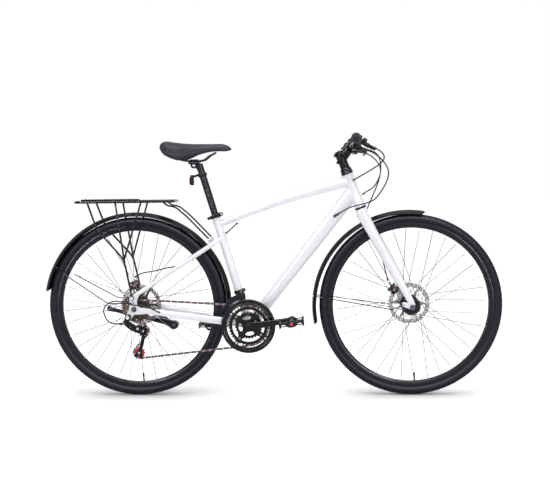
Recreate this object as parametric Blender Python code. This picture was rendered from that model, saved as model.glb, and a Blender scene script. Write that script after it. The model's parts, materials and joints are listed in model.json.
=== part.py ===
import math

import bpy
import bmesh
from mathutils import Matrix, Vector

# City bike, side on: +X is forward, +Y is the rider's left, +Z is up, the ground is z = 0.
# All lengths are in metres and all angles in degrees.

FIT_GAP = 0.0003

# Wheels
WHEELBASE = 1.056
TYRE_RADIUS = 0.349
TYRE_WIDTH = 0.038
TYRE_HEIGHT = 0.0340
RIM_WIDTH = 0.024
RIM_DEPTH = 0.0180
WHEEL_SEGMENTS = 40
SPOKES_PER_SIDE = 18
SPOKE_RADIUS = 0.0011
SPOKE_CROSS_ANGLE = 60.0
SPOKE_OFFSET = 0.0012
HUB_SEGMENTS = 12
FREEHUB_RADIUS = 0.0122
VALVE_LENGTH = 0.034
AXLE_RADIUS = 0.0048
FRONT_HUB_HALF = 0.0495
FRONT_FLANGE_RADIUS = 0.0355
FRONT_FLANGE_Y = 0.0325
REAR_HUB_HALF = 0.0670
REAR_FLANGE_RADIUS = 0.0290
REAR_FLANGE_Y = 0.0215
REAR_LEFT_FLANGE_Y = 0.0360
ROTOR_RADIUS = 0.080
ROTOR_THICKNESS = 0.0018
FRONT_ROTOR_Y = 0.0400
REAR_ROTOR_Y = 0.0520
CALIPER_DRUM = 0.0145

# Frame
HEAD_ANGLE = 20.7
FORK_RAKE = 0.0435
TYRE_TO_HEAD_TUBE = 0.0722
HEAD_TUBE_LENGTH = 0.1335
HEAD_TUBE_RADIUS = 0.0215
STEERER_RADIUS = 0.0142
BB_BEHIND_FENDER = 0.0667
BB_DROP = 0.0695
BB_SHELL_RADIUS = 0.0215
BB_SHELL_HALF = 0.034
SEAT_ANGLE = 16.5
SEAT_TUBE_LENGTH = 0.4440
SEAT_TUBE_RADIUS = 0.0165
SEAT_POST_RADIUS = 0.0136
SEAT_POST_EXPOSED = 0.2032
SEAT_POST_INSERTED = 0.150
SEAT_BORE_DEPTH = 0.220
TAIL_LIGHT_ABOVE = 0.159
SEAT_STAY_DROP = 0.094
DROPOUT_THICKNESS = 0.006
STAY_RADIUS = 0.0080
STAY_FOOT_Y = 0.0705
STAY_FOOT_HALF = 0.0065

# Crank and drive
CRANK_LENGTH = 0.170
CRANK_ANGLE = 9.5
CRANK_BOSS_Y = 0.0610
CHAIN_PITCH = 0.0127
RING_OUTER_TEETH = 48
RING_MIDDLE_TEETH = 38
RING_INNER_TEETH = 28
COG_TEETH = (28, 24, 21, 19, 17, 15, 13)
COG_PITCH_Y = 0.0045
COG_FIRST_Y = -0.0285
ACTIVE_COG = 4
CHAIN_LINE_Y = -0.0465
RING_SPACING = 0.0070
TOOTH_BELOW_PITCH = 0.0008
PLATE_THICKNESS = 0.0018
GUARD_RADIUS = 0.1040
GUARD_STEP = 0.0050
PULLEY_TEETH = 11
SPINDLE_RADIUS = 0.0085
PEDAL_SPINDLE_RADIUS = 0.0060
PEDAL_LENGTH = 0.094
PEDAL_WIDTH = 0.086
PEDAL_THICKNESS = 0.024
PEDAL_TILT = 8.0

# Fenders
FENDER_CLEARANCE = 0.0035
FENDER_THICKNESS = 0.0018
FENDER_HALF_WIDTH = 0.0250
FENDER_CROWN = 0.0140
REAR_FENDER_START = -6.0
REAR_FENDER_END = 170.5
FRONT_FENDER_START = 79.5
FRONT_FENDER_END = 191.5

# Cockpit
STEM_COLUMN_LENGTH = 0.0900
STEM_COLUMN_RADIUS = 0.0175
BAR_REACH = 0.0530
BAR_CLAMP_RADIUS = 0.0159
BAR_GRIP_RADIUS = 0.0111
BAR_HALF_WIDTH = 0.3080
GRIP_LENGTH = 0.1250
CABLE_RADIUS = 0.0024
CABLE_LEAD = 0.0080

# Rear derailleur, from the rear axle
GUIDE_PULLEY = Vector((0.0280, 0.0, -0.0870))
TENSION_PULLEY = Vector((0.0110, 0.0, -0.1720))
CAGE_PIVOT = Vector((0.0120, 0.0, -0.0750))
HANGER_HOLE = Vector((-0.0215, 0.0, -0.0290))
CHAIN_HALF_WIDTH = 0.0034
CHAIN_HALF_HEIGHT = 0.0040
CHAIN_GROOVE_HALF = 0.0016
CHAIN_WEB_HALF = 0.0004

# Rack, from the rear axle
RACK_ABOVE_FENDER = 0.0417
RACK_BACK = -0.2260
RACK_FRONT = 0.1620
RACK_HALF_WIDTH = 0.0600
RACK_ROD = 0.0050
RACK_RAIL_ROD = 0.0038
CLIP_ROD = 0.0028
RACK_LEG_ROD = 0.0040
RACK_LEG_TOPS = (-0.172, -0.064, 0.036)
RACK_KNOT = Vector((-0.032, 0.0740, 0.1900))
RACK_BOSS_Y = 0.0360

# Kickstand, from the rear axle
KICK_PIVOT = Vector((0.124, 0.0, -0.089))
KICK_FOOT = Vector((-0.146, 0.0, -0.022))
KICK_LEG_Y = 0.0955
KICK_PIN_RADIUS = 0.0050

# Saddle: x and z from the top of the seat post, shares run from tail to nose
SADDLE_TAIL = -0.1475
SADDLE_NOSE = 0.1275
SADDLE_HALF_WIDTH = 0.0780
SADDLE_GAP = 0.0006
SADDLE_TOP = ((0.0, 0.0700), (0.03, 0.0830), (0.08, 0.0875), (0.20, 0.0820), (0.42, 0.0755),
              (0.70, 0.0755), (0.90, 0.0730), (0.97, 0.0660), (1.0, 0.0570))
SADDLE_BOTTOM = ((0.0, 0.0620), (0.03, 0.0540), (0.08, 0.0440), (0.20, 0.0360), (0.42, 0.0370),
                 (0.60, 0.0400), (0.75, 0.0450), (0.92, 0.0460), (1.0, 0.0500))
SADDLE_WIDTH = ((0.0, 0.42), (0.03, 0.72), (0.08, 0.90), (0.16, 1.0), (0.28, 0.93), (0.40, 0.70),
                (0.52, 0.48), (0.66, 0.33), (0.85, 0.26), (0.96, 0.22), (1.0, 0.10))

TYRE_INNER_RADIUS = TYRE_RADIUS - TYRE_HEIGHT
FENDER_RADIUS = TYRE_RADIUS + FENDER_CLEARANCE
FENDER_OUTER = FENDER_RADIUS + FENDER_THICKNESS
RACK_HEIGHT = FENDER_OUTER + FENDER_CROWN + RACK_ABOVE_FENDER
BB_SETBACK = FENDER_OUTER + FENDER_CROWN + BB_BEHIND_FENDER
AXLE_TO_HEAD_TUBE = TYRE_RADIUS + TYRE_TO_HEAD_TUBE
AXLE_Z = TYRE_RADIUS
REAR_AXLE = Vector((0.0, 0.0, AXLE_Z))
FRONT_AXLE = Vector((WHEELBASE, 0.0, AXLE_Z))
BB = Vector((BB_SETBACK, 0.0, AXLE_Z - BB_DROP))
Y_AXIS = Vector((0.0, 1.0, 0.0))
X_AXIS = Vector((1.0, 0.0, 0.0))
Z_AXIS = Vector((0.0, 0.0, 1.0))

STEER_UP = Vector((-math.sin(math.radians(HEAD_ANGLE)), 0.0, math.cos(math.radians(HEAD_ANGLE))))
STEER_FORWARD = Vector((STEER_UP.z, 0.0, -STEER_UP.x))
STEER_FOOT = FRONT_AXLE - STEER_FORWARD * FORK_RAKE
SEAT_UP = Vector((-math.sin(math.radians(SEAT_ANGLE)), 0.0, math.cos(math.radians(SEAT_ANGLE))))
SEAT_FORWARD = Vector((SEAT_UP.z, 0.0, -SEAT_UP.x))
RIM_OUTER_RADIUS = TYRE_INNER_RADIUS - FIT_GAP
RIM_INNER_RADIUS = RIM_OUTER_RADIUS - RIM_DEPTH
REAR_DROPOUT_Y = REAR_HUB_HALF + FIT_GAP
REAR_DROPOUT_OUT = REAR_DROPOUT_Y + DROPOUT_THICKNESS
HEAD_TOP = AXLE_TO_HEAD_TUBE + HEAD_TUBE_LENGTH
ACTIVE_COG_Y = COG_FIRST_Y - ACTIVE_COG * COG_PITCH_Y
STAY_REFERENCE = Vector((0.02, 0.0, 1.0)).normalized()
FRONT_FENDER_CENTER = FRONT_AXLE + Vector((-0.0090, 0.0, -0.0030))
RACK_Z = AXLE_Z + RACK_HEIGHT
SEAT_JOIN = SEAT_TUBE_LENGTH - SEAT_STAY_DROP
SEAT_STAY_JOIN = BB + SEAT_UP * SEAT_JOIN
SEAT_STAY_FOOT = REAR_AXLE + Vector((-0.002, 0.0, 0.0480))
SEAT_STAY_RUN = (SEAT_STAY_JOIN - SEAT_STAY_FOOT).normalized()
SEAT_POST_TOP = BB + SEAT_UP * (SEAT_TUBE_LENGTH + SEAT_POST_EXPOSED)
DOWN_PORT = Vector((FRONT_AXLE.x - 0.288, 0.0, AXLE_Z + 0.345))

PAINT_WHITE = (0.86, 0.86, 0.88, 1.0)
BLACK = (0.012, 0.012, 0.015, 1.0)
DARK_GREY = (0.03, 0.032, 0.045, 1.0)
STEEL = (0.55, 0.56, 0.58, 1.0)
SILVER = (0.75, 0.76, 0.78, 1.0)
BRONZE = (0.20, 0.14, 0.09, 1.0)
RED = (0.55, 0.02, 0.02, 1.0)


def clear_scene():
    for obj in list(bpy.data.objects):
        bpy.data.objects.remove(obj, do_unlink=True)
    for mesh in list(bpy.data.meshes):
        bpy.data.meshes.remove(mesh)


def steer(distance, forward=0.0, side=0.0):
    return STEER_FOOT + STEER_UP * distance + STEER_FORWARD * forward + Y_AXIS * side


def seat(distance, forward=0.0, side=0.0):
    return BB + SEAT_UP * distance + SEAT_FORWARD * forward + Y_AXIS * side


def bore_radius(radius, sides):
    return (radius + FIT_GAP) / math.cos(math.pi / sides)


def pitch_radius(teeth):
    return CHAIN_PITCH / (2.0 * math.sin(math.pi / teeth))


def around(center, radius, degrees, side=0.0):
    angle = math.radians(degrees)
    return Vector((center.x + radius * math.cos(angle), side, center.z + radius * math.sin(angle)))


def make_object(name, bm, smooth=True):
    bmesh.ops.remove_doubles(bm, verts=bm.verts, dist=0.000002)
    bmesh.ops.recalc_face_normals(bm, faces=bm.faces)
    mesh = bpy.data.meshes.new(name)
    bm.to_mesh(mesh)
    bm.free()
    obj = bpy.data.objects.new(name, mesh)
    bpy.context.scene.collection.objects.link(obj)
    if smooth:
        for polygon in mesh.polygons:
            polygon.use_smooth = True
    return obj


def ring_frames(points, reference, closed=False):
    frames = []
    count = len(points)
    for index, point in enumerate(points):
        if closed:
            before = points[index - 1]
            after = points[(index + 1) % count]
        else:
            before = points[max(index - 1, 0)]
            after = points[min(index + 1, count - 1)]
        tangent = (after - before).normalized()
        side = (reference - tangent * reference.dot(tangent)).normalized()
        frames.append((point, side, tangent.cross(side)))
    return frames


def sweep(name, points, radii, sides=10, reference=Y_AXIS, closed=False, square=False):
    bm = bmesh.new()
    rings = []
    offset = math.pi / sides if square else 0.0
    for (point, side, normal), radius in zip(ring_frames(points, reference, closed), radii):
        wide, high = radius if isinstance(radius, tuple) else (radius, radius)
        grow = math.sqrt(2.0) if square else 1.0
        ring = []
        for step in range(sides):
            angle = 2.0 * math.pi * step / sides + offset
            corner = point + side * (math.cos(angle) * wide * grow)
            corner = corner + normal * (math.sin(angle) * high * grow)
            ring.append(bm.verts.new(corner))
        rings.append(ring)
    pairs = list(zip(rings, rings[1:] + ([rings[0]] if closed else [])))
    for first, second in pairs:
        for step in range(sides):
            other = (step + 1) % sides
            bm.faces.new((first[step], first[other], second[other], second[step]))
    if not closed:
        bm.faces.new(rings[0][::-1])
        bm.faces.new(rings[-1])
    return make_object(name, bm)


def rod(name, points, radius, sides=6):
    return sweep(name, points, [radius] * len(points), sides)


def cylinder(name, start, end, radius, sides=16, end_radius=None):
    axis = (end - start).normalized()
    reference = Z_AXIS if abs(axis.z) < 0.8 else Y_AXIS
    last = radius if end_radius is None else end_radius
    return sweep(name, [start, end], [radius, last], sides, reference)


def across(name, center, radius, y_from, y_to, sides=16):
    start = Vector((center.x, y_from, center.z))
    return cylinder(name, start, Vector((center.x, y_to, center.z)), radius, sides)


def lathe(name, profile, center, segments, axis=Y_AXIS):
    reference = X_AXIS if abs(axis.x) < 0.8 else Z_AXIS
    side = (reference - axis * reference.dot(axis)).normalized()
    normal = axis.cross(side)
    bm = bmesh.new()
    rings = []
    for step in range(segments):
        angle = 2.0 * math.pi * step / segments
        outward = side * math.cos(angle) + normal * math.sin(angle)
        rings.append([bm.verts.new(center + outward * r + axis * h) for r, h in profile])
    count = len(profile)
    for step in range(segments):
        first = rings[step]
        second = rings[(step + 1) % segments]
        for index in range(count):
            other = (index + 1) % count
            bm.faces.new((first[index], first[other], second[other], second[index]))
    return make_object(name, bm)


def box(name, center, size, axes=None):
    along, across_axis, up = axes if axes else (X_AXIS, Y_AXIS, Z_AXIS)
    bm = bmesh.new()
    bmesh.ops.create_cube(bm, size=1.0)
    for vert in bm.verts:
        local = vert.co.copy()
        moved = center + along * (local.x * size[0])
        vert.co = moved + across_axis * (local.y * size[1]) + up * (local.z * size[2])
    return make_object(name, bm, smooth=False)


def plate(name, outline, y_from, y_to):
    bm = bmesh.new()
    low = [bm.verts.new((x, y_from, z)) for x, z in outline]
    high = [bm.verts.new((x, y_to, z)) for x, z in outline]
    bm.faces.new(low)
    bm.faces.new(high[::-1])
    for index in range(len(outline)):
        other = (index + 1) % len(outline)
        bm.faces.new((low[index], high[index], high[other], low[other]))
    return make_object(name, bm, smooth=False)


def washer(name, center, outer, inner, y_from, y_to, segments=40):
    profile = [(outer, y_from), (outer, y_to), (inner, y_to), (inner, y_from)]
    return lathe(name, profile, Vector((center.x, 0.0, center.z)), segments)


def apply_boolean(target, tool, operation):
    modifier = target.modifiers.new("cut", "BOOLEAN")
    modifier.operation = operation
    modifier.solver = "EXACT"
    modifier.use_self = operation == "UNION"
    modifier.object = tool
    graph = bpy.context.evaluated_depsgraph_get()
    mesh = bpy.data.meshes.new_from_object(target.evaluated_get(graph))
    target.modifiers.clear()
    target.data = mesh
    bpy.data.objects.remove(tool, do_unlink=True)


def fuse(target, tools):
    for tool in tools:
        apply_boolean(target, tool, "UNION")
    return target


def cut(target, tools):
    for tool in tools:
        apply_boolean(target, tool, "DIFFERENCE")
    return target


def finish(obj, color, metallic=0.0, roughness=0.45):
    bm = bmesh.new()
    bm.from_mesh(obj.data)
    bmesh.ops.remove_doubles(bm, verts=bm.verts, dist=0.000005)
    bmesh.ops.dissolve_degenerate(bm, edges=bm.edges, dist=0.000005)
    bmesh.ops.dissolve_limit(
        bm, angle_limit=math.radians(0.2), verts=bm.verts, edges=bm.edges)
    bmesh.ops.triangulate(bm, faces=bm.faces)
    bmesh.ops.recalc_face_normals(bm, faces=bm.faces)
    bm.to_mesh(obj.data)
    bm.free()
    material = bpy.data.materials.new(obj.name + "_material")
    material.use_nodes = True
    shader = material.node_tree.nodes["Principled BSDF"]
    shader.inputs["Base Color"].default_value = color
    shader.inputs["Metallic"].default_value = metallic
    shader.inputs["Roughness"].default_value = roughness
    obj.data.materials.clear()
    obj.data.materials.append(material)
    for polygon in obj.data.polygons:
        polygon.material_index = 0
    return obj


def set_origin(obj, point):
    obj.data.transform(Matrix.Translation(-point))
    obj.location = point
    return obj


def mirrored(point):
    return Vector((point.x, -point.y, point.z))


def stay_at(distance):
    start = SEAT_STAY_FOOT - REAR_AXLE
    along = start.dot(SEAT_STAY_RUN)
    aside = start.length_squared - along * along
    return SEAT_STAY_FOOT + SEAT_STAY_RUN * (math.sqrt(distance * distance - aside) - along)


def rack_anchor():
    return stay_at(FENDER_OUTER + FENDER_CROWN + 0.008) + Z_AXIS * 0.0240


def build_frame():
    head_low = steer(AXLE_TO_HEAD_TUBE)
    head_high = steer(HEAD_TOP)
    frame = cylinder("frame", head_low, head_high, HEAD_TUBE_RADIUS, 14)
    seat_top = seat(SEAT_TUBE_LENGTH)
    parts = [cylinder("seat_tube", BB, seat_top, SEAT_TUBE_RADIUS, 14)]
    parts.append(across("bb_shell", BB, BB_SHELL_RADIUS, -BB_SHELL_HALF, BB_SHELL_HALF, 14))
    top_start = seat(SEAT_TUBE_LENGTH - 0.042)
    top_end = steer(HEAD_TOP - 0.028)
    top_points = []
    top_radii = []
    top_count = 5
    for step in range(top_count):
        share = step / (top_count - 1)
        point = top_start.lerp(top_end, share)
        point = point + Z_AXIS * (0.012 * math.sin(math.pi * share))
        top_points.append(point)
        top_radii.append((0.0135 + 0.0035 * share, 0.0130 + 0.0085 * share))
    parts.append(sweep("top_tube", top_points, top_radii, 8))
    down_start = BB + Vector((0.006, 0.0, 0.0))
    down_end = steer(AXLE_TO_HEAD_TUBE + 0.066)
    down_points = [down_start.lerp(down_end, share) for share in (0.0, 0.45, 0.85, 1.0)]
    down_radii = [(0.020, 0.0235), (0.020, 0.0245), (0.0185, 0.0265), (0.018, 0.028)]
    parts.append(sweep("down_tube", down_points, down_radii, 8))
    stay_join = SEAT_STAY_JOIN
    for sign in (-1.0, 1.0):
        chain_stay = [
            BB + Vector((-0.006, sign * 0.018, 0.0)),
            BB + Vector((-0.050, sign * 0.0260, 0.008)),
            BB + Vector((-0.092, sign * 0.0315, 0.0147)),
            BB + Vector((-0.230, sign * 0.0480, 0.0370)),
            REAR_AXLE + Vector((0.075, sign * 0.0660, -0.011)),
            REAR_AXLE + Vector((0.020, sign * STAY_FOOT_Y, -0.003)),
        ]
        chain_radii = [(0.007, 0.0155), (0.007, 0.0155), (0.007, 0.0150), (0.0075, 0.0135),
                       (0.0075, 0.0115), (STAY_FOOT_HALF, 0.0095)]
        parts.append(sweep("chain_stay", chain_stay, chain_radii, 6))
        stay_points = [
            SEAT_STAY_FOOT + Y_AXIS * (sign * STAY_FOOT_Y),
            SEAT_STAY_FOOT.lerp(stay_join, 0.16) + Y_AXIS * (sign * 0.0680),
            stay_at(FENDER_OUTER + FENDER_CROWN - 0.045) + Y_AXIS * (sign * 0.0385),
            stay_at(FENDER_OUTER + FENDER_CROWN + 0.018) + Y_AXIS * (sign * 0.0345),
            stay_join + Y_AXIS * (sign * 0.0100),
        ]
        stay_radii = [(STAY_FOOT_HALF, 0.0075), (0.0070, 0.0080), (STAY_RADIUS, 0.0090),
                      (STAY_RADIUS, 0.0090), (0.0060, 0.0085)]
        parts.append(sweep("seat_stay", stay_points, stay_radii, 6))
        outline = [(0.046, -0.018), (0.000, -0.018), (-0.013, -0.016), (-0.019, 0.0),
                   (-0.015, 0.054), (0.008, 0.058), (0.024, 0.056), (0.012, 0.038),
                   (0.013, 0.016), (0.022, 0.006), (0.046, 0.006)]
        if sign < 0.0:
            outline = [(0.046, -0.018), (0.000, -0.020), (-0.012, -0.038), (-0.024, -0.041),
                       (-0.034, -0.029), (-0.019, 0.0), (-0.015, 0.054), (0.008, 0.058),
                       (0.024, 0.056), (0.012, 0.038), (0.013, 0.016), (0.022, 0.006),
                       (0.046, 0.006)]
        moved = [(REAR_AXLE.x + x, REAR_AXLE.z + z) for x, z in outline]
        y_pair = sorted((sign * REAR_DROPOUT_Y, sign * REAR_DROPOUT_OUT))
        parts.append(plate("dropout", moved, y_pair[0], y_pair[1]))
    bridge_radius = 0.0065
    bridge_reach = FENDER_OUTER + FENDER_CROWN + bridge_radius + FIT_GAP
    upper_bridge = stay_at(bridge_reach)
    parts.append(across("seat_bridge", upper_bridge, bridge_radius, -0.034, 0.034, 10))
    lower_bridge = around(REAR_AXLE, bridge_reach, -9.0)
    parts.append(across("chain_bridge", lower_bridge, bridge_radius, -0.030, 0.030, 10))
    for sign in (-1.0, 1.0):
        parts.append(box("rack_boss", rack_anchor() + Vector((0.0, sign * RACK_BOSS_Y, -0.008)),
                         (0.013, 0.0100, 0.030)))
    down_axis = (down_end - down_start).normalized()
    down_up = Vector((-down_axis.z, 0.0, down_axis.x))
    for share in (0.355, 0.495):
        base = down_start.lerp(down_end, share)
        top = base + down_up * 0.0275
        parts.append(cylinder("bottle_boss", base + down_up * 0.018, top, 0.0055, 8))
    fuse(frame, parts)
    cuts = [cylinder("head_bore", steer(AXLE_TO_HEAD_TUBE - 0.02), steer(HEAD_TOP + 0.02),
                     bore_radius(STEERER_RADIUS, 14), 14)]
    bore_low = seat(SEAT_TUBE_LENGTH - SEAT_BORE_DEPTH)
    cuts.append(cylinder("seat_bore", bore_low, seat(SEAT_TUBE_LENGTH + 0.03),
                         bore_radius(SEAT_POST_RADIUS, 14), 14))
    cuts.append(across("bb_bore", BB, bore_radius(SPINDLE_RADIUS, 12), -0.06, 0.06, 12))
    cuts.append(across("axle_bore", REAR_AXLE, bore_radius(AXLE_RADIUS, 12), -0.1, 0.1, 12))
    cut(frame, cuts)
    return finish(frame, PAINT_WHITE, 0.0, 0.2)


def build_headset():
    low = AXLE_TO_HEAD_TUBE - FIT_GAP
    sides = 16
    bore = bore_radius(STEERER_RADIUS, sides)
    profile = [(bore, -0.007), (0.0215, -0.007), (0.0235, -0.003), (0.0235, 0.0), (bore, 0.0)]
    lower = lathe("headset_lower", profile, steer(low), sides, STEER_UP)
    finish(lower, BLACK, 0.4, 0.35)


def build_fork():
    crown_s = AXLE_TO_HEAD_TUBE - FIT_GAP * 2 - 0.007 - 0.014
    fork = cylinder("fork", steer(crown_s), steer(HEAD_TOP + 0.048), STEERER_RADIUS, 14)
    parts = [cylinder("crown_neck", steer(crown_s - 0.010), steer(crown_s + 0.014), 0.0215, 14)]
    parts.append(box("crown", steer(crown_s), (0.036, 0.090, 0.026),
                     (STEER_FORWARD, Y_AXIS, STEER_UP)))
    blade_out = FRONT_HUB_HALF + FIT_GAP + 0.009
    for sign in (-1.0, 1.0):
        top = steer(crown_s + 0.010, -0.003, sign * 0.0430)
        high = steer(crown_s - 0.030, -0.001, sign * 0.0430)
        low = FRONT_AXLE + Vector((-0.010, sign * blade_out, 0.030))
        mid = high.lerp(low, 0.5)
        end = FRONT_AXLE + Vector((-0.001, sign * blade_out, 0.002))
        parts.append(sweep("blade", [top, high, mid, low, end],
                           [(0.0115, 0.019), (0.0120, 0.0205), (0.0105, 0.0165),
                            (0.0085, 0.0125), (0.0085, 0.0120)], 8))
        parts.append(box("fork_tab", FRONT_AXLE + Vector((-0.022, sign * blade_out, 0.008)),
                         (0.040, 0.007, 0.018)))
    fuse(fork, parts)
    cut(fork, [across("bore", FRONT_AXLE, bore_radius(AXLE_RADIUS, 12), -0.1, 0.1, 12)])
    set_origin(fork, steer(AXLE_TO_HEAD_TUBE))
    return finish(fork, PAINT_WHITE, 0.0, 0.2)


def build_wheel(prefix, axle, hub_half, right_flange, left_flange, flange_radius, rotor_y):
    core = 0.0165 if prefix == "rear" else 0.0230
    end_radius = 0.0105
    bore = bore_radius(AXLE_RADIUS, HUB_SEGMENTS)
    right_core = FREEHUB_RADIUS if prefix == "rear" else end_radius
    flange_half = SPOKE_OFFSET + SPOKE_RADIUS + 0.0002
    boss = 0.0205
    profile = [
        (bore, -hub_half), (bore, hub_half), (end_radius, hub_half), (boss, rotor_y + 0.003),
        (boss, left_flange + flange_half + 0.001),
        (flange_radius, left_flange + flange_half), (flange_radius, left_flange - flange_half),
        (core, left_flange - 0.006), (core, -right_flange + 0.006),
        (flange_radius, -right_flange + flange_half), (flange_radius, -right_flange - flange_half),
        (right_core, -right_flange - flange_half - 0.001), (right_core, -hub_half),
    ]
    hub = lathe(prefix + "_hub", profile, axle, HUB_SEGMENTS)
    hole_radius = flange_radius - 0.0045
    spoke_end = RIM_INNER_RADIUS * math.cos(math.pi / WHEEL_SEGMENTS) - FIT_GAP
    step_angle = 360.0 / SPOKES_PER_SIDE
    joined = bmesh.new()
    for flange_y, sign, start in ((-right_flange, -1.0, 3.0), (left_flange, 1.0, 3.0 + step_angle / 2)):
        for index in range(SPOKES_PER_SIDE):
            lead = 1.0 if index % 2 == 0 else -1.0
            angle = start + index * step_angle
            inner_point = around(axle, hole_radius, angle, flange_y + lead * SPOKE_OFFSET)
            outer_point = around(axle, spoke_end, angle + lead * SPOKE_CROSS_ANGLE,
                                 sign * 0.0036 + lead * (SPOKE_OFFSET + 0.0005))
            spoke = sweep("spoke", [inner_point, outer_point], [SPOKE_RADIUS] * 2, 3)
            joined.from_mesh(spoke.data)
            bpy.data.objects.remove(spoke, do_unlink=True)
    fuse(hub, [make_object("spokes", joined)])
    set_origin(hub, axle)
    finish(hub, SILVER, 0.9, 0.3)

    half = RIM_WIDTH / 2.0
    rim_profile = [
        (RIM_OUTER_RADIUS, -half), (RIM_OUTER_RADIUS, half),
        (RIM_INNER_RADIUS, 0.0080), (RIM_INNER_RADIUS, -0.0080),
    ]
    rim = lathe(prefix + "_rim", rim_profile, axle, WHEEL_SEGMENTS)
    valve_angle = -87.0
    valve_top = around(axle, RIM_OUTER_RADIUS - 0.004, valve_angle)
    valve_end = around(axle, RIM_INNER_RADIUS - VALVE_LENGTH, valve_angle)
    fuse(rim, [cylinder("valve", valve_top, valve_end, 0.0033, 6, 0.0026)])
    set_origin(rim, axle)
    finish(rim, BLACK, 0.6, 0.3)

    bead = RIM_WIDTH / 2.0 - 0.001
    wide = TYRE_WIDTH / 2.0
    depth = TYRE_RADIUS - TYRE_INNER_RADIUS
    half_profile = [(0.0, bead), (0.45, wide), (0.83, wide * 0.70)]
    tyre_profile = [(TYRE_INNER_RADIUS + depth * share, side) for share, side in half_profile]
    tyre_profile.append((TYRE_RADIUS, 0.0))
    tyre_profile += [(r, -side) for r, side in tyre_profile[-2::-1]]
    tyre = lathe(prefix + "_tyre", tyre_profile, axle, WHEEL_SEGMENTS)
    set_origin(tyre, axle)
    finish(tyre, BLACK, 0.0, 0.8)

    half_rotor = ROTOR_THICKNESS / 2.0
    rotor = washer(prefix + "_rotor", axle, ROTOR_RADIUS, ROTOR_RADIUS - 0.015,
                   rotor_y - half_rotor, rotor_y + half_rotor, 20)
    arms = []
    inner = bore_radius(boss, 14)
    arms.append(washer("rotor_ring", axle, inner + 0.007, inner,
                       rotor_y - half_rotor + 0.0002, rotor_y + half_rotor - 0.0002, 14))
    for index in range(5):
        start = around(axle, inner + 0.004, index * 72.0, rotor_y)
        end = around(axle, ROTOR_RADIUS - 0.010, index * 72.0 + 24.0, rotor_y)
        arms.append(sweep("rotor_arm", [start, end], [(0.0006, 0.0040), (0.0006, 0.0035)], 4,
                          Y_AXIS, square=True))
    fuse(rotor, arms)
    set_origin(rotor, axle)
    finish(rotor, STEEL, 0.9, 0.3)

    nut = hub_half + FIT_GAP * 2
    if prefix == "rear":
        nut_start = REAR_DROPOUT_OUT + FIT_GAP
        nut_end = nut_start + 0.010
    else:
        nut_start = nut + 0.0180
        nut_end = nut_start + 0.006
    shaft = across(prefix + "_axle", axle, AXLE_RADIUS, -nut_end - 0.004, nut_end + 0.004, 12)
    fuse(shaft, [across("nut", axle, 0.0088, sign * nut_start, sign * nut_end, 6)
                 for sign in (-1.0, 1.0)])
    finish(shaft, STEEL, 0.9, 0.35)


def build_fender(name, axle, start, end, steps):
    bm = bmesh.new()
    rings = []
    sides = [-1.0, -0.72, 0.0, 0.72, 1.0]
    drop = [0.0, 0.62, 1.0, 0.62, 0.0]
    for step in range(steps + 1):
        angle = start + (end - start) * step / steps
        outer = [bm.verts.new(around(axle, FENDER_RADIUS + FENDER_THICKNESS + lift * FENDER_CROWN,
                                     angle, side * FENDER_HALF_WIDTH))
                 for side, lift in zip(sides, drop)]
        inner = [bm.verts.new(around(axle, FENDER_RADIUS + lift * FENDER_CROWN, angle,
                                     side * (FENDER_HALF_WIDTH - FENDER_THICKNESS * 0.6)))
                 for side, lift in zip(sides, drop)]
        rings.append(outer + inner[::-1])
    count = len(rings[0])
    for first, second in zip(rings, rings[1:]):
        for index in range(count):
            other = (index + 1) % count
            bm.faces.new((first[index], first[other], second[other], second[index]))
    for ring, flip in ((rings[0], True), (rings[-1], False)):
        for index in range(count // 2 - 1):
            quad = (ring[index], ring[index + 1], ring[count - 2 - index], ring[count - 1 - index])
            bm.faces.new(quad[::-1] if flip else quad)
    return make_object(name, bm)


def build_fenders():
    rear = build_fender("rear_fender", REAR_AXLE, REAR_FENDER_START, REAR_FENDER_END, 19)
    finish(rear, BLACK, 0.0, 0.25)
    front = build_fender("front_fender", FRONT_FENDER_CENTER, FRONT_FENDER_START,
                         FRONT_FENDER_END, 13)
    set_origin(front, steer(AXLE_TO_HEAD_TUBE))
    finish(front, BLACK, 0.0, 0.25)
    stay_specs = (
        ("rear_fender_stay", REAR_AXLE, REAR_AXLE, 154.0, REAR_AXLE + Vector((-0.005, 0.0, 0.025)),
         REAR_DROPOUT_OUT + FIT_GAP, Vector((-0.098, 0.0, 0.024))),
        ("front_fender_stay", FRONT_AXLE, FRONT_FENDER_CENTER, 173.5,
         FRONT_AXLE + Vector((-0.036, 0.0, 0.008)), FRONT_HUB_HALF + FIT_GAP + 0.009 + 0.0035 + FIT_GAP, Vector((-0.075, 0.0, -0.008))),
    )
    for name, axle, middle, angle, eyelet, eye_y, bend in stay_specs:
        radius = 0.0020
        low = FENDER_RADIUS - radius - FIT_GAP
        reach = FENDER_HALF_WIDTH + 0.0030
        points = []
        for side in (-1.0, 1.0):
            run = [
                Vector((eyelet.x, side * (eye_y + 0.0022), eyelet.z)),
                Vector((axle.x + bend.x, side * (eye_y + 0.0030), axle.z + bend.z)),
                around(middle, low - 0.030, angle, side * (reach + 0.006)),
                around(middle, low - 0.0006, angle, side * (reach - 0.004)),
                around(middle, low + FENDER_CROWN * 0.4, angle, side * reach * 0.43),
            ]
            points.append(run)
        path = points[0] + points[1][::-1]
        stay = sweep(name, path, [radius] * len(path), 6, STAY_REFERENCE)
        eyes = [across("eye", eyelet, 0.0055, side * eye_y, side * (eye_y + 0.0045), 10)
                for side in (-1.0, 1.0)]
        fuse(stay, eyes)
        if name.startswith("front"):
            set_origin(stay, steer(AXLE_TO_HEAD_TUBE))
        finish(stay, BLACK, 0.5, 0.35)


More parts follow.
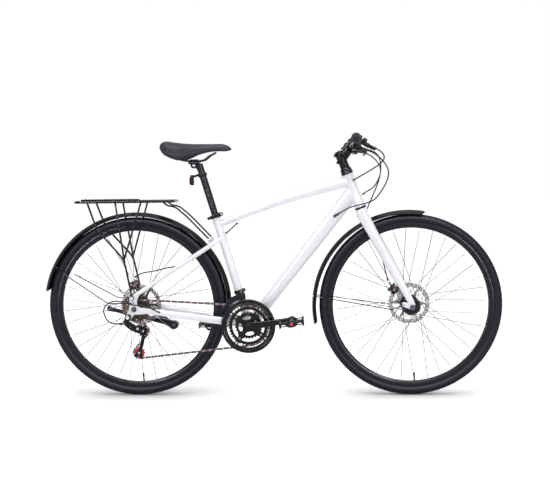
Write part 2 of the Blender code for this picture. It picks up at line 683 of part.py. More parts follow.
def build_rack():
    corner = 0.018
    front_x = REAR_AXLE.x + RACK_FRONT
    left_x = REAR_AXLE.x + RACK_BACK + RACK_ROD
    right_x = front_x - RACK_ROD
    wide = RACK_HALF_WIDTH
    loop = []
    for x_mid, y_mid, first in ((right_x, wide, 0), (left_x, wide, 90), (left_x, -wide, 180),
                                (right_x, -wide, 270)):
        x_in = x_mid - corner if x_mid == right_x else x_mid + corner
        y_in = y_mid - corner if y_mid > 0 else y_mid + corner
        for turn in (0, 90):
            angle = math.radians(first + turn)
            loop.append(Vector((x_in + corner * math.cos(angle),
                                y_in + corner * math.sin(angle), RACK_Z)))
    rack = sweep("rack", loop, [RACK_ROD] * len(loop), 6, Z_AXIS, closed=True)
    parts = []
    for side in (-0.34, 0.34):
        parts.append(cylinder("rail", Vector((left_x, wide * side, RACK_Z)),
                              Vector((right_x, wide * side, RACK_Z)), RACK_RAIL_ROD, 4))
    for x in (left_x + 0.075, -0.020, front_x - 0.046):
        parts.append(cylinder("cross", Vector((x, -wide, RACK_Z - 0.0006)),
                              Vector((x, wide, RACK_Z - 0.0006)), 0.0034, 4))
    eyelet = REAR_AXLE + Vector((-0.004, 0.0, 0.043))
    eye_y = STAY_FOOT_Y + STAY_FOOT_HALF + FIT_GAP
    for sign in (-1.0, 1.0):
        knot = REAR_AXLE + Vector((RACK_KNOT.x, sign * RACK_KNOT.y, RACK_KNOT.z))
        foot = Vector((eyelet.x, sign * (eye_y + 0.0044), eyelet.z + 0.004))
        parts.append(rod("leg", [Vector((REAR_AXLE.x + RACK_LEG_TOPS[0], sign * wide, RACK_Z)),
                                 REAR_AXLE + Vector((-0.136, sign * 0.0655, 0.308)), knot, foot],
                         RACK_LEG_ROD, 5))
        for top in RACK_LEG_TOPS[1:]:
            parts.append(rod("leg", [Vector((REAR_AXLE.x + top, sign * wide, RACK_Z)), knot,
                                     knot + Vector((0.002, 0.0, -0.010))], RACK_LEG_ROD * 0.95, 5))
        parts.append(across("foot_eye", eyelet, 0.0070, sign * eye_y, sign * (eye_y + 0.0050), 10))
        anchor = rack_anchor()
        anchor_y = RACK_BOSS_Y + 0.0050 + FIT_GAP
        parts.append(rod("front_stay", [
            Vector((front_x - 0.046, sign * (wide - 0.013), RACK_Z - 0.001)),
            Vector((front_x - 0.030, sign * (wide - 0.014), RACK_Z - 0.016)),
            Vector((front_x + 0.002, sign * 0.0460, RACK_Z - 0.022)),
            Vector((front_x + 0.046, sign * 0.0460, RACK_Z - 0.060)),
            Vector((anchor.x, sign * (anchor_y + 0.0038), anchor.z))], 0.0036, 4))
        parts.append(across("stay_eye", anchor, 0.0065, sign * anchor_y,
                            sign * (anchor_y + 0.0050), 10))
    fuse(rack, parts)
    finish(rack, BLACK, 0.3, 0.35)
    hinge = Vector((left_x + 0.020, 0.0, RACK_Z + RACK_RAIL_ROD + CLIP_ROD + FIT_GAP))
    top = hinge.z
    path = [Vector((hinge.x, -0.030, top)), Vector((hinge.x, 0.030, top)),
            Vector((hinge.x + 0.150, 0.026, top)), Vector((hinge.x + 0.215, 0.012, top)),
            Vector((hinge.x + 0.215, -0.012, top)), Vector((hinge.x + 0.150, -0.026, top))]
    clip = sweep("rack_clip", path, [CLIP_ROD] * len(path), 6, Z_AXIS, closed=True)
    set_origin(clip, hinge)
    finish(clip, BLACK, 0.4, 0.35)


def clamp_ring(name, center, axis, inner, outer, height, slot_direction, slot):
    sides = 16
    bore = bore_radius(inner, sides)
    profile = [(bore, -height / 2), (outer, -height / 2), (outer, height / 2), (bore, height / 2)]
    ring = lathe(name, profile, center, sides, axis)
    side = axis.cross(slot_direction)
    ears = box("ears", center + slot_direction * (outer + 0.003), (0.012, 0.018, height * 0.8),
               (slot_direction, side, axis))
    fuse(ring, [ears])
    gap = box("slot", center + slot_direction * (outer + 0.002),
              (0.030, slot, height * 1.6), (slot_direction, side, axis))
    cut(ring, [gap])
    return ring


def build_seat():
    collar_s = SEAT_TUBE_LENGTH - 0.008
    collar = clamp_ring("seat_collar", seat(collar_s), SEAT_UP, SEAT_TUBE_RADIUS,
                        SEAT_TUBE_RADIUS + 0.0055, 0.013, -SEAT_FORWARD, 0.002)
    finish(collar, BLACK, 0.5, 0.3)
    pivot = seat(collar_s, -SEAT_TUBE_RADIUS - 0.0105, -0.0090 - FIT_GAP)
    lever = across("collar_lever", pivot, 0.0052, pivot.y - 0.0050, pivot.y, 10)
    arm = sweep("arm", [
        pivot + Vector((0.0, -0.0030, 0.0)),
        pivot + SEAT_FORWARD * 0.008 + Vector((0.0, -0.0120, 0.0005)),
        pivot + SEAT_FORWARD * 0.020 + Vector((0.0, -0.0170, 0.0030)),
        pivot + SEAT_FORWARD * 0.044 + Vector((0.0, -0.0160, 0.0060)),
        pivot + SEAT_FORWARD * 0.058 + Vector((0.0, -0.0100, 0.0080))],
        [(0.0019, 0.0045), (0.0019, 0.0050), (0.0019, 0.0055), (0.0022, 0.0065),
         (0.0022, 0.0075)], 8)
    fuse(lever, [arm])
    set_origin(lever, pivot)
    finish(lever, STEEL, 0.8, 0.3)

    top_s = SEAT_TUBE_LENGTH + SEAT_POST_EXPOSED
    post = cylinder("seatpost", seat(SEAT_TUBE_LENGTH - SEAT_POST_INSERTED), seat(top_s),
                    SEAT_POST_RADIUS, 14)
    head = seat(top_s, -0.0195)
    rail_radius = 0.0035
    cradle_top = 0.0120
    parts = [across("head", head, 0.0125, -0.0190, 0.0190, 14)]
    parts.append(box("cradle", head + Vector((0.002, 0.0, cradle_top - 0.004)),
                     (0.042, 0.058, 0.0080)))
    parts.append(box("cap", head + Vector((0.002, 0.0, cradle_top + 0.0045)),
                     (0.034, 0.0300, 0.0130)))
    parts.append(sweep("neck", [seat(top_s - 0.020), seat(top_s - 0.004, -0.006), head],
                       [(SEAT_POST_RADIUS, 0.0120), (0.0130, 0.0120), (0.0120, 0.0100)], 8))
    fuse(post, parts)
    rail_z = head.z + cradle_top + rail_radius + FIT_GAP
    rail_y = 0.0150 + rail_radius + FIT_GAP
    set_origin(post, seat(SEAT_TUBE_LENGTH))
    finish(post, DARK_GREY, 0.6, 0.35)

    rails = []
    for sign in (-1.0, 1.0):
        run = [Vector((head.x + x, sign * y, rail_z + z)) for x, y, z in (
            (-0.070, 0.0320, 0.0), (-0.050, 0.0300, 0.0085), (-0.029, rail_y, 0.0),
            (0.040, rail_y, 0.0010), (0.060, 0.0150, 0.0190), (0.084, 0.0070, 0.0))]
        run[0].z = saddle_under(run[0].x, run[0].y) - rail_radius - SADDLE_GAP
        run[-1].z = saddle_under(run[-1].x, run[-1].y) - rail_radius - SADDLE_GAP
        rails.append(run)
    rail_path = rails[0] + rails[1][::-1]
    rail = sweep("saddle_rails", rail_path, [rail_radius] * len(rail_path), 8, Z_AXIS)
    finish(rail, STEEL, 0.8, 0.3)
    build_saddle()
    strap_s = SEAT_TUBE_LENGTH + TAIL_LIGHT_ABOVE
    strap_at = seat(strap_s)
    hold = bore_radius(SEAT_POST_RADIUS, 12)
    body = lathe("tail_light", [(hold, -0.006), (hold + 0.003, -0.006), (hold + 0.003, 0.006),
                                (hold, 0.006)], strap_at, 12, SEAT_UP)
    lamp = Vector((strap_at.x - 0.0400, 0.0, strap_at.z - 0.0200))
    case = sweep("case", [lamp + Z_AXIS * 0.0180, lamp - Z_AXIS * 0.0180],
                 [(0.0170, 0.0060), (0.0150, 0.0060)], 10)
    neck = sweep("neck", [strap_at + Vector((-0.0150, 0.0, 0.0)),
                          Vector((lamp.x - 0.001, 0.0, strap_at.z - 0.0080))],
                 [(0.0060, 0.0050), (0.0060, 0.0045)], 8)
    fuse(body, [case, neck])
    finish(body, BLACK, 0.0, 0.4)
    lens_center = lamp - X_AXIS * (0.0060 + FIT_GAP + 0.0020)
    lens = sweep("tail_light_lens", [lens_center + Z_AXIS * 0.0170, lens_center - Z_AXIS * 0.0170],
                 [(0.0130, 0.0020), (0.0120, 0.0020)], 8)
    finish(lens, RED, 0.0, 0.2)


def blend_table(table, share):
    for (x0, v0), (x1, v1) in zip(table, table[1:]):
        if share <= x1:
            return v0 + (v1 - v0) * (share - x0) / (x1 - x0)
    return table[-1][1]


def saddle_shape(share):
    top = SEAT_POST_TOP.z + blend_table(SADDLE_TOP, share)
    bottom = SEAT_POST_TOP.z + blend_table(SADDLE_BOTTOM, share)
    return top, bottom, SADDLE_HALF_WIDTH * blend_table(SADDLE_WIDTH, share)


def saddle_under(x, y):
    share = (x - SEAT_POST_TOP.x - SADDLE_TAIL) / (SADDLE_NOSE - SADDLE_TAIL)
    top, bottom, half = saddle_shape(share)
    middle = (top + bottom) / 2.0 - 0.002
    c = (abs(y) / half) ** (1.0 / 0.8)
    return middle - (middle - bottom) * math.sqrt(1.0 - c * c) ** 0.6


def build_saddle():
    bm = bmesh.new()
    shares = (0.0, 0.03, 0.08, 0.16, 0.24, 0.32, 0.40, 0.48, 0.56, 0.66, 0.76, 0.86, 0.93, 0.975,
              1.0)
    around_count = 16
    rings = []
    for share in shares:
        x = SEAT_POST_TOP.x + SADDLE_TAIL + (SADDLE_NOSE - SADDLE_TAIL) * share
        top, bottom, half = saddle_shape(share)
        mid = (top + bottom) / 2.0 - 0.002
        ring = []
        for turn in range(around_count):
            angle = 2.0 * math.pi * turn / around_count
            c = math.cos(angle)
            s = math.sin(angle)
            y = half * math.copysign(abs(c) ** 0.8, c)
            if s >= 0.0:
                z = mid + (top - mid) * s ** 0.75
            else:
                z = mid - (mid - bottom) * abs(s) ** 0.6
            ring.append(bm.verts.new((x, y, z)))
        rings.append(ring)
    for first, second in zip(rings, rings[1:]):
        for index in range(around_count):
            other = (index + 1) % around_count
            bm.faces.new((first[index], first[other], second[other], second[index]))
    bm.faces.new(rings[0][::-1])
    bm.faces.new(rings[-1])
    saddle = make_object("saddle", bm)
    finish(saddle, DARK_GREY, 0.0, 0.6)


def bar_center():
    return steer(HEAD_TOP + STEM_COLUMN_LENGTH - 0.003, BAR_REACH)


def build_cockpit():
    base = HEAD_TOP + FIT_GAP
    column = cylinder("stem", steer(base), steer(HEAD_TOP + STEM_COLUMN_LENGTH + 0.004),
                      STEM_COLUMN_RADIUS, 14)
    bar = bar_center()
    parts = [cylinder("collar", steer(base), steer(base + 0.024), 0.0235, 14, 0.0205)]
    parts.append(sweep("extension", [steer(HEAD_TOP + STEM_COLUMN_LENGTH - 0.022),
                                     bar - STEER_FORWARD * 0.012],
                       [(0.0165, 0.0220), (0.0200, 0.0165)], 10))
    parts.append(across("clamp", bar, BAR_CLAMP_RADIUS + 0.0055, -0.0230, 0.0230, 16))
    for drop in (0.008, 0.036):
        bump = steer(HEAD_TOP + STEM_COLUMN_LENGTH - drop, -STEM_COLUMN_RADIUS - 0.0025)
        parts.append(across("bump", bump, 0.0065, -0.0120, 0.0120, 10))
    fuse(column, parts)
    cut(column, [across("bar_bore", bar, bore_radius(BAR_CLAMP_RADIUS, 14), -0.05, 0.05, 14),
                 cylinder("steerer_bore", steer(base - 0.02), steer(HEAD_TOP + 0.049),
                          bore_radius(STEERER_RADIUS, 14), 14)])
    set_origin(column, steer(AXLE_TO_HEAD_TUBE))
    finish(column, BLACK, 0.2, 0.3)

    path = bar_path()
    radii = [BAR_GRIP_RADIUS] * 3 + [0.0125, BAR_CLAMP_RADIUS]
    full = [mirrored(p) for p in path] + path[::-1]
    handlebar = sweep("handlebar", full, radii + radii[::-1], 12, Z_AXIS)
    set_origin(handlebar, steer(AXLE_TO_HEAD_TUBE))
    finish(handlebar, BLACK, 0.3, 0.35)
    anchors = {}
    for side, tag in ((-1.0, "right"), (1.0, "left")):
        build_grip(tag, side, path)
        anchors[tag] = build_controls(tag, side, path)
    return anchors


def bar_path():
    bar = bar_center()
    end = Vector((bar.x - 0.004, BAR_HALF_WIDTH, bar.z + 0.020))
    inner = Vector((bar.x + 0.014, BAR_HALF_WIDTH - 0.170, bar.z + 0.020))
    return [end, end.lerp(inner, 0.75), inner, Vector((bar.x + 0.006, 0.075, bar.z + 0.005)),
            Vector((bar.x, 0.040, bar.z))]


def side_point(path, share, side):
    point = path[0].lerp(path[1], share)
    return Vector((point.x, point.y * side, point.z))


def build_grip(tag, side, path):
    axis = (side_point(path, 1.0, side) - side_point(path, 0.0, side)).normalized()
    outer_end = side_point(path, 0.0, side) - axis * 0.003
    inner_end = outer_end + axis * GRIP_LENGTH
    reference = (X_AXIS - axis * X_AXIS.dot(axis)).normalized()
    upward = axis.cross(reference)
    if upward.z < 0.0:
        upward = -upward
    bm = bmesh.new()
    rings = []
    stations = ((0.0, 0.0150, 0.015), (0.04, 0.0168, 0.028), (0.22, 0.0168, 0.030),
                (0.45, 0.0165, 0.022), (0.70, 0.0160, 0.0165), (0.93, 0.0165, 0.0165),
                (1.0, 0.0170, 0.0170))
    steps = 12
    for share, radius, wing in stations:
        center = outer_end.lerp(inner_end, share)
        ring = []
        for turn in range(steps):
            angle = 2.0 * math.pi * turn / steps
            c = math.cos(angle)
            s = math.sin(angle)
            forward = radius * c
            lift = radius * s
            if c < 0.0:
                blend = (-c) ** 3
                forward = -radius * (-c) - (wing - radius) * blend
                lift = lift * (1.0 - 0.35 * (-c)) - (wing - radius) * 0.45 * blend
            ring.append(bm.verts.new(center + reference * forward + upward * lift))
        rings.append(ring)
    for first, second in zip(rings, rings[1:]):
        for index in range(steps):
            other = (index + 1) % steps
            bm.faces.new((first[index], first[other], second[other], second[index]))
    bm.faces.new(rings[0][::-1])
    bm.faces.new(rings[-1])
    grip = make_object("grip_" + tag, bm)
    bore = cylinder("bore", outer_end + axis * (0.0030 - FIT_GAP), inner_end + axis * 0.02,
                    bore_radius(BAR_GRIP_RADIUS, 12), 12)
    cut(grip, [bore])
    set_origin(grip, steer(AXLE_TO_HEAD_TUBE))
    finish(grip, DARK_GREY, 0.0, 0.75)


def build_controls(tag, side, path):
    axis = (side_point(path, 0.0, side) - side_point(path, 1.0, side)).normalized()
    clamp = side_point(path, 0.0, side) - axis * (GRIP_LENGTH + 0.016)
    inner = bore_radius(BAR_GRIP_RADIUS, 12)
    ring = lathe("lever_bracket_" + tag, [(inner, -0.008), (inner + 0.005, -0.008),
                                          (inner + 0.005, 0.008), (inner, 0.008)],
                 clamp, 12, axis)
    forward = Vector((0.86, 0.0, -0.51)).normalized()
    up = Vector((0.51, 0.0, 0.86)).normalized()
    body_center = clamp + forward * 0.030 - axis * 0.010
    parts = [box("body", body_center, (0.034, 0.034, 0.016), (forward, axis, up))]
    pod_center = clamp + forward * 0.012 - axis * 0.018 - up * 0.022
    parts.append(box("pod_neck", clamp - axis * 0.004 - up * 0.015, (0.016, 0.012, 0.018),
                     (forward, axis, up)))
    parts.append(sweep("pod", [pod_center + up * 0.008, pod_center - up * 0.009],
                       [0.021, 0.019], 9, X_AXIS))
    barrel = body_center + forward * 0.006 - axis * 0.012
    parts.append(cylinder("barrel", barrel, barrel - axis * 0.022, 0.0050, 8))
    shift_barrel = pod_center - axis * 0.008 + forward * 0.004
    parts.append(cylinder("shift_barrel", shift_barrel, shift_barrel - axis * 0.018, 0.0040, 8))
    parts.append(box("bump", clamp + forward * 0.026 + up * 0.0100, (0.018, 0.018, 0.020),
                     (forward, axis, up)))
    fuse(ring, parts)
    cut(ring, [cylinder("bar_space", clamp - axis * 0.06, clamp + axis * 0.06, inner, 12)])
    set_origin(ring, steer(AXLE_TO_HEAD_TUBE))
    finish(ring, BLACK, 0.2, 0.35)

    pivot = body_center + forward * 0.017 + axis * 0.006 + forward * (0.0080 + FIT_GAP)
    blade = [pivot, pivot + axis * 0.020 + forward * 0.010, pivot + axis * 0.050 + forward * 0.016,
             pivot + axis * 0.085 + forward * 0.012, pivot + axis * 0.108 + forward * 0.018]
    lever = cylinder("brake_lever_" + tag, pivot - up * 0.006, pivot + up * 0.006, 0.0080, 12)
    fuse(lever, [sweep("blade", blade, [(0.0050, 0.0038), (0.0055, 0.0036), (0.0060, 0.0032),
                                        (0.0060, 0.0032), (0.0066, 0.0042)], 8, up)])
    set_origin(lever, pivot)
    finish(lever, BLACK, 0.3, 0.3)

    shift_pivot = pod_center - up * (0.009 + FIT_GAP + 0.002)
    shifter = cylinder("shift_lever_" + tag, shift_pivot - up * 0.002, shift_pivot + up * 0.002,
                       0.0100, 12)
    tip = shift_pivot + axis * 0.022 - forward * 0.018
    fuse(shifter, [sweep("thumb", [shift_pivot, shift_pivot.lerp(tip, 0.6), tip],
                         [(0.0016, 0.0050), (0.0017, 0.0050), (0.0050, 0.0065)], 8, up)])
    set_origin(shifter, shift_pivot)
    finish(shifter, STEEL, 0.5, 0.35)
    return (barrel - axis * (0.022 + FIT_GAP), shift_barrel - axis * (0.018 + FIT_GAP), -axis)


def caliper_axes(tag):
    axle, angle = (FRONT_AXLE, 137.0) if tag == "front" else (REAR_AXLE, 107.0)
    rotor_y = FRONT_ROTOR_Y if tag == "front" else REAR_ROTOR_Y
    center = around(axle, 0.0780, angle, rotor_y)
    out = (center - Vector((axle.x, rotor_y, axle.z))).normalized()
    return center, out, Y_AXIS.cross(out)


def caliper_pull(tag):
    center, out, along = caliper_axes(tag)
    tip = center + out * 0.030 + along * 0.006
    return Vector((tip.x, center.y + CALIPER_DRUM + FIT_GAP + 0.0015, tip.z))


def build_calipers():
    for tag, outer in (("front", 0.0065), ("rear", 0.0085)):
        name = tag + "_caliper"
        center, out, along = caliper_axes(tag)
        inner = 0.0070
        middle = center + out * 0.002 + Y_AXIS * ((outer - inner) / 2.0)
        body = box(name, middle, (0.034, inner + outer, 0.042), (out, Y_AXIS, along))
        if tag == "rear":
            arm_y = STAY_FOOT_Y - STAY_FOOT_HALF - FIT_GAP - 0.0028
            mount = around(REAR_AXLE, 0.040, 96.0, arm_y)
            end = center + out * 0.010
            parts = [sweep("bracket", [mount, Vector((end.x, arm_y, end.z))],
                           [(0.0028, 0.008), (0.0028, 0.010)], 4, Y_AXIS, square=True)]
        else:
            parts = [box("bracket", center + Vector((0.020, 0.0045, 0.006)),
                         (0.036, 0.0050, 0.020))]
        parts.append(across("drum", center, 0.0125, center.y + 0.0040,
                            center.y + CALIPER_DRUM, 12))
        fuse(body, parts)
        slot = box("slot", center - out * 0.012, (0.052, 0.0036, 0.060), (out, Y_AXIS, along))
        cut(body, [slot])
        if tag == "front":
            set_origin(body, steer(AXLE_TO_HEAD_TUBE))
        finish(body, BLACK, 0.3, 0.35)
        arm_y = center.y + CALIPER_DRUM + FIT_GAP
        hub = Vector((center.x, arm_y + 0.0015, center.z))
        arm = across(name + "_arm", center, 0.0085, arm_y, arm_y + 0.0030, 12)
        fuse(arm, [sweep("arm", [hub, caliper_pull(tag)], [(0.0012, 0.0055), (0.0012, 0.0040)],
                         4, Y_AXIS, square=True)])
        set_origin(arm, Vector((center.x, arm_y, center.z)))
        finish(arm, STEEL, 0.7, 0.35)


def build_crank():
    angle = CRANK_ANGLE
    for sign, tag, turn in ((-1.0, "right", angle), (1.0, "left", angle + 180.0)):
        pedal_at = around(BB, CRANK_LENGTH, turn)
        root_y = sign * 0.0690
        end_y = sign * 0.0820
        name = "chainset" if tag == "right" else "crank_left"
        points = [Vector((BB.x, root_y, BB.z)), around(BB, 0.030, turn, root_y),
                  around(BB, CRANK_LENGTH - 0.030, turn, end_y),
                  Vector((pedal_at.x, end_y, pedal_at.z))]
        arm = sweep(name, points, [(0.0068, 0.0170), (0.0068, 0.0150), (0.0062, 0.0110),
                                   (0.0062, 0.0120)], 8)
        parts = [across("boss", BB, 0.0185, sign * CRANK_BOSS_Y, sign * 0.0770, 12),
                 across("eye", pedal_at, 0.0145, sign * 0.0755, sign * 0.0885, 10),
                 across("pedal_spindle", pedal_at, PEDAL_SPINDLE_RADIUS, sign * 0.080,
                        sign * (0.0885 + 0.006 + PEDAL_WIDTH * 0.86), 12)]
        if tag == "right":
            parts.append(across("spindle", BB, SPINDLE_RADIUS, -0.070, CRANK_BOSS_Y - FIT_GAP, 12))
            mid = CHAIN_LINE_Y - RING_SPACING / 2.0
            half = RING_SPACING / 2.0 - PLATE_THICKNESS / 2.0 - FIT_GAP
            parts.append(across("spider_core", BB, 0.0290, mid - half, mid + half, 12))
            parts.append(across("spider_neck", BB, 0.0200, -0.0655, mid, 10))
            for index in range(4):
                tip = around(BB, 0.0672, turn + 45.0 + index * 90.0, mid - 0.0009)
                parts.append(sweep("spider_arm", [Vector((BB.x, mid, BB.z)), tip],
                                   [(half - 0.0002, 0.0100), (half, 0.0075)], 4, Y_AXIS,
                                   square=True))
            parts += ring_set()
        fuse(arm, parts)
        set_origin(arm, BB)
        finish(arm, BLACK, 0.4, 0.3)
        build_pedal("pedal_" + tag, pedal_at, sign)


def ring_set():
    outer_y = CHAIN_LINE_Y - RING_SPACING
    inner_y = CHAIN_LINE_Y + RING_SPACING
    guard_y = outer_y - GUARD_STEP
    half = PLATE_THICKNESS / 2.0
    pieces = []
    for teeth, inner, y in ((RING_OUTER_TEETH, 0.0600, outer_y),
                            (RING_MIDDLE_TEETH, 0.0450, CHAIN_LINE_Y),
                            (RING_INNER_TEETH, 0.0430, inner_y)):
        tip = pitch_radius(teeth) - TOOTH_BELOW_PITCH
        pieces.append(washer("ring", BB, tip, inner, y - half, y + half, 22))
    pieces.append(washer("guard", BB, GUARD_RADIUS, 0.0680, guard_y - 0.0012, guard_y + 0.0010, 22))
    for index in range(4):
        turn = CRANK_ANGLE + 45.0 + index * 90.0
        outer_post = around(BB, 0.0790, turn + 1.5)
        pieces.append(across("post", outer_post, 0.0045, outer_y, guard_y, 5))
        inner_post = around(BB, 0.0500, turn)
        pieces.append(across("post", inner_post, 0.0040, inner_y, CHAIN_LINE_Y - 0.003, 5))
    return pieces


def build_pedal(name, at, sign):
    tilt = math.radians(PEDAL_TILT if sign < 0 else -PEDAL_TILT * 0.4)
    along = Vector((math.cos(tilt), 0.0, math.sin(tilt)))
    up = Vector((-math.sin(tilt), 0.0, math.cos(tilt)))
    start = 0.0885 + 0.0030
    center = Vector((at.x, sign * (start + PEDAL_WIDTH / 2.0), at.z))
    axes = (along, Y_AXIS, up)
    body = box(name, center, (PEDAL_LENGTH, PEDAL_WIDTH, PEDAL_THICKNESS), axes)
    cuts = []
    window = PEDAL_LENGTH / 2.0 - 0.022
    for side in (-1.0, 1.0):
        spot = center + along * (side * (0.011 + window / 2.0))
        cuts.append(box("window", spot, (window, PEDAL_WIDTH - 0.022, PEDAL_THICKNESS * 2), axes))
    shaft_end = sign * (0.0885 + 0.006 + PEDAL_WIDTH * 0.86 + FIT_GAP)
    cuts.append(across("shaft", at, bore_radius(PEDAL_SPINDLE_RADIUS, 12), sign * 0.06, shaft_end, 12))
    cut(body, cuts)
    set_origin(body, at)
    finish(body, BLACK, 0.0, 0.5)


def build_cassette():
    inner = bore_radius(FREEHUB_RADIUS, 12)
    half = PLATE_THICKNESS / 2.0
    profile = [(inner, COG_FIRST_Y + half + 0.0010)]
    for index, teeth in enumerate(COG_TEETH):
        y = COG_FIRST_Y - index * COG_PITCH_Y
        tip = pitch_radius(teeth) - TOOTH_BELOW_PITCH
        core = pitch_radius(COG_TEETH[-1]) - 0.0085
        profile.append((core, y + half))
        profile.append((tip, y + half))
        profile.append((tip, y - half))
        profile.append((core, y - half))
    profile[1] = (core, COG_FIRST_Y + half + 0.0010)
    profile.insert(2, (core, COG_FIRST_Y + half))
    profile.append((inner, y - half - 0.0010))
    cog = lathe("cassette", profile, REAR_AXLE, 12)
    set_origin(cog, REAR_AXLE)
    finish(cog, BRONZE, 0.8, 0.35)


def chain_path():
    guide = REAR_AXLE + GUIDE_PULLEY
    tension = REAR_AXLE + TENSION_PULLEY
    small = pitch_radius(PULLEY_TEETH)
    wheels = [
        (BB, pitch_radius(RING_MIDDLE_TEETH), 1.0, CHAIN_LINE_Y, 10),
        (REAR_AXLE, pitch_radius(COG_TEETH[ACTIVE_COG]), 1.0, ACTIVE_COG_Y, 6),
        (guide, small, -1.0, ACTIVE_COG_Y, 5),
        (tension, small, 1.0, ACTIVE_COG_Y, 5),
    ]
    directions = []
    for index, (center, radius, sense, y, steps) in enumerate(wheels):
        other, other_radius, other_sense = wheels[(index + 1) % 4][:3]
        gap = other - center
        length = math.hypot(gap.x, gap.z)
        lean = (radius * sense - other_radius * other_sense) / length
        directions.append(math.atan2(gap.z, gap.x) + math.asin(lean))
    points = []
    for index, (center, radius, sense, y, steps) in enumerate(wheels):
        arrive = directions[index - 1] - math.pi / 2.0
        leave = directions[index] - math.pi / 2.0
        if sense > 0.0:
            while leave < arrive:
                leave += 2.0 * math.pi
            while leave - arrive > 2.0 * math.pi:
                leave -= 2.0 * math.pi
        else:
            arrive += math.pi
            leave += math.pi
            while leave > arrive:
                leave -= 2.0 * math.pi
            while arrive - leave > 2.0 * math.pi:
                leave += 2.0 * math.pi
        reach = radius / math.cos((leave - arrive) / steps / 2.0)
        for step in range(steps):
            turn = arrive + (leave - arrive) * (step + 0.5) / steps
            points.append(Vector((center.x + reach * math.cos(turn), y,
                                  center.z + reach * math.sin(turn))))
    return points


def build_chain():
    wide = CHAIN_HALF_WIDTH
    high = CHAIN_HALF_HEIGHT
    slot = CHAIN_GROOVE_HALF
    web = CHAIN_WEB_HALF
    section = [(-wide, -high), (-slot, -high), (-slot, -web), (slot, -web), (slot, -high),
               (wide, -high), (wide, high), (slot, high), (slot, web), (-slot, web),
               (-slot, high), (-wide, high)]
    bm = bmesh.new()
    rings = []
    for point, side, normal in ring_frames(chain_path(), Y_AXIS, True):
        rings.append([bm.verts.new(point + side * a + normal * b) for a, b in section])
    count = len(section)
    for index, first in enumerate(rings):
        second = rings[(index + 1) % len(rings)]
        for corner in range(count):
            other = (corner + 1) % count
            bm.faces.new((first[corner], first[other], second[other], second[corner]))
    chain = make_object("chain", bm)
    finish(chain, BRONZE, 0.8, 0.4)


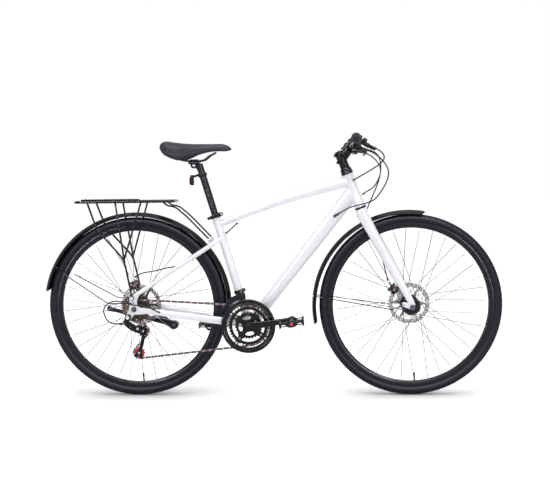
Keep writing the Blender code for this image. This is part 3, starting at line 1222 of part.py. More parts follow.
def build_derailleurs():
    guide = REAR_AXLE + GUIDE_PULLEY
    tension = REAR_AXLE + TENSION_PULLEY
    pivot = REAR_AXLE + CAGE_PIVOT
    y = ACTIVE_COG_Y
    inner_y = y + 0.0055
    outer_y = y - 0.0055
    plate_half = 0.0009
    tip = pitch_radius(PULLEY_TEETH) - TOOTH_BELOW_PITCH
    for name, center in (("guide_pulley", guide), ("tension_pulley", tension)):
        wheel = washer(name, center, tip, bore_radius(0.0040, 14), y - 0.0010, y + 0.0010, 14)
        set_origin(wheel, Vector((center.x, y, center.z)))
        finish(wheel, RED if name == "tension_pulley" else BLACK, 0.0, 0.4)
    cage = None
    parts = []
    for side_y in (inner_y, outer_y):
        piece = sweep("rd_cage", [Vector((guide.x, side_y, guide.z)) + Vector((0.004, 0, 0.011)),
                                  Vector((guide.x, side_y, guide.z)),
                                  Vector((tension.x, side_y, tension.z)),
                                  Vector((tension.x, side_y, tension.z)) - Vector((0.003, 0, 0.012))],
                      [(plate_half, 0.0060), (plate_half, 0.0085), (plate_half, 0.0075),
                       (plate_half, 0.0050)], 4, Y_AXIS, square=True)
        if cage is None:
            cage = piece
        else:
            parts.append(piece)
    for center in (guide, tension):
        parts.append(across("pulley_bolt", center, 0.0040, outer_y - 0.0015, inner_y + 0.0015, 10))
    parts.append(across("cage_boss", pivot, 0.0090, outer_y - 0.0034, outer_y + 0.0005, 12))
    parts.append(sweep("cage_ear", [Vector((pivot.x, outer_y - 0.0006, pivot.z)),
                                    Vector((guide.x, outer_y - 0.0006, guide.z))],
                       [(0.0011, 0.0080), (0.0011, 0.0080)], 4, Y_AXIS, square=True))
    fuse(cage, parts)
    set_origin(cage, Vector((pivot.x, outer_y, pivot.z)))
    finish(cage, BLACK, 0.5, 0.35)

    hanger = REAR_AXLE + HANGER_HOLE
    hang_y = -REAR_DROPOUT_OUT - FIT_GAP
    body_y = outer_y - 0.0034 - FIT_GAP
    body = across("rd_body", pivot, 0.0125, body_y - 0.0150, body_y, 14)
    parts = [across("hanger_knuckle", hanger, 0.0110, hang_y - 0.0120, hang_y, 14)]
    parts.append(sweep("link", [Vector((hanger.x, hang_y - 0.0070, hanger.z)),
                                Vector((hanger.x - 0.004, hang_y - 0.0080, hanger.z - 0.022)),
                                Vector((pivot.x - 0.006, body_y - 0.0090, pivot.z - 0.004)),
                                Vector((pivot.x, body_y - 0.0080, pivot.z))],
                       [(0.0048, 0.0095), (0.0050, 0.0125), (0.0052, 0.0120), (0.0050, 0.0100)],
                       8))
    fuse(body, parts)
    finish(body, BLACK, 0.4, 0.3)

    clamp_s = 0.1320
    sides = 14
    bore = bore_radius(SEAT_TUBE_RADIUS, sides)
    rim = bore + 0.0030
    clamp = lathe("fd_clamp", [(bore, -0.007), (rim, -0.007), (rim, 0.007), (bore, 0.007)],
                  seat(clamp_s), sides, SEAT_UP)
    block_height = 0.026
    block_low = clamp_s + 0.007 - block_height
    block = box("block", seat(block_low + block_height / 2.0, 0.006, -0.0250),
                (0.030, 0.0140, block_height), (SEAT_FORWARD, Y_AXIS, SEAT_UP))
    fuse(clamp, [block])
    cut(clamp, [cylinder("tube_space", seat(clamp_s - 0.05), seat(clamp_s + 0.05),
                         bore_radius(SEAT_TUBE_RADIUS, sides), sides)])
    finish(clamp, BLACK, 0.4, 0.3)

    low = GUARD_RADIUS + 0.0020
    high = low + 0.0190

    def arc_plate(name, y_from, y_to, first, last, r_low, r_high, steps):
        outline = []
        for step in range(steps + 1):
            spot = around(BB, r_low, first + (last - first) * step / steps)
            outline.append((spot.x, spot.z))
        for step in range(steps, -1, -1):
            spot = around(BB, r_high, first + (last - first) * step / steps)
            outline.append((spot.x, spot.z))
        return plate(name, outline, y_from, y_to)

    mid = CHAIN_LINE_Y
    cage = arc_plate("fd_cage", mid - 0.0070, mid - 0.0058, 97.0, 148.0, low, high, 7)
    parts = [arc_plate("inner_plate", mid + 0.0058, mid + 0.0070, 95.0, 146.0, low - 0.003,
                       high + 0.002, 7)]
    parts.append(arc_plate("top_bridge", mid - 0.0064, mid + 0.0064, 98.0, 106.0, high - 0.0022,
                           high - 0.0005, 2))
    parts.append(arc_plate("tail_bridge", mid - 0.0064, mid + 0.0064, 143.0, 145.5, low + 0.001,
                           low + 0.0045, 1))
    parts.append(box("mount", seat(block_low - FIT_GAP - 0.008, 0.004, mid + 0.0115),
                     (0.020, 0.0100, 0.016), (SEAT_FORWARD, Y_AXIS, SEAT_UP)))
    fuse(cage, parts)
    set_origin(cage, Vector((seat(clamp_s).x, mid, seat(clamp_s).z)))
    finish(cage, STEEL, 0.6, 0.35)


def build_kickstand():
    pivot = REAR_AXLE + KICK_PIVOT
    foot = REAR_AXLE + KICK_FOOT
    mount = REAR_AXLE + Vector((0.036, 0.0, -0.008))
    out_y = STAY_FOOT_Y + STAY_FOOT_HALF + FIT_GAP + 0.0042
    seat_y = out_y - 0.0018
    bracket = sweep("kickstand_bracket", [
        Vector((mount.x - 0.004, seat_y, mount.z)),
        Vector((mount.x + 0.012, seat_y, mount.z - 0.018)),
        Vector((pivot.x - 0.030, out_y, pivot.z + 0.018)),
        Vector((pivot.x, out_y, pivot.z))],
        [(0.0040, 0.0100), (0.0042, 0.0110), (0.0060, 0.0120), (0.0070, 0.0140)], 8)
    leg_y = out_y + 0.0070 + FIT_GAP
    parts = [across("eye", pivot, 0.0170, out_y - 0.0070, leg_y, 16)]
    fuse(bracket, parts)
    cut(bracket, [across("pin_bore", pivot, bore_radius(KICK_PIN_RADIUS, 10), 0.0, 0.2, 10)])
    finish(bracket, BLACK, 0.3, 0.4)
    head_y = leg_y + FIT_GAP
    leg = across("kickstand_leg", pivot, 0.0180, head_y, head_y + 0.0110, 16)
    run = foot - pivot
    run_y = KICK_LEG_Y
    toe = Vector((foot.x, run_y, foot.z))
    parts = [across("pin", pivot, KICK_PIN_RADIUS, out_y - 0.0100, head_y + 0.002, 12)]
    parts.append(sweep("tube", [
        Vector((pivot.x, head_y + 0.0055, pivot.z)),
        Vector((pivot.x + run.x * 0.10, head_y + 0.0060, pivot.z + run.z * 0.10)),
        Vector((pivot.x + run.x * 0.22, run_y, pivot.z + run.z * 0.22)),
        Vector((pivot.x + run.x * 0.90, run_y, pivot.z + run.z * 0.90)),
        toe], [(0.0052, 0.0150), (0.0055, 0.0140), (0.0070, 0.0100), (0.0065, 0.0075),
               (0.0110, 0.0100)], 10))
    fuse(leg, parts)
    set_origin(leg, Vector((pivot.x, head_y, pivot.z)))
    finish(leg, BLACK, 0.3, 0.4)


def cable(name, points, samples, lead=()):
    curve = bpy.data.curves.new(name, "CURVE")
    curve.dimensions = "3D"
    curve.bevel_depth = CABLE_RADIUS
    curve.bevel_resolution = 2
    curve.use_fill_caps = True
    spline = curve.splines.new("POLY")
    smooth = list(lead) + smooth_points(points, samples)
    spline.points.add(len(smooth) - 1)
    for target, point in zip(spline.points, smooth):
        target.co = (point.x, point.y, point.z, 1.0)
    holder = bpy.data.objects.new(name + "_curve", curve)
    bpy.context.scene.collection.objects.link(holder)
    graph = bpy.context.evaluated_depsgraph_get()
    mesh = bpy.data.meshes.new_from_object(holder.evaluated_get(graph))
    bpy.data.objects.remove(holder, do_unlink=True)
    obj = bpy.data.objects.new(name, mesh)
    bpy.context.scene.collection.objects.link(obj)
    for polygon in mesh.polygons:
        polygon.use_smooth = True
    return finish(obj, BLACK, 0.0, 0.4)


def smooth_points(points, samples):
    padded = [points[0] * 2.0 - points[1]] + points + [points[-1] * 2.0 - points[-2]]
    spans = len(points) - 1
    result = []
    for step in range(samples + 1):
        position = spans * step / samples
        index = min(int(position), spans - 1)
        t = position - index
        a, b, c, d = padded[index:index + 4]
        value = b * 2.0 + (c - a) * t + (a * 2.0 - b * 5.0 + c * 4.0 - d) * (t * t)
        value = value + (b * 3.0 - a - c * 3.0 + d) * (t * t * t)
        result.append(value * 0.5)
    return result


def build_cables(anchors):
    port = DOWN_PORT
    head = steer(HEAD_TOP)
    side_y = -HEAD_TUBE_RADIUS
    entry = steer(HEAD_TOP - 0.030, 0.004, side_y)
    brake_start, shift_start, inward = anchors["right"]
    cable("cable_brake_rear", [
        brake_start + inward * CABLE_LEAD,
        brake_start + Vector((0.040, 0.040, -0.008)),
        head + Vector((0.1428, -0.070, 0.0625)),
        head + Vector((0.1228, -0.048, 0.0355)),
        entry + Vector((0.050, -0.010, 0.028)),
        entry + Vector((0.004, -0.0040, 0.002))], 16, [brake_start])
    cable("cable_shift_rear", [
        shift_start + inward * CABLE_LEAD,
        shift_start + Vector((0.062, 0.040, -0.020)),
        head + Vector((0.1558, -0.060, 0.0055)),
        head + Vector((0.1138, -0.046, -0.0805)),
        head + Vector((0.0768, -0.040, -0.1085)),
        Vector((port.x + 0.058, -0.034, port.z + 0.034)),
        Vector((port.x, -0.0270, port.z))], 18, [shift_start])
    brake_start, shift_start, inward = anchors["left"]
    nose = steer(AXLE_TO_HEAD_TUBE + 0.040, HEAD_TUBE_RADIUS + CABLE_RADIUS + 0.0010)
    cable("cable_shift_front", [
        shift_start + inward * CABLE_LEAD,
        shift_start + Vector((0.058, -0.040, -0.020)),
        head + Vector((0.1328, 0.050, 0.0175)),
        head + Vector((0.1048, 0.022, -0.0465)),
        nose + Vector((0.016, 0.006, 0.012)),
        nose], 16, [shift_start])
    cable("cable_brake_front", [
        brake_start + inward * CABLE_LEAD,
        brake_start + Vector((0.058, -0.050, -0.026)),
        head + Vector((0.1308, 0.060, -0.0025)),
        head + Vector((0.0968, 0.0625, -0.0925)),
        head + Vector((0.0718, 0.0625, -0.1725)),
        FRONT_AXLE + Vector((-0.110, 0.0655, 0.201)),
        FRONT_AXLE + Vector((-0.090, 0.0630, 0.131)),
        caliper_pull("front") + Vector((-0.005, 0.0, 0.007))], 18, [brake_start])
    out_y = -REAR_DROPOUT_OUT - 0.0052 - CABLE_RADIUS - 0.0020
    hanger = REAR_AXLE + HANGER_HOLE
    rear_out = caliper_axes("rear")[1]
    cable("cable_rear_shift_loop", [
        REAR_AXLE + Vector((0.100, -0.0724, -0.013)),
        REAR_AXLE + Vector((0.050, -0.0815, 0.012)),
        REAR_AXLE + Vector((-0.005, out_y - 0.0040, 0.020)),
        REAR_AXLE + Vector((-0.070, out_y - 0.004, 0.036)),
        REAR_AXLE + Vector((-0.114, out_y - 0.002, 0.006)),
        REAR_AXLE + Vector((-0.098, out_y + 0.003, -0.046)),
        hanger + Vector((-0.030, 0.0, -0.026)) + Y_AXIS * (out_y + 0.004)], 16)
    cable("cable_rear_brake_end", [
        REAR_AXLE + Vector((0.212, 0.0580, 0.176)),
        REAR_AXLE + Vector((0.150, 0.0650, 0.152)),
        REAR_AXLE + Vector((0.100, 0.0650, 0.142)),
        REAR_AXLE + Vector((0.050, 0.0655, 0.131)),
        REAR_AXLE + Vector((0.004, 0.0670, 0.123)),
        caliper_pull("rear") + rear_out * (CABLE_RADIUS + FIT_GAP)], 10)


def center_lengthwise():
    lean = math.cos(math.radians(REAR_FENDER_END))
    tail = REAR_AXLE.x + (FENDER_OUTER + FENDER_CROWN) * lean
    middle = (tail + FRONT_AXLE.x + TYRE_RADIUS) / 2.0
    for obj in bpy.data.objects:
        obj.location.x -= middle


def main():
    clear_scene()
    build_frame()
    build_headset()
    build_fork()
    build_wheel("front", FRONT_AXLE, FRONT_HUB_HALF, FRONT_FLANGE_Y, FRONT_FLANGE_Y,
                FRONT_FLANGE_RADIUS, FRONT_ROTOR_Y)
    build_wheel("rear", REAR_AXLE, REAR_HUB_HALF, REAR_FLANGE_Y, REAR_LEFT_FLANGE_Y,
                REAR_FLANGE_RADIUS, REAR_ROTOR_Y)
    build_fenders()
    build_rack()
    build_seat()
    anchors = build_cockpit()
    build_calipers()
    build_crank()
    build_cassette()
    build_chain()
    build_derailleurs()
    build_kickstand()
    build_cables(anchors)
    center_lengthwise()


main()
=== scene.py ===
import json
import math

import bmesh
import bpy
from mathutils import Matrix, Vector

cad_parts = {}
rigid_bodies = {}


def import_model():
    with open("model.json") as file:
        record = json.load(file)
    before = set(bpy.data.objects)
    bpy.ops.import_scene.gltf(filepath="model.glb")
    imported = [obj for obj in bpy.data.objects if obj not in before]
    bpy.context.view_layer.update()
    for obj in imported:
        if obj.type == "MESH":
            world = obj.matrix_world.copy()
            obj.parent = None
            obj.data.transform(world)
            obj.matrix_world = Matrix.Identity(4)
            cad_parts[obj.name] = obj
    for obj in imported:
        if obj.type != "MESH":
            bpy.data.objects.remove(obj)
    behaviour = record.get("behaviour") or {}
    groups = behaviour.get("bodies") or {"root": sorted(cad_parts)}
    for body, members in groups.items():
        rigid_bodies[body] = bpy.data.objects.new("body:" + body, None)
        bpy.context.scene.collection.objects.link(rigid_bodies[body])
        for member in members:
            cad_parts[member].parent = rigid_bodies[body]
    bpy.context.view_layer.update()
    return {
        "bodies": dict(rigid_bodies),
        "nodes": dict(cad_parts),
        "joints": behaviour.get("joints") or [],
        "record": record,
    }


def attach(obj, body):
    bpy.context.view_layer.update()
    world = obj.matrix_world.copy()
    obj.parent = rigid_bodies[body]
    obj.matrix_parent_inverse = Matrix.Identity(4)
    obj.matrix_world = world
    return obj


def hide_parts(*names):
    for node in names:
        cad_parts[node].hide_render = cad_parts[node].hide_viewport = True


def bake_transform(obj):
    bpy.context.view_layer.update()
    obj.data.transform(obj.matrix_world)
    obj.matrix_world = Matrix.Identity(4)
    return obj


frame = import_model()

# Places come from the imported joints. The other sizes repeat the CAD source, in metres and degrees.
JOINT = {joint["name"]: joint for joint in frame["joints"]}


def vec(x, y, z):
    return Vector((x, y, z))


def with_y(point, y):
    return Vector((point.x, y, point.z))


def joint_at(name):
    return Vector(JOINT[name]["pos_m"])


REAR = joint_at("rear_wheel_spin")
FRONT = joint_at("front_wheel_spin")
BB = joint_at("crank_spin")
GUIDE = joint_at("guide_spin")
TENSION = joint_at("tension_spin")
PEDAL = {"right": joint_at("pedal_right_spin"), "left": joint_at("pedal_left_spin")}
HEAD_LOW = joint_at("steering")
STEER_UP = Vector(JOINT["steering"]["axis"]).normalized()
SEAT_UP = Vector(JOINT["seat_height"]["axis"]).normalized()
STEER_FORWARD = vec(STEER_UP.z, 0.0, -STEER_UP.x)
SEAT_FORWARD = vec(SEAT_UP.z, 0.0, -SEAT_UP.x)
X_AXIS = vec(1.0, 0.0, 0.0)
Y_AXIS = vec(0.0, 1.0, 0.0)
Z_AXIS = vec(0.0, 0.0, 1.0)

SIDES = (-1.0, 1.0)
GAP = 0.0003
TYRE_RADIUS = FRONT.z
TYRE_HEIGHT = 0.034
TYRE_WIDTH = 0.038
RIM_RADIUS = TYRE_RADIUS - TYRE_HEIGHT
RIM_WIDTH = 0.024
RIM_DEPTH = 0.018
SPOKES_PER_SIDE = 18
SPOKE_CROSS = 60.0
SPOKE_START = 3.0
SPOKE_INSET = 0.0045
ROTOR_RADIUS = 0.08
ROTOR_Y = {"front": 0.04, "rear": 0.052}
ROTOR_BOLT_CIRCLE = 0.0245
FENDER_RADIUS = TYRE_RADIUS + 0.0035
FENDER_HALF = 0.025
FENDER_CROWN = 0.014
HEAD_TUBE_LENGTH = 0.1335
HEAD_TUBE_RADIUS = 0.0215
SEAT_TUBE_LENGTH = 0.444
SEAT_TUBE_RADIUS = 0.0165
SEAT_POST_RADIUS = 0.0136
SEAT_POST_EXPOSED = 0.2032
SEAT_HEAD_BACK = -0.0195
CHAIN_LINE = -0.0465
RING_SPACING = 0.007
RING_TEETH = (48, 38)
# The innermost ring of the CAD source has 28 teeth.
RING_INNER_TEETH = 26
GEAR_PLATE = 0.0018
COG_TEETH = (28, 24, 21, 19, 17, 15, 13)
COG_FIRST_Y = -0.0285
COG_PITCH_Y = 0.0045
CHAIN_PITCH = 0.0127
PULLEY_TEETH = 11
CRANK_LENGTH = 0.17
CRANK_ANGLE = 9.5
GUARD_RADIUS = 0.104
DROPOUT_OUT = 0.0733
STAY_FOOT_Y = 0.0705
STAY_FOOT_HALF = 0.0065
STEM_COLUMN = 0.09
BAR_REACH = 0.053
BAR_HALF_WIDTH = 0.308
GRIP_RADIUS = 0.0111
GRIP_LENGTH = 0.125
FORK_OUT = 0.0495 + GAP + 0.009
CABLE_RADIUS = 0.0024


def steer(height, forward=0.0, side=0.0):
    return HEAD_LOW + STEER_UP * height + STEER_FORWARD * forward + Y_AXIS * side


def seat(height, forward=0.0, side=0.0):
    return BB + SEAT_UP * height + SEAT_FORWARD * forward + Y_AXIS * side


def around(center, radius, degrees, side=0.0):
    angle = math.radians(degrees)
    return vec(center.x + radius * math.cos(angle), side, center.z + radius * math.sin(angle))


def pitch_radius(teeth):
    return CHAIN_PITCH / (2.0 * math.sin(math.pi / teeth))


def polar(radius, degrees):
    angle = math.radians(degrees)
    return (radius * math.cos(angle), radius * math.sin(angle))


# Materials


class Look:
    """A Principled material whose colour, roughness and relief vary over the surface."""

    def __init__(self, name):
        self.material = bpy.data.materials.new(name)
        self.material.use_nodes = True
        self.tree = self.material.node_tree
        self.shader = self.tree.nodes["Principled BSDF"]
        self.place = self.add("ShaderNodeTexCoord").outputs["Object"]

    def add(self, kind, **values):
        node = self.tree.nodes.new(kind)
        for key, value in values.items():
            setattr(node, key, value)
        return node

    def link(self, source, target):
        self.tree.links.new(source, target)

    def noise(self, scale, detail=3.0, stretch=None, roughness=0.55):
        node = self.add("ShaderNodeTexNoise")
        node.inputs["Scale"].default_value = scale
        node.inputs["Detail"].default_value = detail
        node.inputs["Roughness"].default_value = roughness
        source = self.place
        if stretch:
            mapping = self.add("ShaderNodeMapping")
            mapping.inputs["Scale"].default_value = stretch
            self.link(source, mapping.inputs["Vector"])
            source = mapping.outputs["Vector"]
        self.link(source, node.inputs["Vector"])
        return node.outputs["Fac"]

    def cells(self, scale, feature="F1"):
        node = self.add("ShaderNodeTexVoronoi", feature=feature)
        node.inputs["Scale"].default_value = scale
        self.link(self.place, node.inputs["Vector"])
        return node.outputs["Distance"]

    def fit(self, source, low, high, start=0.3, end=0.7):
        node = self.add("ShaderNodeMapRange")
        node.inputs["From Min"].default_value = start
        node.inputs["From Max"].default_value = end
        node.inputs["To Min"].default_value = low
        node.inputs["To Max"].default_value = high
        self.link(source, node.inputs["Value"])
        return node.outputs["Result"]

    def color(self, first, second, source):
        ramp = self.add("ShaderNodeValToRGB")
        ramp.color_ramp.elements[0].position = 0.3
        ramp.color_ramp.elements[0].color = (*first, 1.0)
        ramp.color_ramp.elements[1].position = 0.7
        ramp.color_ramp.elements[1].color = (*second, 1.0)
        self.link(source, ramp.inputs["Fac"])
        self.link(ramp.outputs["Color"], self.shader.inputs["Base Color"])

    def relief(self, source, strength, distance):
        bump = self.add("ShaderNodeBump")
        bump.inputs["Strength"].default_value = strength
        bump.inputs["Distance"].default_value = distance
        self.link(source, bump.inputs["Height"])
        self.link(bump.outputs["Normal"], self.shader.inputs["Normal"])

    def set(self, **values):
        for key, value in values.items():
            self.shader.inputs[key.replace("_", " ")].default_value = value


def shade(value, factor):
    return tuple(min(1.0, channel * factor) for channel in value)


def finish_look(name, base, metallic=0.0, rough=(0.3, 0.4), vary=0.12, scale=40.0, bump=0.0,
                grain=900.0, stretch=None, coat=0.0, **more):
    look = Look(name)
    broad = look.noise(scale, 4.0, stretch)
    look.color(shade(base, 1.0 - vary), shade(base, 1.0 + vary), broad)
    fine = look.noise(grain, 2.0, stretch)
    look.link(look.fit(fine, rough[0], rough[1]), look.shader.inputs["Roughness"])
    if bump > 0.0:
        look.relief(fine, bump, 0.0004)
    look.set(Metallic=metallic, Coat_Weight=coat, **more)
    return look.material


def build_looks():
    return {"paint": finish_look("white_paint", (0.86, 0.865, 0.89), 0.0, (0.22, 0.3), 0.012, 30.0,
                                 0.03, 700.0, coat=0.8, Coat_Roughness=0.06),
            "gloss_black": finish_look("gloss_black", (0.005, 0.005, 0.007), 0.0, (0.1, 0.18), 0.25,
                                       25.0, 0.03, 600.0, Specular_IOR_Level=0.16),
            "anodised": finish_look("anodised_black", (0.01, 0.01, 0.014), 0.3, (0.16, 0.26), 0.2,
                                    60.0, 0.02, 1600.0, Specular_IOR_Level=0.2),
            "satin_black": finish_look("satin_black", (0.008, 0.008, 0.011), 0.0, (0.28, 0.42),
                                       0.25, 50.0, 0.06, 1100.0, Specular_IOR_Level=0.12),
            "rubber": finish_look("grip_rubber", (0.022, 0.024, 0.036), 0.0, (0.58, 0.74), 0.2,
                                  80.0, 0.25, 1500.0, Specular_IOR_Level=0.17),
            "tyre": finish_look("tyre_rubber", (0.009, 0.01, 0.016), 0.0, (0.34, 0.5), 0.3, 55.0,
                                0.22, 900.0, Specular_IOR_Level=0.12),
            "steel": finish_look("bright_steel", (0.36, 0.365, 0.39), 1.0, (0.2, 0.34), 0.14, 90.0,
                                 0.05, 1400.0, (1.0, 6.0, 1.0)),
            "alloy": finish_look("silver_alloy", (0.52, 0.53, 0.56), 1.0, (0.26, 0.36), 0.1, 70.0,
                                 0.04, 1500.0),
            "rotor": finish_look("rotor_steel", (0.24, 0.225, 0.23), 1.0, (0.22, 0.36), 0.2, 90.0,
                                 0.05, 1400.0),
            "nut": finish_look("dark_nut", (0.075, 0.075, 0.1), 0.9, (0.24, 0.36), 0.2, 90.0, 0.05,
                               1400.0),
            "spoke": finish_look("spoke_steel", (0.095, 0.09, 0.095), 1.0, (0.22, 0.34), 0.15,
                                 60.0),
            "bronze": finish_look("bronze_cogs", (0.055, 0.042, 0.032), 0.95, (0.26, 0.42), 0.55,
                                  120.0, 0.08, 1300.0, (1.0, 5.0, 1.0)),
            "chain": finish_look("chain_steel", (0.085, 0.062, 0.065), 0.95, (0.26, 0.44), 0.35,
                                 160.0, 0.08, 1500.0),
            "link": finish_look("link_steel", (0.3, 0.25, 0.25), 0.95, (0.24, 0.4), 0.25, 160.0,
                                0.08, 1500.0),
            "plastic": finish_look("black_plastic", (0.009, 0.009, 0.012), 0.0, (0.34, 0.48), 0.22,
                                   70.0, 0.12, 1800.0, Specular_IOR_Level=0.12),
            "cable": finish_look("cable_cover", (0.007, 0.007, 0.009), 0.0, (0.28, 0.38), 0.2, 90.0,
                                 0.05, 1500.0, Specular_IOR_Level=0.15),
            "red": finish_look("red_plastic", (0.62, 0.018, 0.02), 0.0, (0.24, 0.34), 0.12, 90.0,
                               0.04, 1200.0),
            "lens": finish_look("red_lens", (0.45, 0.008, 0.012), 0.0, (0.08, 0.16), 0.1, 200.0,
                                0.1, 900.0, coat=1.0, Coat_Roughness=0.03),
            "amber": finish_look("amber_reflector", (0.85, 0.22, 0.02), 0.0, (0.1, 0.2), 0.12,
                                 260.0, 0.15, 1000.0, coat=1.0, Coat_Roughness=0.04),
            "cover": saddle_look()}


def saddle_look():
    look = Look("saddle_cover")
    broad = look.noise(22.0, 4.0)
    look.color((0.018, 0.018, 0.028), (0.03, 0.03, 0.043), broad)
    pebble = look.cells(620.0)
    look.link(look.fit(look.noise(300.0), 0.5, 0.64), look.shader.inputs["Roughness"])
    look.relief(pebble, 0.25, 0.0006)
    look.set(Specular_IOR_Level=0.18)
    return look.material


LOOKS = build_looks()


# Mesh helpers


def smooth_points(points, count, closed=False):
    size = len(points)
    if closed:
        padded = [points[-1]] + list(points) + [points[0], points[1]]
        spans = size
    else:
        padded = [points[0] * 2.0 - points[1]] + list(points) + [points[-1] * 2.0 - points[-2]]
        spans = size - 1
    result = []
    for step in range(count if closed else count + 1):
        position = spans * step / count
        index = min(int(position), spans - 1)
        t = position - index
        a, b, c, d = padded[index:index + 4]
        value = b * 2.0 + (c - a) * t + (a * 2.0 - b * 5.0 + c * 4.0 - d) * (t * t)
        value = value + (b * 3.0 - a - c * 3.0 + d) * (t * t * t)
        result.append(value * 0.5)
    return result


def full_turn(count):
    return [2.0 * math.pi * step / count for step in range(count)]


def straight(start, end, steps):
    return [start.lerp(end, step / steps) for step in range(steps + 1)]


def table_radii(wide, high, steps):
    return [(table_at(wide, k / steps), table_at(high, k / steps)) for k in range(steps + 1)]


def band(inner, outer, half, ease, drop):
    """The section of a ring or disc with its outer edges eased."""
    return [(inner, -half), (outer - ease, -half), (outer, drop - half), (outer, half - drop),
            (outer - ease, half), (inner, half)]


def rounded_path(points, radius, steps=6, closed=False):
    """The same corners, each turned with an arc-like curve that starts radius before it."""
    size = len(points)
    result = []
    for index, point in enumerate(points):
        if not closed and index in (0, size - 1):
            result.append(point)
            continue
        before = points[index - 1]
        after = points[(index + 1) % size]
        reach = min(radius, (before - point).length * 0.48, (after - point).length * 0.48)
        start = point + (before - point).normalized() * reach
        end = point + (after - point).normalized() * reach
        for step in range(steps + 1):
            t = step / steps
            result.append(start * (1 - t) ** 2 + point * (2 * t * (1 - t)) + end * t ** 2)
    return result


def spread(values, count):
    """Values given at the path's points, read off at count + 1 even steps."""
    result = []
    for step in range(count + 1):
        position = (len(values) - 1) * step / count
        index = min(int(position), len(values) - 2)
        t = position - index
        t = t * t * (3.0 - 2.0 * t)
        first, second = values[index], values[index + 1]
        if isinstance(first, tuple):
            result.append(tuple(a + (b - a) * t for a, b in zip(first, second)))
        else:
            result.append(first + (second - first) * t)
    return result


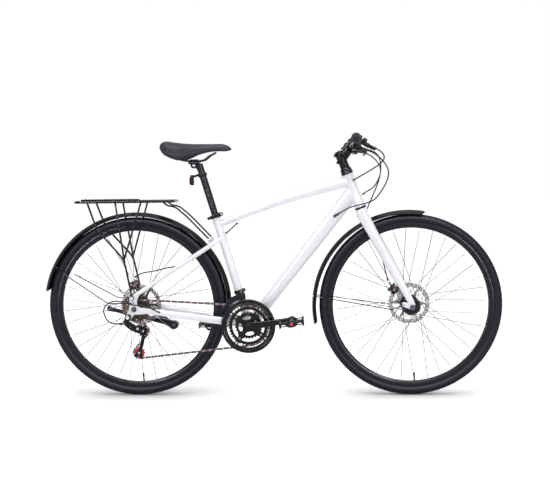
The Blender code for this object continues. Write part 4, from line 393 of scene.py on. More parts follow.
class Shape:
    """Collects closed shells, which become one object."""

    def __init__(self):
        self.verts = []
        self.faces = []
        self.flat = set()

    def add(self, verts, faces, flat=False):
        start = len(self.verts)
        self.verts.extend(Vector(v) for v in verts)
        for face in faces:
            if flat:
                self.flat.add(len(self.faces))
            self.faces.append(tuple(start + index for index in face))
        return self

    def rings(self, rings, closed=False, caps=True):
        sides = len(rings[0])
        verts = [v for ring in rings for v in ring]
        faces = []
        pairs = len(rings) if closed else len(rings) - 1
        for row in range(pairs):
            first = row * sides
            second = ((row + 1) % len(rings)) * sides
            for step in range(sides):
                other = (step + 1) % sides
                faces.append((first + step, first + other, second + other, second + step))
        if caps and not closed:
            faces.append(tuple(range(sides))[::-1])
            last = (len(rings) - 1) * sides
            faces.append(tuple(range(last, last + sides)))
        return self.add(verts, faces)

    def sweep(self, points, radii, sides=20, reference=Y_AXIS, closed=False, power=1.0, dome=0.0):
        size = len(points)
        if not isinstance(radii, list):
            radii = [radii] * size
        rings = []
        side = None
        for index, point in enumerate(points):
            before = points[index - 1] if closed else points[max(index - 1, 0)]
            after = points[(index + 1) % size] if closed else points[min(index + 1, size - 1)]
            tangent = (after - before).normalized()
            side = reference - tangent * reference.dot(tangent)
            if side.length < 0.05:
                other = Z_AXIS if abs(reference.z) < 0.5 else X_AXIS
                side = other - tangent * other.dot(tangent)
            side.normalize()
            normal = tangent.cross(side)
            radius = radii[index]
            wide, high = radius if isinstance(radius, tuple) else (radius, radius)
            ring = []
            for angle in full_turn(sides):
                c = math.cos(angle)
                s = math.sin(angle)
                if power != 1.0:
                    c = math.copysign(abs(c) ** power, c)
                    s = math.copysign(abs(s) ** power, s)
                ring.append(point + side * (c * wide) + normal * (s * high))
            rings.append((ring, tangent, point))
        plain = [ring for ring, tangent, point in rings]
        if dome > 0.0 and not closed:
            plain = self.domed(rings[0], -1.0, dome)[::-1] + plain + self.domed(rings[-1], 1.0,
                                                                                dome)
        return self.rings(plain, closed)

    def loft(self, points, radii, count, sides, reference=Y_AXIS, power=1.0, dome=0.0):
        """A sweep along a smooth curve, with the radii read off at its steps."""
        return self.sweep(smooth_points(points, count), spread(radii, count), sides, reference,
                          False, power, dome)

    @staticmethod
    def domed(entry, sign, dome):
        ring, tangent, center = entry
        extra = []
        for turn in (30.0, 60.0, 82.0):
            shrink = math.cos(math.radians(turn))
            push = tangent * (sign * dome * math.sin(math.radians(turn)))
            extra.append([center + (v - center) * shrink + push for v in ring])
        return extra

    def tube(self, points, radius, sides=10, count=0, closed=False, dome=0.0, reference=None):
        if count:
            points = smooth_points(points, count, closed)
        if reference is None:
            reference = vec(0.13, 0.27, 0.95).normalized()
        return self.sweep(points, radius, sides, reference, closed, 1.0, dome)

    def cylinder(self, start, end, radius, sides=24, end_radius=None, chamfer=0.0):
        axis = (end - start).normalized()
        last = radius if end_radius is None else end_radius
        length = (end - start).length
        if chamfer > 0.0:
            profile = [(radius - chamfer, 0.0), (radius, chamfer), (last, length - chamfer),
                       (last - chamfer, length)]
        else:
            profile = [(radius, 0.0), (last, length)]
        return self.solid_lathe(profile, start, axis, sides)

    def across(self, center, radius, y_from, y_to, sides=24, chamfer=0.0):
        start = with_y(center, min(y_from, y_to))
        end = with_y(center, max(y_from, y_to))
        return self.cylinder(start, end, radius, sides, None, chamfer)

    @staticmethod
    def turn_frame(axis):
        reference = X_AXIS if abs(axis.x) < 0.8 else Z_AXIS
        side = (reference - axis * reference.dot(axis)).normalized()
        return side, axis.cross(side)

    def solid_lathe(self, profile, center, axis=Y_AXIS, segments=32):
        """Profile (radius, height) from one end to the other, closed with a cap at each end."""
        side, normal = self.turn_frame(axis)
        rings = []
        for radius, height in profile:
            ring = []
            for angle in full_turn(segments):
                outward = side * math.cos(angle) + normal * math.sin(angle)
                ring.append(center + outward * radius + axis * height)
            rings.append(ring)
        return self.rings(rings)

    def ring_lathe(self, profile, center, axis=Y_AXIS, segments=64):
        """A closed profile loop (radius, height) turned round an axis: a ring with a hole."""
        side, normal = self.turn_frame(axis)
        rings = []
        for angle in full_turn(segments):
            outward = side * math.cos(angle) + normal * math.sin(angle)
            rings.append([center + outward * radius + axis * height for radius, height in profile])
        return self.rings(rings, closed=True)

    def box(self, center, size, axes=None, bevel=0.001, segments=2):
        along, wide, up = axes if axes else (X_AXIS, Y_AXIS, Z_AXIS)
        bm = bmesh.new()
        bmesh.ops.create_cube(bm, size=1.0)
        for vert in bm.verts:
            vert.co = vec(vert.co.x * size[0], vert.co.y * size[1], vert.co.z * size[2])
        if bevel > 0.0:
            bmesh.ops.bevel(bm, geom=bm.edges[:], offset=min(bevel, min(size) * 0.45),
                            segments=segments, profile=0.5, affect="EDGES")
        verts = [center + along * v.co.x + wide * v.co.y + up * v.co.z for v in bm.verts]
        bm.verts.index_update()
        faces = [tuple(v.index for v in face.verts) for face in bm.faces]
        bm.free()
        return self.add(verts, faces)

    def plate(self, loops, thickness, center, axes=None, bevel=0.0, resolution=0):
        """A flat plate cut from closed loops of (a, b) points: the first outside, then holes."""
        along, up, out = axes if axes else (X_AXIS, Z_AXIS, Y_AXIS)
        curve = bpy.data.curves.new("plate", "CURVE")
        curve.dimensions = "2D"
        curve.fill_mode = "BOTH"
        curve.extrude = thickness / 2.0 - bevel
        curve.bevel_depth = bevel
        curve.bevel_resolution = resolution
        curve.offset = -bevel
        for loop in loops:
            spline = curve.splines.new("POLY")
            spline.points.add(len(loop) - 1)
            for point, (a, b) in zip(spline.points, loop):
                point.co = (a, b, 0.0, 1.0)
            spline.use_cyclic_u = True
        holder = bpy.data.objects.new("plate", curve)
        bpy.context.scene.collection.objects.link(holder)
        graph = bpy.context.evaluated_depsgraph_get()
        mesh = bpy.data.meshes.new_from_object(holder.evaluated_get(graph))
        bpy.data.objects.remove(holder, do_unlink=True)
        bm = bmesh.new()
        bm.from_mesh(mesh)
        bpy.data.meshes.remove(mesh)
        bmesh.ops.remove_doubles(bm, verts=bm.verts, dist=0.000005)
        bm.verts.index_update()
        verts = [center + along * v.co.x + up * v.co.y + out * v.co.z for v in bm.verts]
        faces = [tuple(v.index for v in face.verts) for face in bm.faces]
        bm.free()
        return self.add(verts, faces, flat=True)

    def make(self, name, body, look, slot, stands_for=(), sharp=35.0):
        mesh = bpy.data.meshes.new(name)
        mesh.from_pydata([tuple(v) for v in self.verts], [], self.faces)
        bm = bmesh.new()
        bm.from_mesh(mesh)
        bmesh.ops.recalc_face_normals(bm, faces=bm.faces)
        limit = math.radians(sharp)
        for face in bm.faces:
            face.smooth = True
        for edge in bm.edges:
            if len(edge.link_faces) == 2 and edge.calc_face_angle(0.0) > limit:
                edge.smooth = False
        bm.to_mesh(mesh)
        bm.free()
        obj = bpy.data.objects.new(name, mesh)
        bpy.context.scene.collection.objects.link(obj)
        mesh.materials.append(LOOKS[look])
        if body:
            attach(obj, body)
        if stands_for:
            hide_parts(*stands_for)
        return obj


def circle(radius, count=32, center=(0.0, 0.0), start=0.0):
    return [(center[0] + radius * math.cos(start + 2.0 * math.pi * step / count),
             center[1] + radius * math.sin(start + 2.0 * math.pi * step / count))
            for step in range(count)]


def slot_loop(inner, outer, first, last, steps=8):
    """A window between two radii and two angles."""
    loop = [polar(inner, first + (last - first) * step / steps) for step in range(steps + 1)]
    loop += [polar(outer, last + (first - last) * step / steps) for step in range(steps + 1)]
    return loop


def stadium(start, end, radius, steps=8):
    """A slot with round ends between two points."""
    angle = math.atan2(end[1] - start[1], end[0] - start[0])
    loop = []
    for center, turn in ((end, -math.pi / 2.0), (start, math.pi / 2.0)):
        for step in range(steps + 1):
            a = angle + turn + math.pi * step / steps
            loop.append((center[0] + radius * math.cos(a), center[1] + radius * math.sin(a)))
    return loop


def gear_loop(teeth, root, tip, width=0.42, turn=0.0):
    """The outline of a sprocket: round valleys and narrow teeth."""
    loop = []
    step = 360.0 / teeth
    for index in range(teeth):
        base = turn + index * step
        half = step * width / 2.0
        loop.append(polar(root, base - step * 0.5))
        loop.append(polar(root + (tip - root) * 0.28, base - half))
        loop.append(polar(tip, base - half * 0.36))
        loop.append(polar(tip, base + half * 0.36))
        loop.append(polar(root + (tip - root) * 0.28, base + half))
    return loop


# Wheels


def groove_depth(share, turn_share):
    """How deep a groove is at a place: grooves run slantwise from the middle outwards."""
    reach = abs(share)
    if reach > 0.62:
        return 0.0
    middle = 0.0007 if 0.07 < reach < 0.13 else 0.0
    wave = (turn_share * 96.0 + reach * 2.4 + (0.5 if share < 0.0 else 0.0)) % 1.0
    slant = 0.0007 if wave < 0.34 and reach > 0.16 else 0.0
    return max(middle, slant)


def build_tyre(prefix, axle):
    turns = 384
    across_shares = [-1.0, -0.86, -0.72, -0.64, -0.56, -0.46, -0.36, -0.26, -0.17, -0.12, -0.08,
                     0.0, 0.08, 0.12, 0.17, 0.26, 0.36, 0.46, 0.56, 0.64, 0.72, 0.86, 1.0]
    half = TYRE_WIDTH / 2.0
    middle_radius = RIM_RADIUS + 0.0165
    rings = []
    for turn in range(turns):
        angle = 2.0 * math.pi * turn / turns
        out = vec(math.cos(angle), 0.0, math.sin(angle))
        ring = []
        for share in across_shares:
            lean = share * math.radians(128.0)
            crown = TYRE_RADIUS - middle_radius
            radius = middle_radius + crown * math.cos(lean)
            side = half * math.sin(lean)
            dent = groove_depth(share, turn / turns)
            radius -= dent * math.cos(lean)
            side -= dent * math.sin(lean)
            ring.append(axle + out * radius + Y_AXIS * side)
        bead = RIM_WIDTH / 2.0 - 0.0012
        ring.append(axle + out * (RIM_RADIUS + 0.0008) + Y_AXIS * bead)
        ring.append(axle + out * (RIM_RADIUS + 0.0008) - Y_AXIS * bead)
        rings.append(ring)
    shape = Shape().rings(rings, closed=True)
    shape.make(prefix + "_tyre_tread", prefix + "_wheel", "tyre", "tyre", [prefix + "_tyre"], 50.0)


def build_rim(prefix, axle):
    outer = RIM_RADIUS - GAP
    inner = outer - RIM_DEPTH
    half = RIM_WIDTH / 2.0
    section = [(outer + 0.003, -half + 0.0002), (outer + 0.003, -half + 0.0016),
               (outer - 0.003, -half + 0.003), (outer - 0.005, 0.0), (outer - 0.003, half - 0.003),
               (outer + 0.003, half - 0.0016), (outer + 0.003, half - 0.0002),
               (outer + 0.0022, half), (outer - 0.0075, half), (outer - 0.0095, half - 0.0006),
               (inner + 0.004, 0.0098), (inner + 0.001, 0.0082), (inner, 0.006),
               (inner - 0.0004, 0.0), (inner, -0.006), (inner + 0.001, -0.0082),
               (inner + 0.004, -0.0098), (outer - 0.0095, -half + 0.0006), (outer - 0.0075, -half),
               (outer + 0.0022, -half)]
    shape = Shape().ring_lathe(section, axle, Y_AXIS, 160)
    shape.make(prefix + "_rim_hoop", prefix + "_wheel", "anodised", "black_alloy",
               [prefix + "_rim"], 30.0)
    valve = Shape()
    foot = around(axle, inner + 0.0006, -87.0)
    out = (axle - foot).normalized()
    valve.solid_lathe([(0.0048, 0.0), (0.0048, 0.0012), (0.003, 0.0024), (0.0028, 0.017),
                       (0.0034, 0.0175), (0.0037, 0.0185), (0.0037, 0.0305), (0.003, 0.0328),
                       (0.0016, 0.0338)], foot, out, 16)
    valve.make(prefix + "_valve", prefix + "_wheel", "satin_black", "plastic")


def build_spokes(prefix, axle, flanges, flange_radius):
    hole = flange_radius - SPOKE_INSET
    step = 360.0 / SPOKES_PER_SIDE
    rim = RIM_RADIUS - RIM_DEPTH - 0.0002
    wires = Shape()
    nipples = Shape()
    for flange_y, sign, start in ((flanges[0], -1.0, SPOKE_START),
                                  (flanges[1], 1.0, SPOKE_START + step / 2.0)):
        for index in range(SPOKES_PER_SIDE):
            lead = 1.0 if index % 2 == 0 else -1.0
            angle = start + index * step
            inner = around(axle, hole, angle, flange_y + lead * 0.0026)
            outer = around(axle, rim + 0.001, angle + lead * SPOKE_CROSS, sign * 0.0036)
            head = around(axle, hole, angle, flange_y - lead * 0.003)
            along = (outer - inner).normalized()
            bend = inner + along * 0.0035
            path = [head, inner.lerp(head, 0.35), inner.lerp(bend, 0.5), bend, outer]
            wires.sweep(path, 0.00115, 8, vec(0.31, 0.2, 0.93))
            wires.solid_lathe([(0.0011, -0.0005), (0.0021, 0.0), (0.0021, 0.0007),
                               (0.0009, 0.0014)], head, Y_AXIS * -lead, 8)
            nipples.solid_lathe([(0.0021, 0.0), (0.0021, 0.0078), (0.0018, 0.012),
                                 (0.0012, 0.0132)], outer, -along, 10)
    wires.make(prefix + "_spokes", prefix + "_wheel", "spoke", "steel")
    nipples.make(prefix + "_nipples", prefix + "_wheel", "alloy", "steel")


def flange_plate(shape, axle, y, radius, bore):
    loops = [circle(radius, 60), circle(bore, 32)]
    for index in range(SPOKES_PER_SIDE):
        angle = SPOKE_START + (10.0 if y > 0.0 else 0.0) + index * 360.0 / SPOKES_PER_SIDE
        loops.append(circle(0.0014, 8, polar(radius - SPOKE_INSET, angle)))
    shape.plate(loops, 0.003, with_y(axle, y), None, 0.0006)


def build_front_hub():
    flange = 0.0325
    radius = 0.0355
    shell = Shape()
    shell.ring_lathe([(0.0052, -0.049), (0.0052, 0.049), (0.0098, 0.049), (0.0105, 0.0482),
                      (0.012, 0.0445), (0.02, 0.0436), (0.0204, 0.043), (0.0204, 0.0352),
                      (0.019, 0.0344), (0.0262, 0.0338), (0.0268, 0.033), (0.0262, 0.03),
                      (0.0236, 0.027), (0.023, 0.02), (0.0226, 0.0), (0.023, -0.02),
                      (0.0236, -0.027), (0.0262, -0.03), (0.0268, -0.033), (0.0255, -0.0344),
                      (0.017, -0.038), (0.012, -0.0445), (0.0105, -0.0482), (0.0098, -0.049)],
                     FRONT, Y_AXIS, 64)
    for side in SIDES:
        flange_plate(shell, FRONT, side * flange, radius, 0.0225)
    shell.make("front_hub_shell", "front_wheel", "anodised", "black_alloy", ["front_hub"], 30.0)
    build_spokes("front", FRONT, (-flange, flange), radius)


def build_rear_hub():
    right, left = -0.0215, 0.036
    radius = 0.029
    shell = Shape()
    shell.ring_lathe([(0.0052, -0.066), (0.0052, 0.066), (0.01, 0.066), (0.0108, 0.065),
                      (0.0125, 0.058), (0.02, 0.056), (0.0204, 0.0555), (0.0204, 0.0485),
                      (0.018, 0.047), (0.0175, 0.04), (0.0215, 0.0378), (0.0215, 0.0342),
                      (0.0178, 0.031), (0.016, 0.024), (0.016, -0.009), (0.0178, -0.0165),
                      (0.0215, -0.0198), (0.0215, -0.0232), (0.017, -0.0245), (0.0119, -0.025),
                      (0.0119, -0.064), (0.01, -0.066)], REAR, Y_AXIS, 64)
    flange_plate(shell, REAR, right, radius, 0.0155)
    flange_plate(shell, REAR, left, radius, 0.0155)
    shell.make("rear_hub_shell", "rear_wheel", "anodised", "black_alloy", ["rear_hub"], 30.0)
    build_spokes("rear", REAR, (right, left), radius)


def build_rotor(prefix, axle, y):
    loops = [circle(ROTOR_RADIUS, 120)]
    for index in range(36):
        turn = index * 10.0
        for radius, shift in ((0.068, 0.0), (0.0725, 3.3), (0.0768, 6.6)):
            if index % 3 != 2 or radius != 0.0725:
                loops.append(circle(0.0019, 10, polar(radius, turn + shift)))
    for index in range(6):
        turn = index * 60.0
        outer = [polar(0.064, turn + 1.5 + step * 6.6) for step in range(9)]
        inner = [polar(0.029, turn + 42.0 - step * 5.1) for step in range(8)]
        loops.append(outer + inner)
    for index in range(6):
        loops.append(circle(0.0026, 12, polar(ROTOR_BOLT_CIRCLE, 30.0 + index * 60.0)))
    loops.append(circle(0.0206, 40))
    disc = Shape().plate(loops, 0.0018, with_y(axle, y), None, 0.0002)
    disc.make(prefix + "_rotor_disc", prefix + "_wheel", "rotor", "steel", [prefix + "_rotor"],
              30.0)
    bolts = Shape()
    for index in range(6):
        a, b = polar(ROTOR_BOLT_CIRCLE, 30.0 + index * 60.0)
        spot = vec(axle.x + a, y, axle.z + b)
        bolts.across(spot, 0.0042, y + 0.0009, y + 0.003, 16, 0.0006)
        bolts.across(spot, 0.0026, y - 0.004, y + 0.0009, 12)
    bolts.make(prefix + "_rotor_bolts", prefix + "_wheel", "anodised", "black_alloy")


def build_axles():
    front = Shape()
    front.across(FRONT, 0.0045, -0.078, 0.078, 24, 0.0008)
    rear = Shape()
    rear.across(REAR, 0.0045, -0.0875, 0.0875, 24, 0.0008)
    for shape, axle, start in ((front, FRONT, 0.0682), (rear, REAR, 0.0738)):
        for side in SIDES:
            low, high = sorted((side * start, side * (start + 0.0072)))
            shape.across(axle, 0.0096, low, high, 6, 0.001)
            shape.across(axle, 0.0106, side * start, side * (start + 0.0014), 32, 0.0003)
    front.make("front_axle_nuts", "steer_body", "nut", "steel", ["front_axle"], 30.0)
    rear.make("rear_axle_nuts", "frame_body", "nut", "steel", ["rear_axle"], 30.0)


def build_wheels():
    for prefix, axle in (("front", FRONT), ("rear", REAR)):
        build_tyre(prefix, axle)
        build_rim(prefix, axle)
        build_rotor(prefix, axle, ROTOR_Y[prefix])
    build_front_hub()
    build_rear_hub()
    build_axles()


# Frame and fork


def weld(shape, start, direction, radii, wall_at, wall_axis, wall_radius, bead=0.0014):
    """A bead of weld where a tube with an oval section meets a round one."""
    side = (Y_AXIS - direction * Y_AXIS.dot(direction)).normalized()
    normal = direction.cross(side)
    points = []
    for angle in full_turn(48):
        at = start + side * (math.cos(angle) * radii[0]) + normal * (math.sin(angle) * radii[1])
        gap = at - wall_at
        gap = gap - wall_axis * gap.dot(wall_axis)
        way = direction - wall_axis * direction.dot(wall_axis)
        a = way.dot(way)
        b = 2.0 * gap.dot(way)
        c = gap.dot(gap) - wall_radius * wall_radius
        root = b * b - 4.0 * a * c
        if root < 0.0:
            root = 0.0
        points.append(at + direction * ((-b - math.sqrt(root)) / (2.0 * a)))
    shape.tube(points, bead, 8, 0, closed=True, reference=wall_axis)


FENDER_OUTER = FENDER_RADIUS + 0.0018
SEAT_STAY_JOIN = seat(SEAT_TUBE_LENGTH - 0.094)
SEAT_STAY_FOOT = REAR + vec(-0.002, 0.0, 0.048)
SEAT_STAY_RUN = (SEAT_STAY_JOIN - SEAT_STAY_FOOT).normalized()


def stay_at(distance):
    start = SEAT_STAY_FOOT - REAR
    along = start.dot(SEAT_STAY_RUN)
    aside = start.length_squared - along * along
    return SEAT_STAY_FOOT + SEAT_STAY_RUN * (math.sqrt(distance * distance - aside) - along)


def rack_anchor():
    return stay_at(FENDER_OUTER + FENDER_CROWN + 0.008) + Z_AXIS * 0.024


def top_tube_line():
    start = seat(SEAT_TUBE_LENGTH - 0.042)
    end = steer(HEAD_TUBE_LENGTH - 0.028)
    points = []
    radii = []
    for step in range(25):
        share = step / 24
        points.append(start.lerp(end, share) + Z_AXIS * (0.012 * math.sin(math.pi * share)))
        radii.append((0.0135 + 0.0035 * share, 0.013 + 0.0085 * share))
    return points, radii


def down_tube_line():
    start = BB + vec(0.006, 0.0, 0.0)
    end = steer(0.066)
    shares = (0.0, 0.45, 0.85, 1.0)
    radii = [(0.02, 0.0235), (0.02, 0.0245), (0.0185, 0.0265), (0.018, 0.028)]
    points = [start.lerp(end, share) for share in shares]
    return points, radii


def ring_tube(shape, low, high, outer, inner, lip=0.0):
    axis = (high - low).normalized()
    length = (high - low).length
    profile = [(inner, 0.0), (inner, length), (outer + lip - 0.0008, length),
               (outer + lip, length - 0.0008), (outer + lip, length - 0.004),
               (outer, length - 0.0052), (outer, 0.0052), (outer + lip, 0.004),
               (outer + lip, 0.0008), (outer + lip - 0.0008, 0.0)]
    shape.ring_lathe(profile, low, axis, 56)


def build_frame():
    shape = Shape()
    head_low = steer(0.0)
    head_high = steer(HEAD_TUBE_LENGTH)
    ring_tube(shape, head_low, head_high, HEAD_TUBE_RADIUS - 0.0008, 0.015, 0.0008)
    seat_top = seat(SEAT_TUBE_LENGTH)
    ring_tube(shape, seat(0.014), seat_top, SEAT_TUBE_RADIUS, SEAT_POST_RADIUS + GAP)
    shape.ring_lathe([(0.009, -0.034), (0.009, 0.034), (0.0208, 0.034), (0.0215, 0.0332),
                      (0.0215, -0.0332), (0.0208, -0.034)], BB, Y_AXIS, 56)
    points, radii = top_tube_line()
    shape.sweep(points, radii, 32)
    down_points, down_radii = down_tube_line()
    run = straight(down_points[0], down_points[-1], 16)
    shape.sweep(run, spread(down_radii, 16), 32)
    for sign in SIDES:
        chain_stay = [BB + vec(-0.006, sign * 0.018, 0.0), BB + vec(-0.05, sign * 0.026, 0.008),
                      BB + vec(-0.092, sign * 0.0315, 0.0147), BB + vec(-0.23, sign * 0.048, 0.037),
                      REAR + vec(0.075, sign * 0.066, -0.011),
                      REAR + vec(0.02, sign * STAY_FOOT_Y, -0.003)]
        chain_radii = [(0.007, 0.0155), (0.007, 0.0155), (0.007, 0.015), (0.0075, 0.0135),
                       (0.0075, 0.0115), (STAY_FOOT_HALF, 0.0095)]
        shape.loft(chain_stay, chain_radii, 30, 20, dome=0.004)
        seat_stay = [SEAT_STAY_FOOT + Y_AXIS * (sign * STAY_FOOT_Y),
                     SEAT_STAY_FOOT.lerp(SEAT_STAY_JOIN, 0.16) + Y_AXIS * (sign * 0.068),
                     stay_at(FENDER_OUTER + FENDER_CROWN - 0.045) + Y_AXIS * (sign * 0.0385),
                     stay_at(FENDER_OUTER + FENDER_CROWN + 0.018) + Y_AXIS * (sign * 0.0345),
                     SEAT_STAY_JOIN + Y_AXIS * (sign * 0.01)]
        seat_radii = [(STAY_FOOT_HALF, 0.0075), (0.007, 0.008), (0.008, 0.009), (0.008, 0.009),
                      (0.006, 0.0085)]
        shape.loft(seat_stay, seat_radii, 30, 20, dome=0.005)
        outline = [(0.046, -0.018), (0.0, -0.018), (-0.013, -0.016), (-0.019, 0.0), (-0.015, 0.054),
                   (0.008, 0.058), (0.024, 0.056), (0.012, 0.038), (0.013, 0.016), (0.022, 0.006),
                   (0.046, 0.006)]
        if sign < 0.0:
            outline = [(0.046, -0.018), (0.0, -0.02), (-0.012, -0.038), (-0.024, -0.041),
                       (-0.034, -0.029), (-0.019, 0.0), (-0.015, 0.054), (0.008, 0.058),
                       (0.024, 0.056), (0.012, 0.038), (0.013, 0.016), (0.022, 0.006),
                       (0.046, 0.006)]
        corners = [vec(a, 0.0, b) for a, b in outline]
        soft = [(v.x, v.z) for v in rounded_path(corners, 0.006, 3, closed=True)]
        loops = [soft[::-1], circle(0.0051, 24)]
        center = with_y(REAR, sign * (DROPOUT_OUT - 0.003))
        shape.plate(loops, 0.006, center, None, 0.0006)
    reach = FENDER_OUTER + FENDER_CROWN + 0.0065 + GAP
    shape.across(stay_at(reach), 0.0065, -0.034, 0.034, 20)
    shape.across(around(REAR, reach, -9.0), 0.0065, -0.03, 0.03, 20)
    for sign in SIDES:
        boss = rack_anchor() + vec(0.0, sign * 0.036, -0.008)
        shape.box(boss, (0.013, 0.01, 0.03), None, 0.0028, 3)
    build_welds(shape, points, radii, down_points, down_radii)
    shape.make("frame_tubes", "frame_body", "paint", "paint", ["frame"], 40.0)


def build_welds(shape, top_points, top_radii, down_points, down_radii):
    back = (top_points[-1] - top_points[-2]).normalized()
    weld(shape, top_points[-6], back, top_radii[-3], steer(0.0), STEER_UP, HEAD_TUBE_RADIUS)
    ahead = (top_points[0] - top_points[1]).normalized()
    weld(shape, top_points[5], ahead, top_radii[1], BB, SEAT_UP, SEAT_TUBE_RADIUS)
    up = (down_points[-1] - down_points[0]).normalized()
    weld(shape, down_points[0].lerp(down_points[-1], 0.8), up, (0.0182, 0.0274), steer(0.0),
         STEER_UP, HEAD_TUBE_RADIUS, 0.0016)
    weld(shape, down_points[0].lerp(down_points[-1], 0.3), -up, down_radii[0], BB, Y_AXIS, 0.0215,
         0.0016)
    weld(shape, seat(0.12), -SEAT_UP, (SEAT_TUBE_RADIUS, SEAT_TUBE_RADIUS), BB, Y_AXIS, 0.0215)
    for sign in SIDES:
        foot = BB + vec(-0.07, sign * 0.0285, 0.011)
        way = (BB + vec(-0.006, sign * 0.018, 0.0) - foot).normalized()
        weld(shape, foot, way, (0.007, 0.0153), BB, Y_AXIS, 0.0215, 0.0012)


def build_frame_fittings():
    bolts = Shape()
    down_points = down_tube_line()[0]
    way = (down_points[-1] - down_points[0]).normalized()
    up = vec(-way.z, 0.0, way.x)
    for share in (0.355, 0.495):
        base = down_points[0].lerp(down_points[-1], share)
        bolts.solid_lathe([(0.0055, 0.0205), (0.0055, 0.0262), (0.005, 0.0268), (0.0042, 0.0268),
                           (0.0042, 0.0275), (0.0036, 0.029), (0.0022, 0.03)], base, up, 20)
    for sign in SIDES:
        spot = rack_anchor() + vec(0.0, sign * 0.041, 0.0)
        bolts.cylinder(spot, spot + Y_AXIS * (sign * 0.01), 0.003, 12)
    bolts.make("bottle_bolts", "frame_body", "alloy", "steel")
    cups = Shape()
    for sign in SIDES:
        start = BB + Y_AXIS * (sign * 0.0342)
        cups.ring_lathe([(0.0092, 0.0), (0.0205, 0.0), (0.0205, 0.003), (0.019, 0.004),
                         (0.013, 0.0055), (0.0092, 0.0055)], start, Y_AXIS * sign, 40)
    cups.make("bottom_bracket_cups", "frame_body", "anodised", "black_alloy")


def build_headset():
    shape = Shape()
    shape.ring_lathe([(0.0146, -0.007), (0.0205, -0.007), (0.0222, -0.0058), (0.023, -0.004),
                      (0.0232, -0.0012), (0.0226, -0.0003), (0.0146, -0.0003)], steer(0.0),
                     STEER_UP, 48)
    shape.make("headset_cup", "frame_body", "anodised", "black_alloy", ["headset_lower"])
    upper = Shape()
    upper.ring_lathe([(0.015, 0.0004), (0.0226, 0.0004), (0.0235, 0.0012), (0.0235, 0.005),
                      (0.0222, 0.007), (0.02, 0.0085), (0.015, 0.0085)], steer(HEAD_TUBE_LENGTH),
                     STEER_UP, 48)
    upper.make("headset_top", "steer_body", "anodised", "black_alloy")


def build_fork():
    crown = -GAP * 2 - 0.007 - 0.014
    shape = Shape()
    shape.cylinder(steer(crown), steer(HEAD_TUBE_LENGTH + 0.048), 0.0142, 32)
    shape.solid_lathe([(0.0215, -0.012), (0.0225, -0.002), (0.0225, 0.006), (0.022, 0.0125),
                       (0.0212, 0.0138)], steer(crown), STEER_UP, 48)
    arch = [steer(crown - 0.004, -0.001, side)
            for side in (-0.047, -0.04, -0.03, -0.018, 0.0, 0.018, 0.03, 0.04, 0.047)]
    rise = (0.0, 0.0035, 0.006, 0.007, 0.007, 0.007, 0.006, 0.0035, 0.0)
    arch = [point + STEER_UP * lift for point, lift in zip(arch, rise)]
    arch_radii = [(0.01, 0.014), (0.0115, 0.0165), (0.012, 0.0178), (0.0118, 0.0182),
                  (0.0118, 0.0185), (0.0118, 0.0182), (0.012, 0.0178), (0.0115, 0.0165),
                  (0.01, 0.014)]
    shape.loft(arch, arch_radii, 32, 28, STEER_UP, power=0.8, dome=0.006)
    for sign in SIDES:
        top = steer(crown + 0.01, -0.003, sign * 0.043)
        high = steer(crown - 0.03, -0.001, sign * 0.043)
        low = FRONT + vec(-0.01, sign * FORK_OUT, 0.03)
        end = FRONT + vec(-0.001, sign * FORK_OUT, 0.002)
        blade = [top, high, high.lerp(low, 0.5), low, end]
        radii = [(0.0108, 0.018), (0.012, 0.0205), (0.0105, 0.0165), (0.0085, 0.0125),
                 (0.0072, 0.011)]
        shape.loft(blade, radii, 32, 28, dome=0.006)
        loops = [stadium((0.0, 0.0), (-0.03, 0.01), 0.0095)[::-1], circle(0.005, 24)]
        shape.plate(loops, 0.007, FRONT + Y_AXIS * (sign * FORK_OUT), None, 0.0008)
    shape.box(FRONT + vec(-0.03, FORK_OUT - 0.004, 0.046), (0.03, 0.007, 0.062), None, 0.003, 3)
    shape.make("fork_blades", "steer_body", "paint", "paint", ["fork"], 40.0)
    bolts = Shape()
    forward = (steer(0.0, 1.0) - steer(0.0)).normalized()
    for sign in SIDES:
        bolts.solid_lathe([(0.0036, -0.003), (0.0038, 0.0022), (0.003, 0.0034), (0.0018, 0.0036)],
                          steer(crown - 0.006, sign * 0.0225), forward * sign, 20)
    bolts.make("fork_bolts", "steer_body", "alloy", "steel")


# Mudguards and rack


def fender_section(angle, center, lift_scale, lag):
    """A rolled section: a crowned sheet whose rims stop short by the lag in degrees."""
    outer = []
    inner = []
    steps = 16
    for step in range(steps + 1):
        share = -1.0 + 2.0 * step / steps
        lift = (1.0 - abs(share) ** 2.3) ** 0.85 * lift_scale
        side = share * FENDER_HALF
        at = angle + lag * (1.0 - lift)
        outer.append(around(center, FENDER_RADIUS + 0.0018 + lift * FENDER_CROWN, at, side))
        inner.append(around(center, FENDER_RADIUS + GAP + lift * FENDER_CROWN, at, side * 0.95))
    return outer + inner[::-1]


def build_fender(name, center, first, last, body, node):
    steps = 96
    rings = []
    edge = []
    way = math.copysign(1.0, last - first)
    for step in range(steps + 1):
        share = step / steps
        angle = first + (last - first) * share
        end_distance = min(share, 1.0 - share) * abs(last - first)
        scale = 1.0
        if end_distance < 1.2:
            scale = 0.9 + 0.1 * math.sin(math.pi / 2.0 * end_distance / 1.2)
        lag = max(0.0, 1.0 - end_distance / 9.0) * 2.2 * (way if share < 0.5 else -way)
        rings.append(fender_section(angle, center, scale, lag))
        edge.append(angle + lag)
    shape = Shape().rings(rings)
    for side in SIDES:
        path = [around(center, FENDER_RADIUS + 0.001, angle, side * (FENDER_HALF - 0.0008))
                for angle in edge]
        shape.tube(path, 0.0012, 8, reference=Y_AXIS, dome=0.001)
    shape.make(name, body, "gloss_black", "fender_plastic", [node], 40.0)


FRONT_FENDER_CENTER = FRONT + vec(-0.009, 0.0, -0.003)


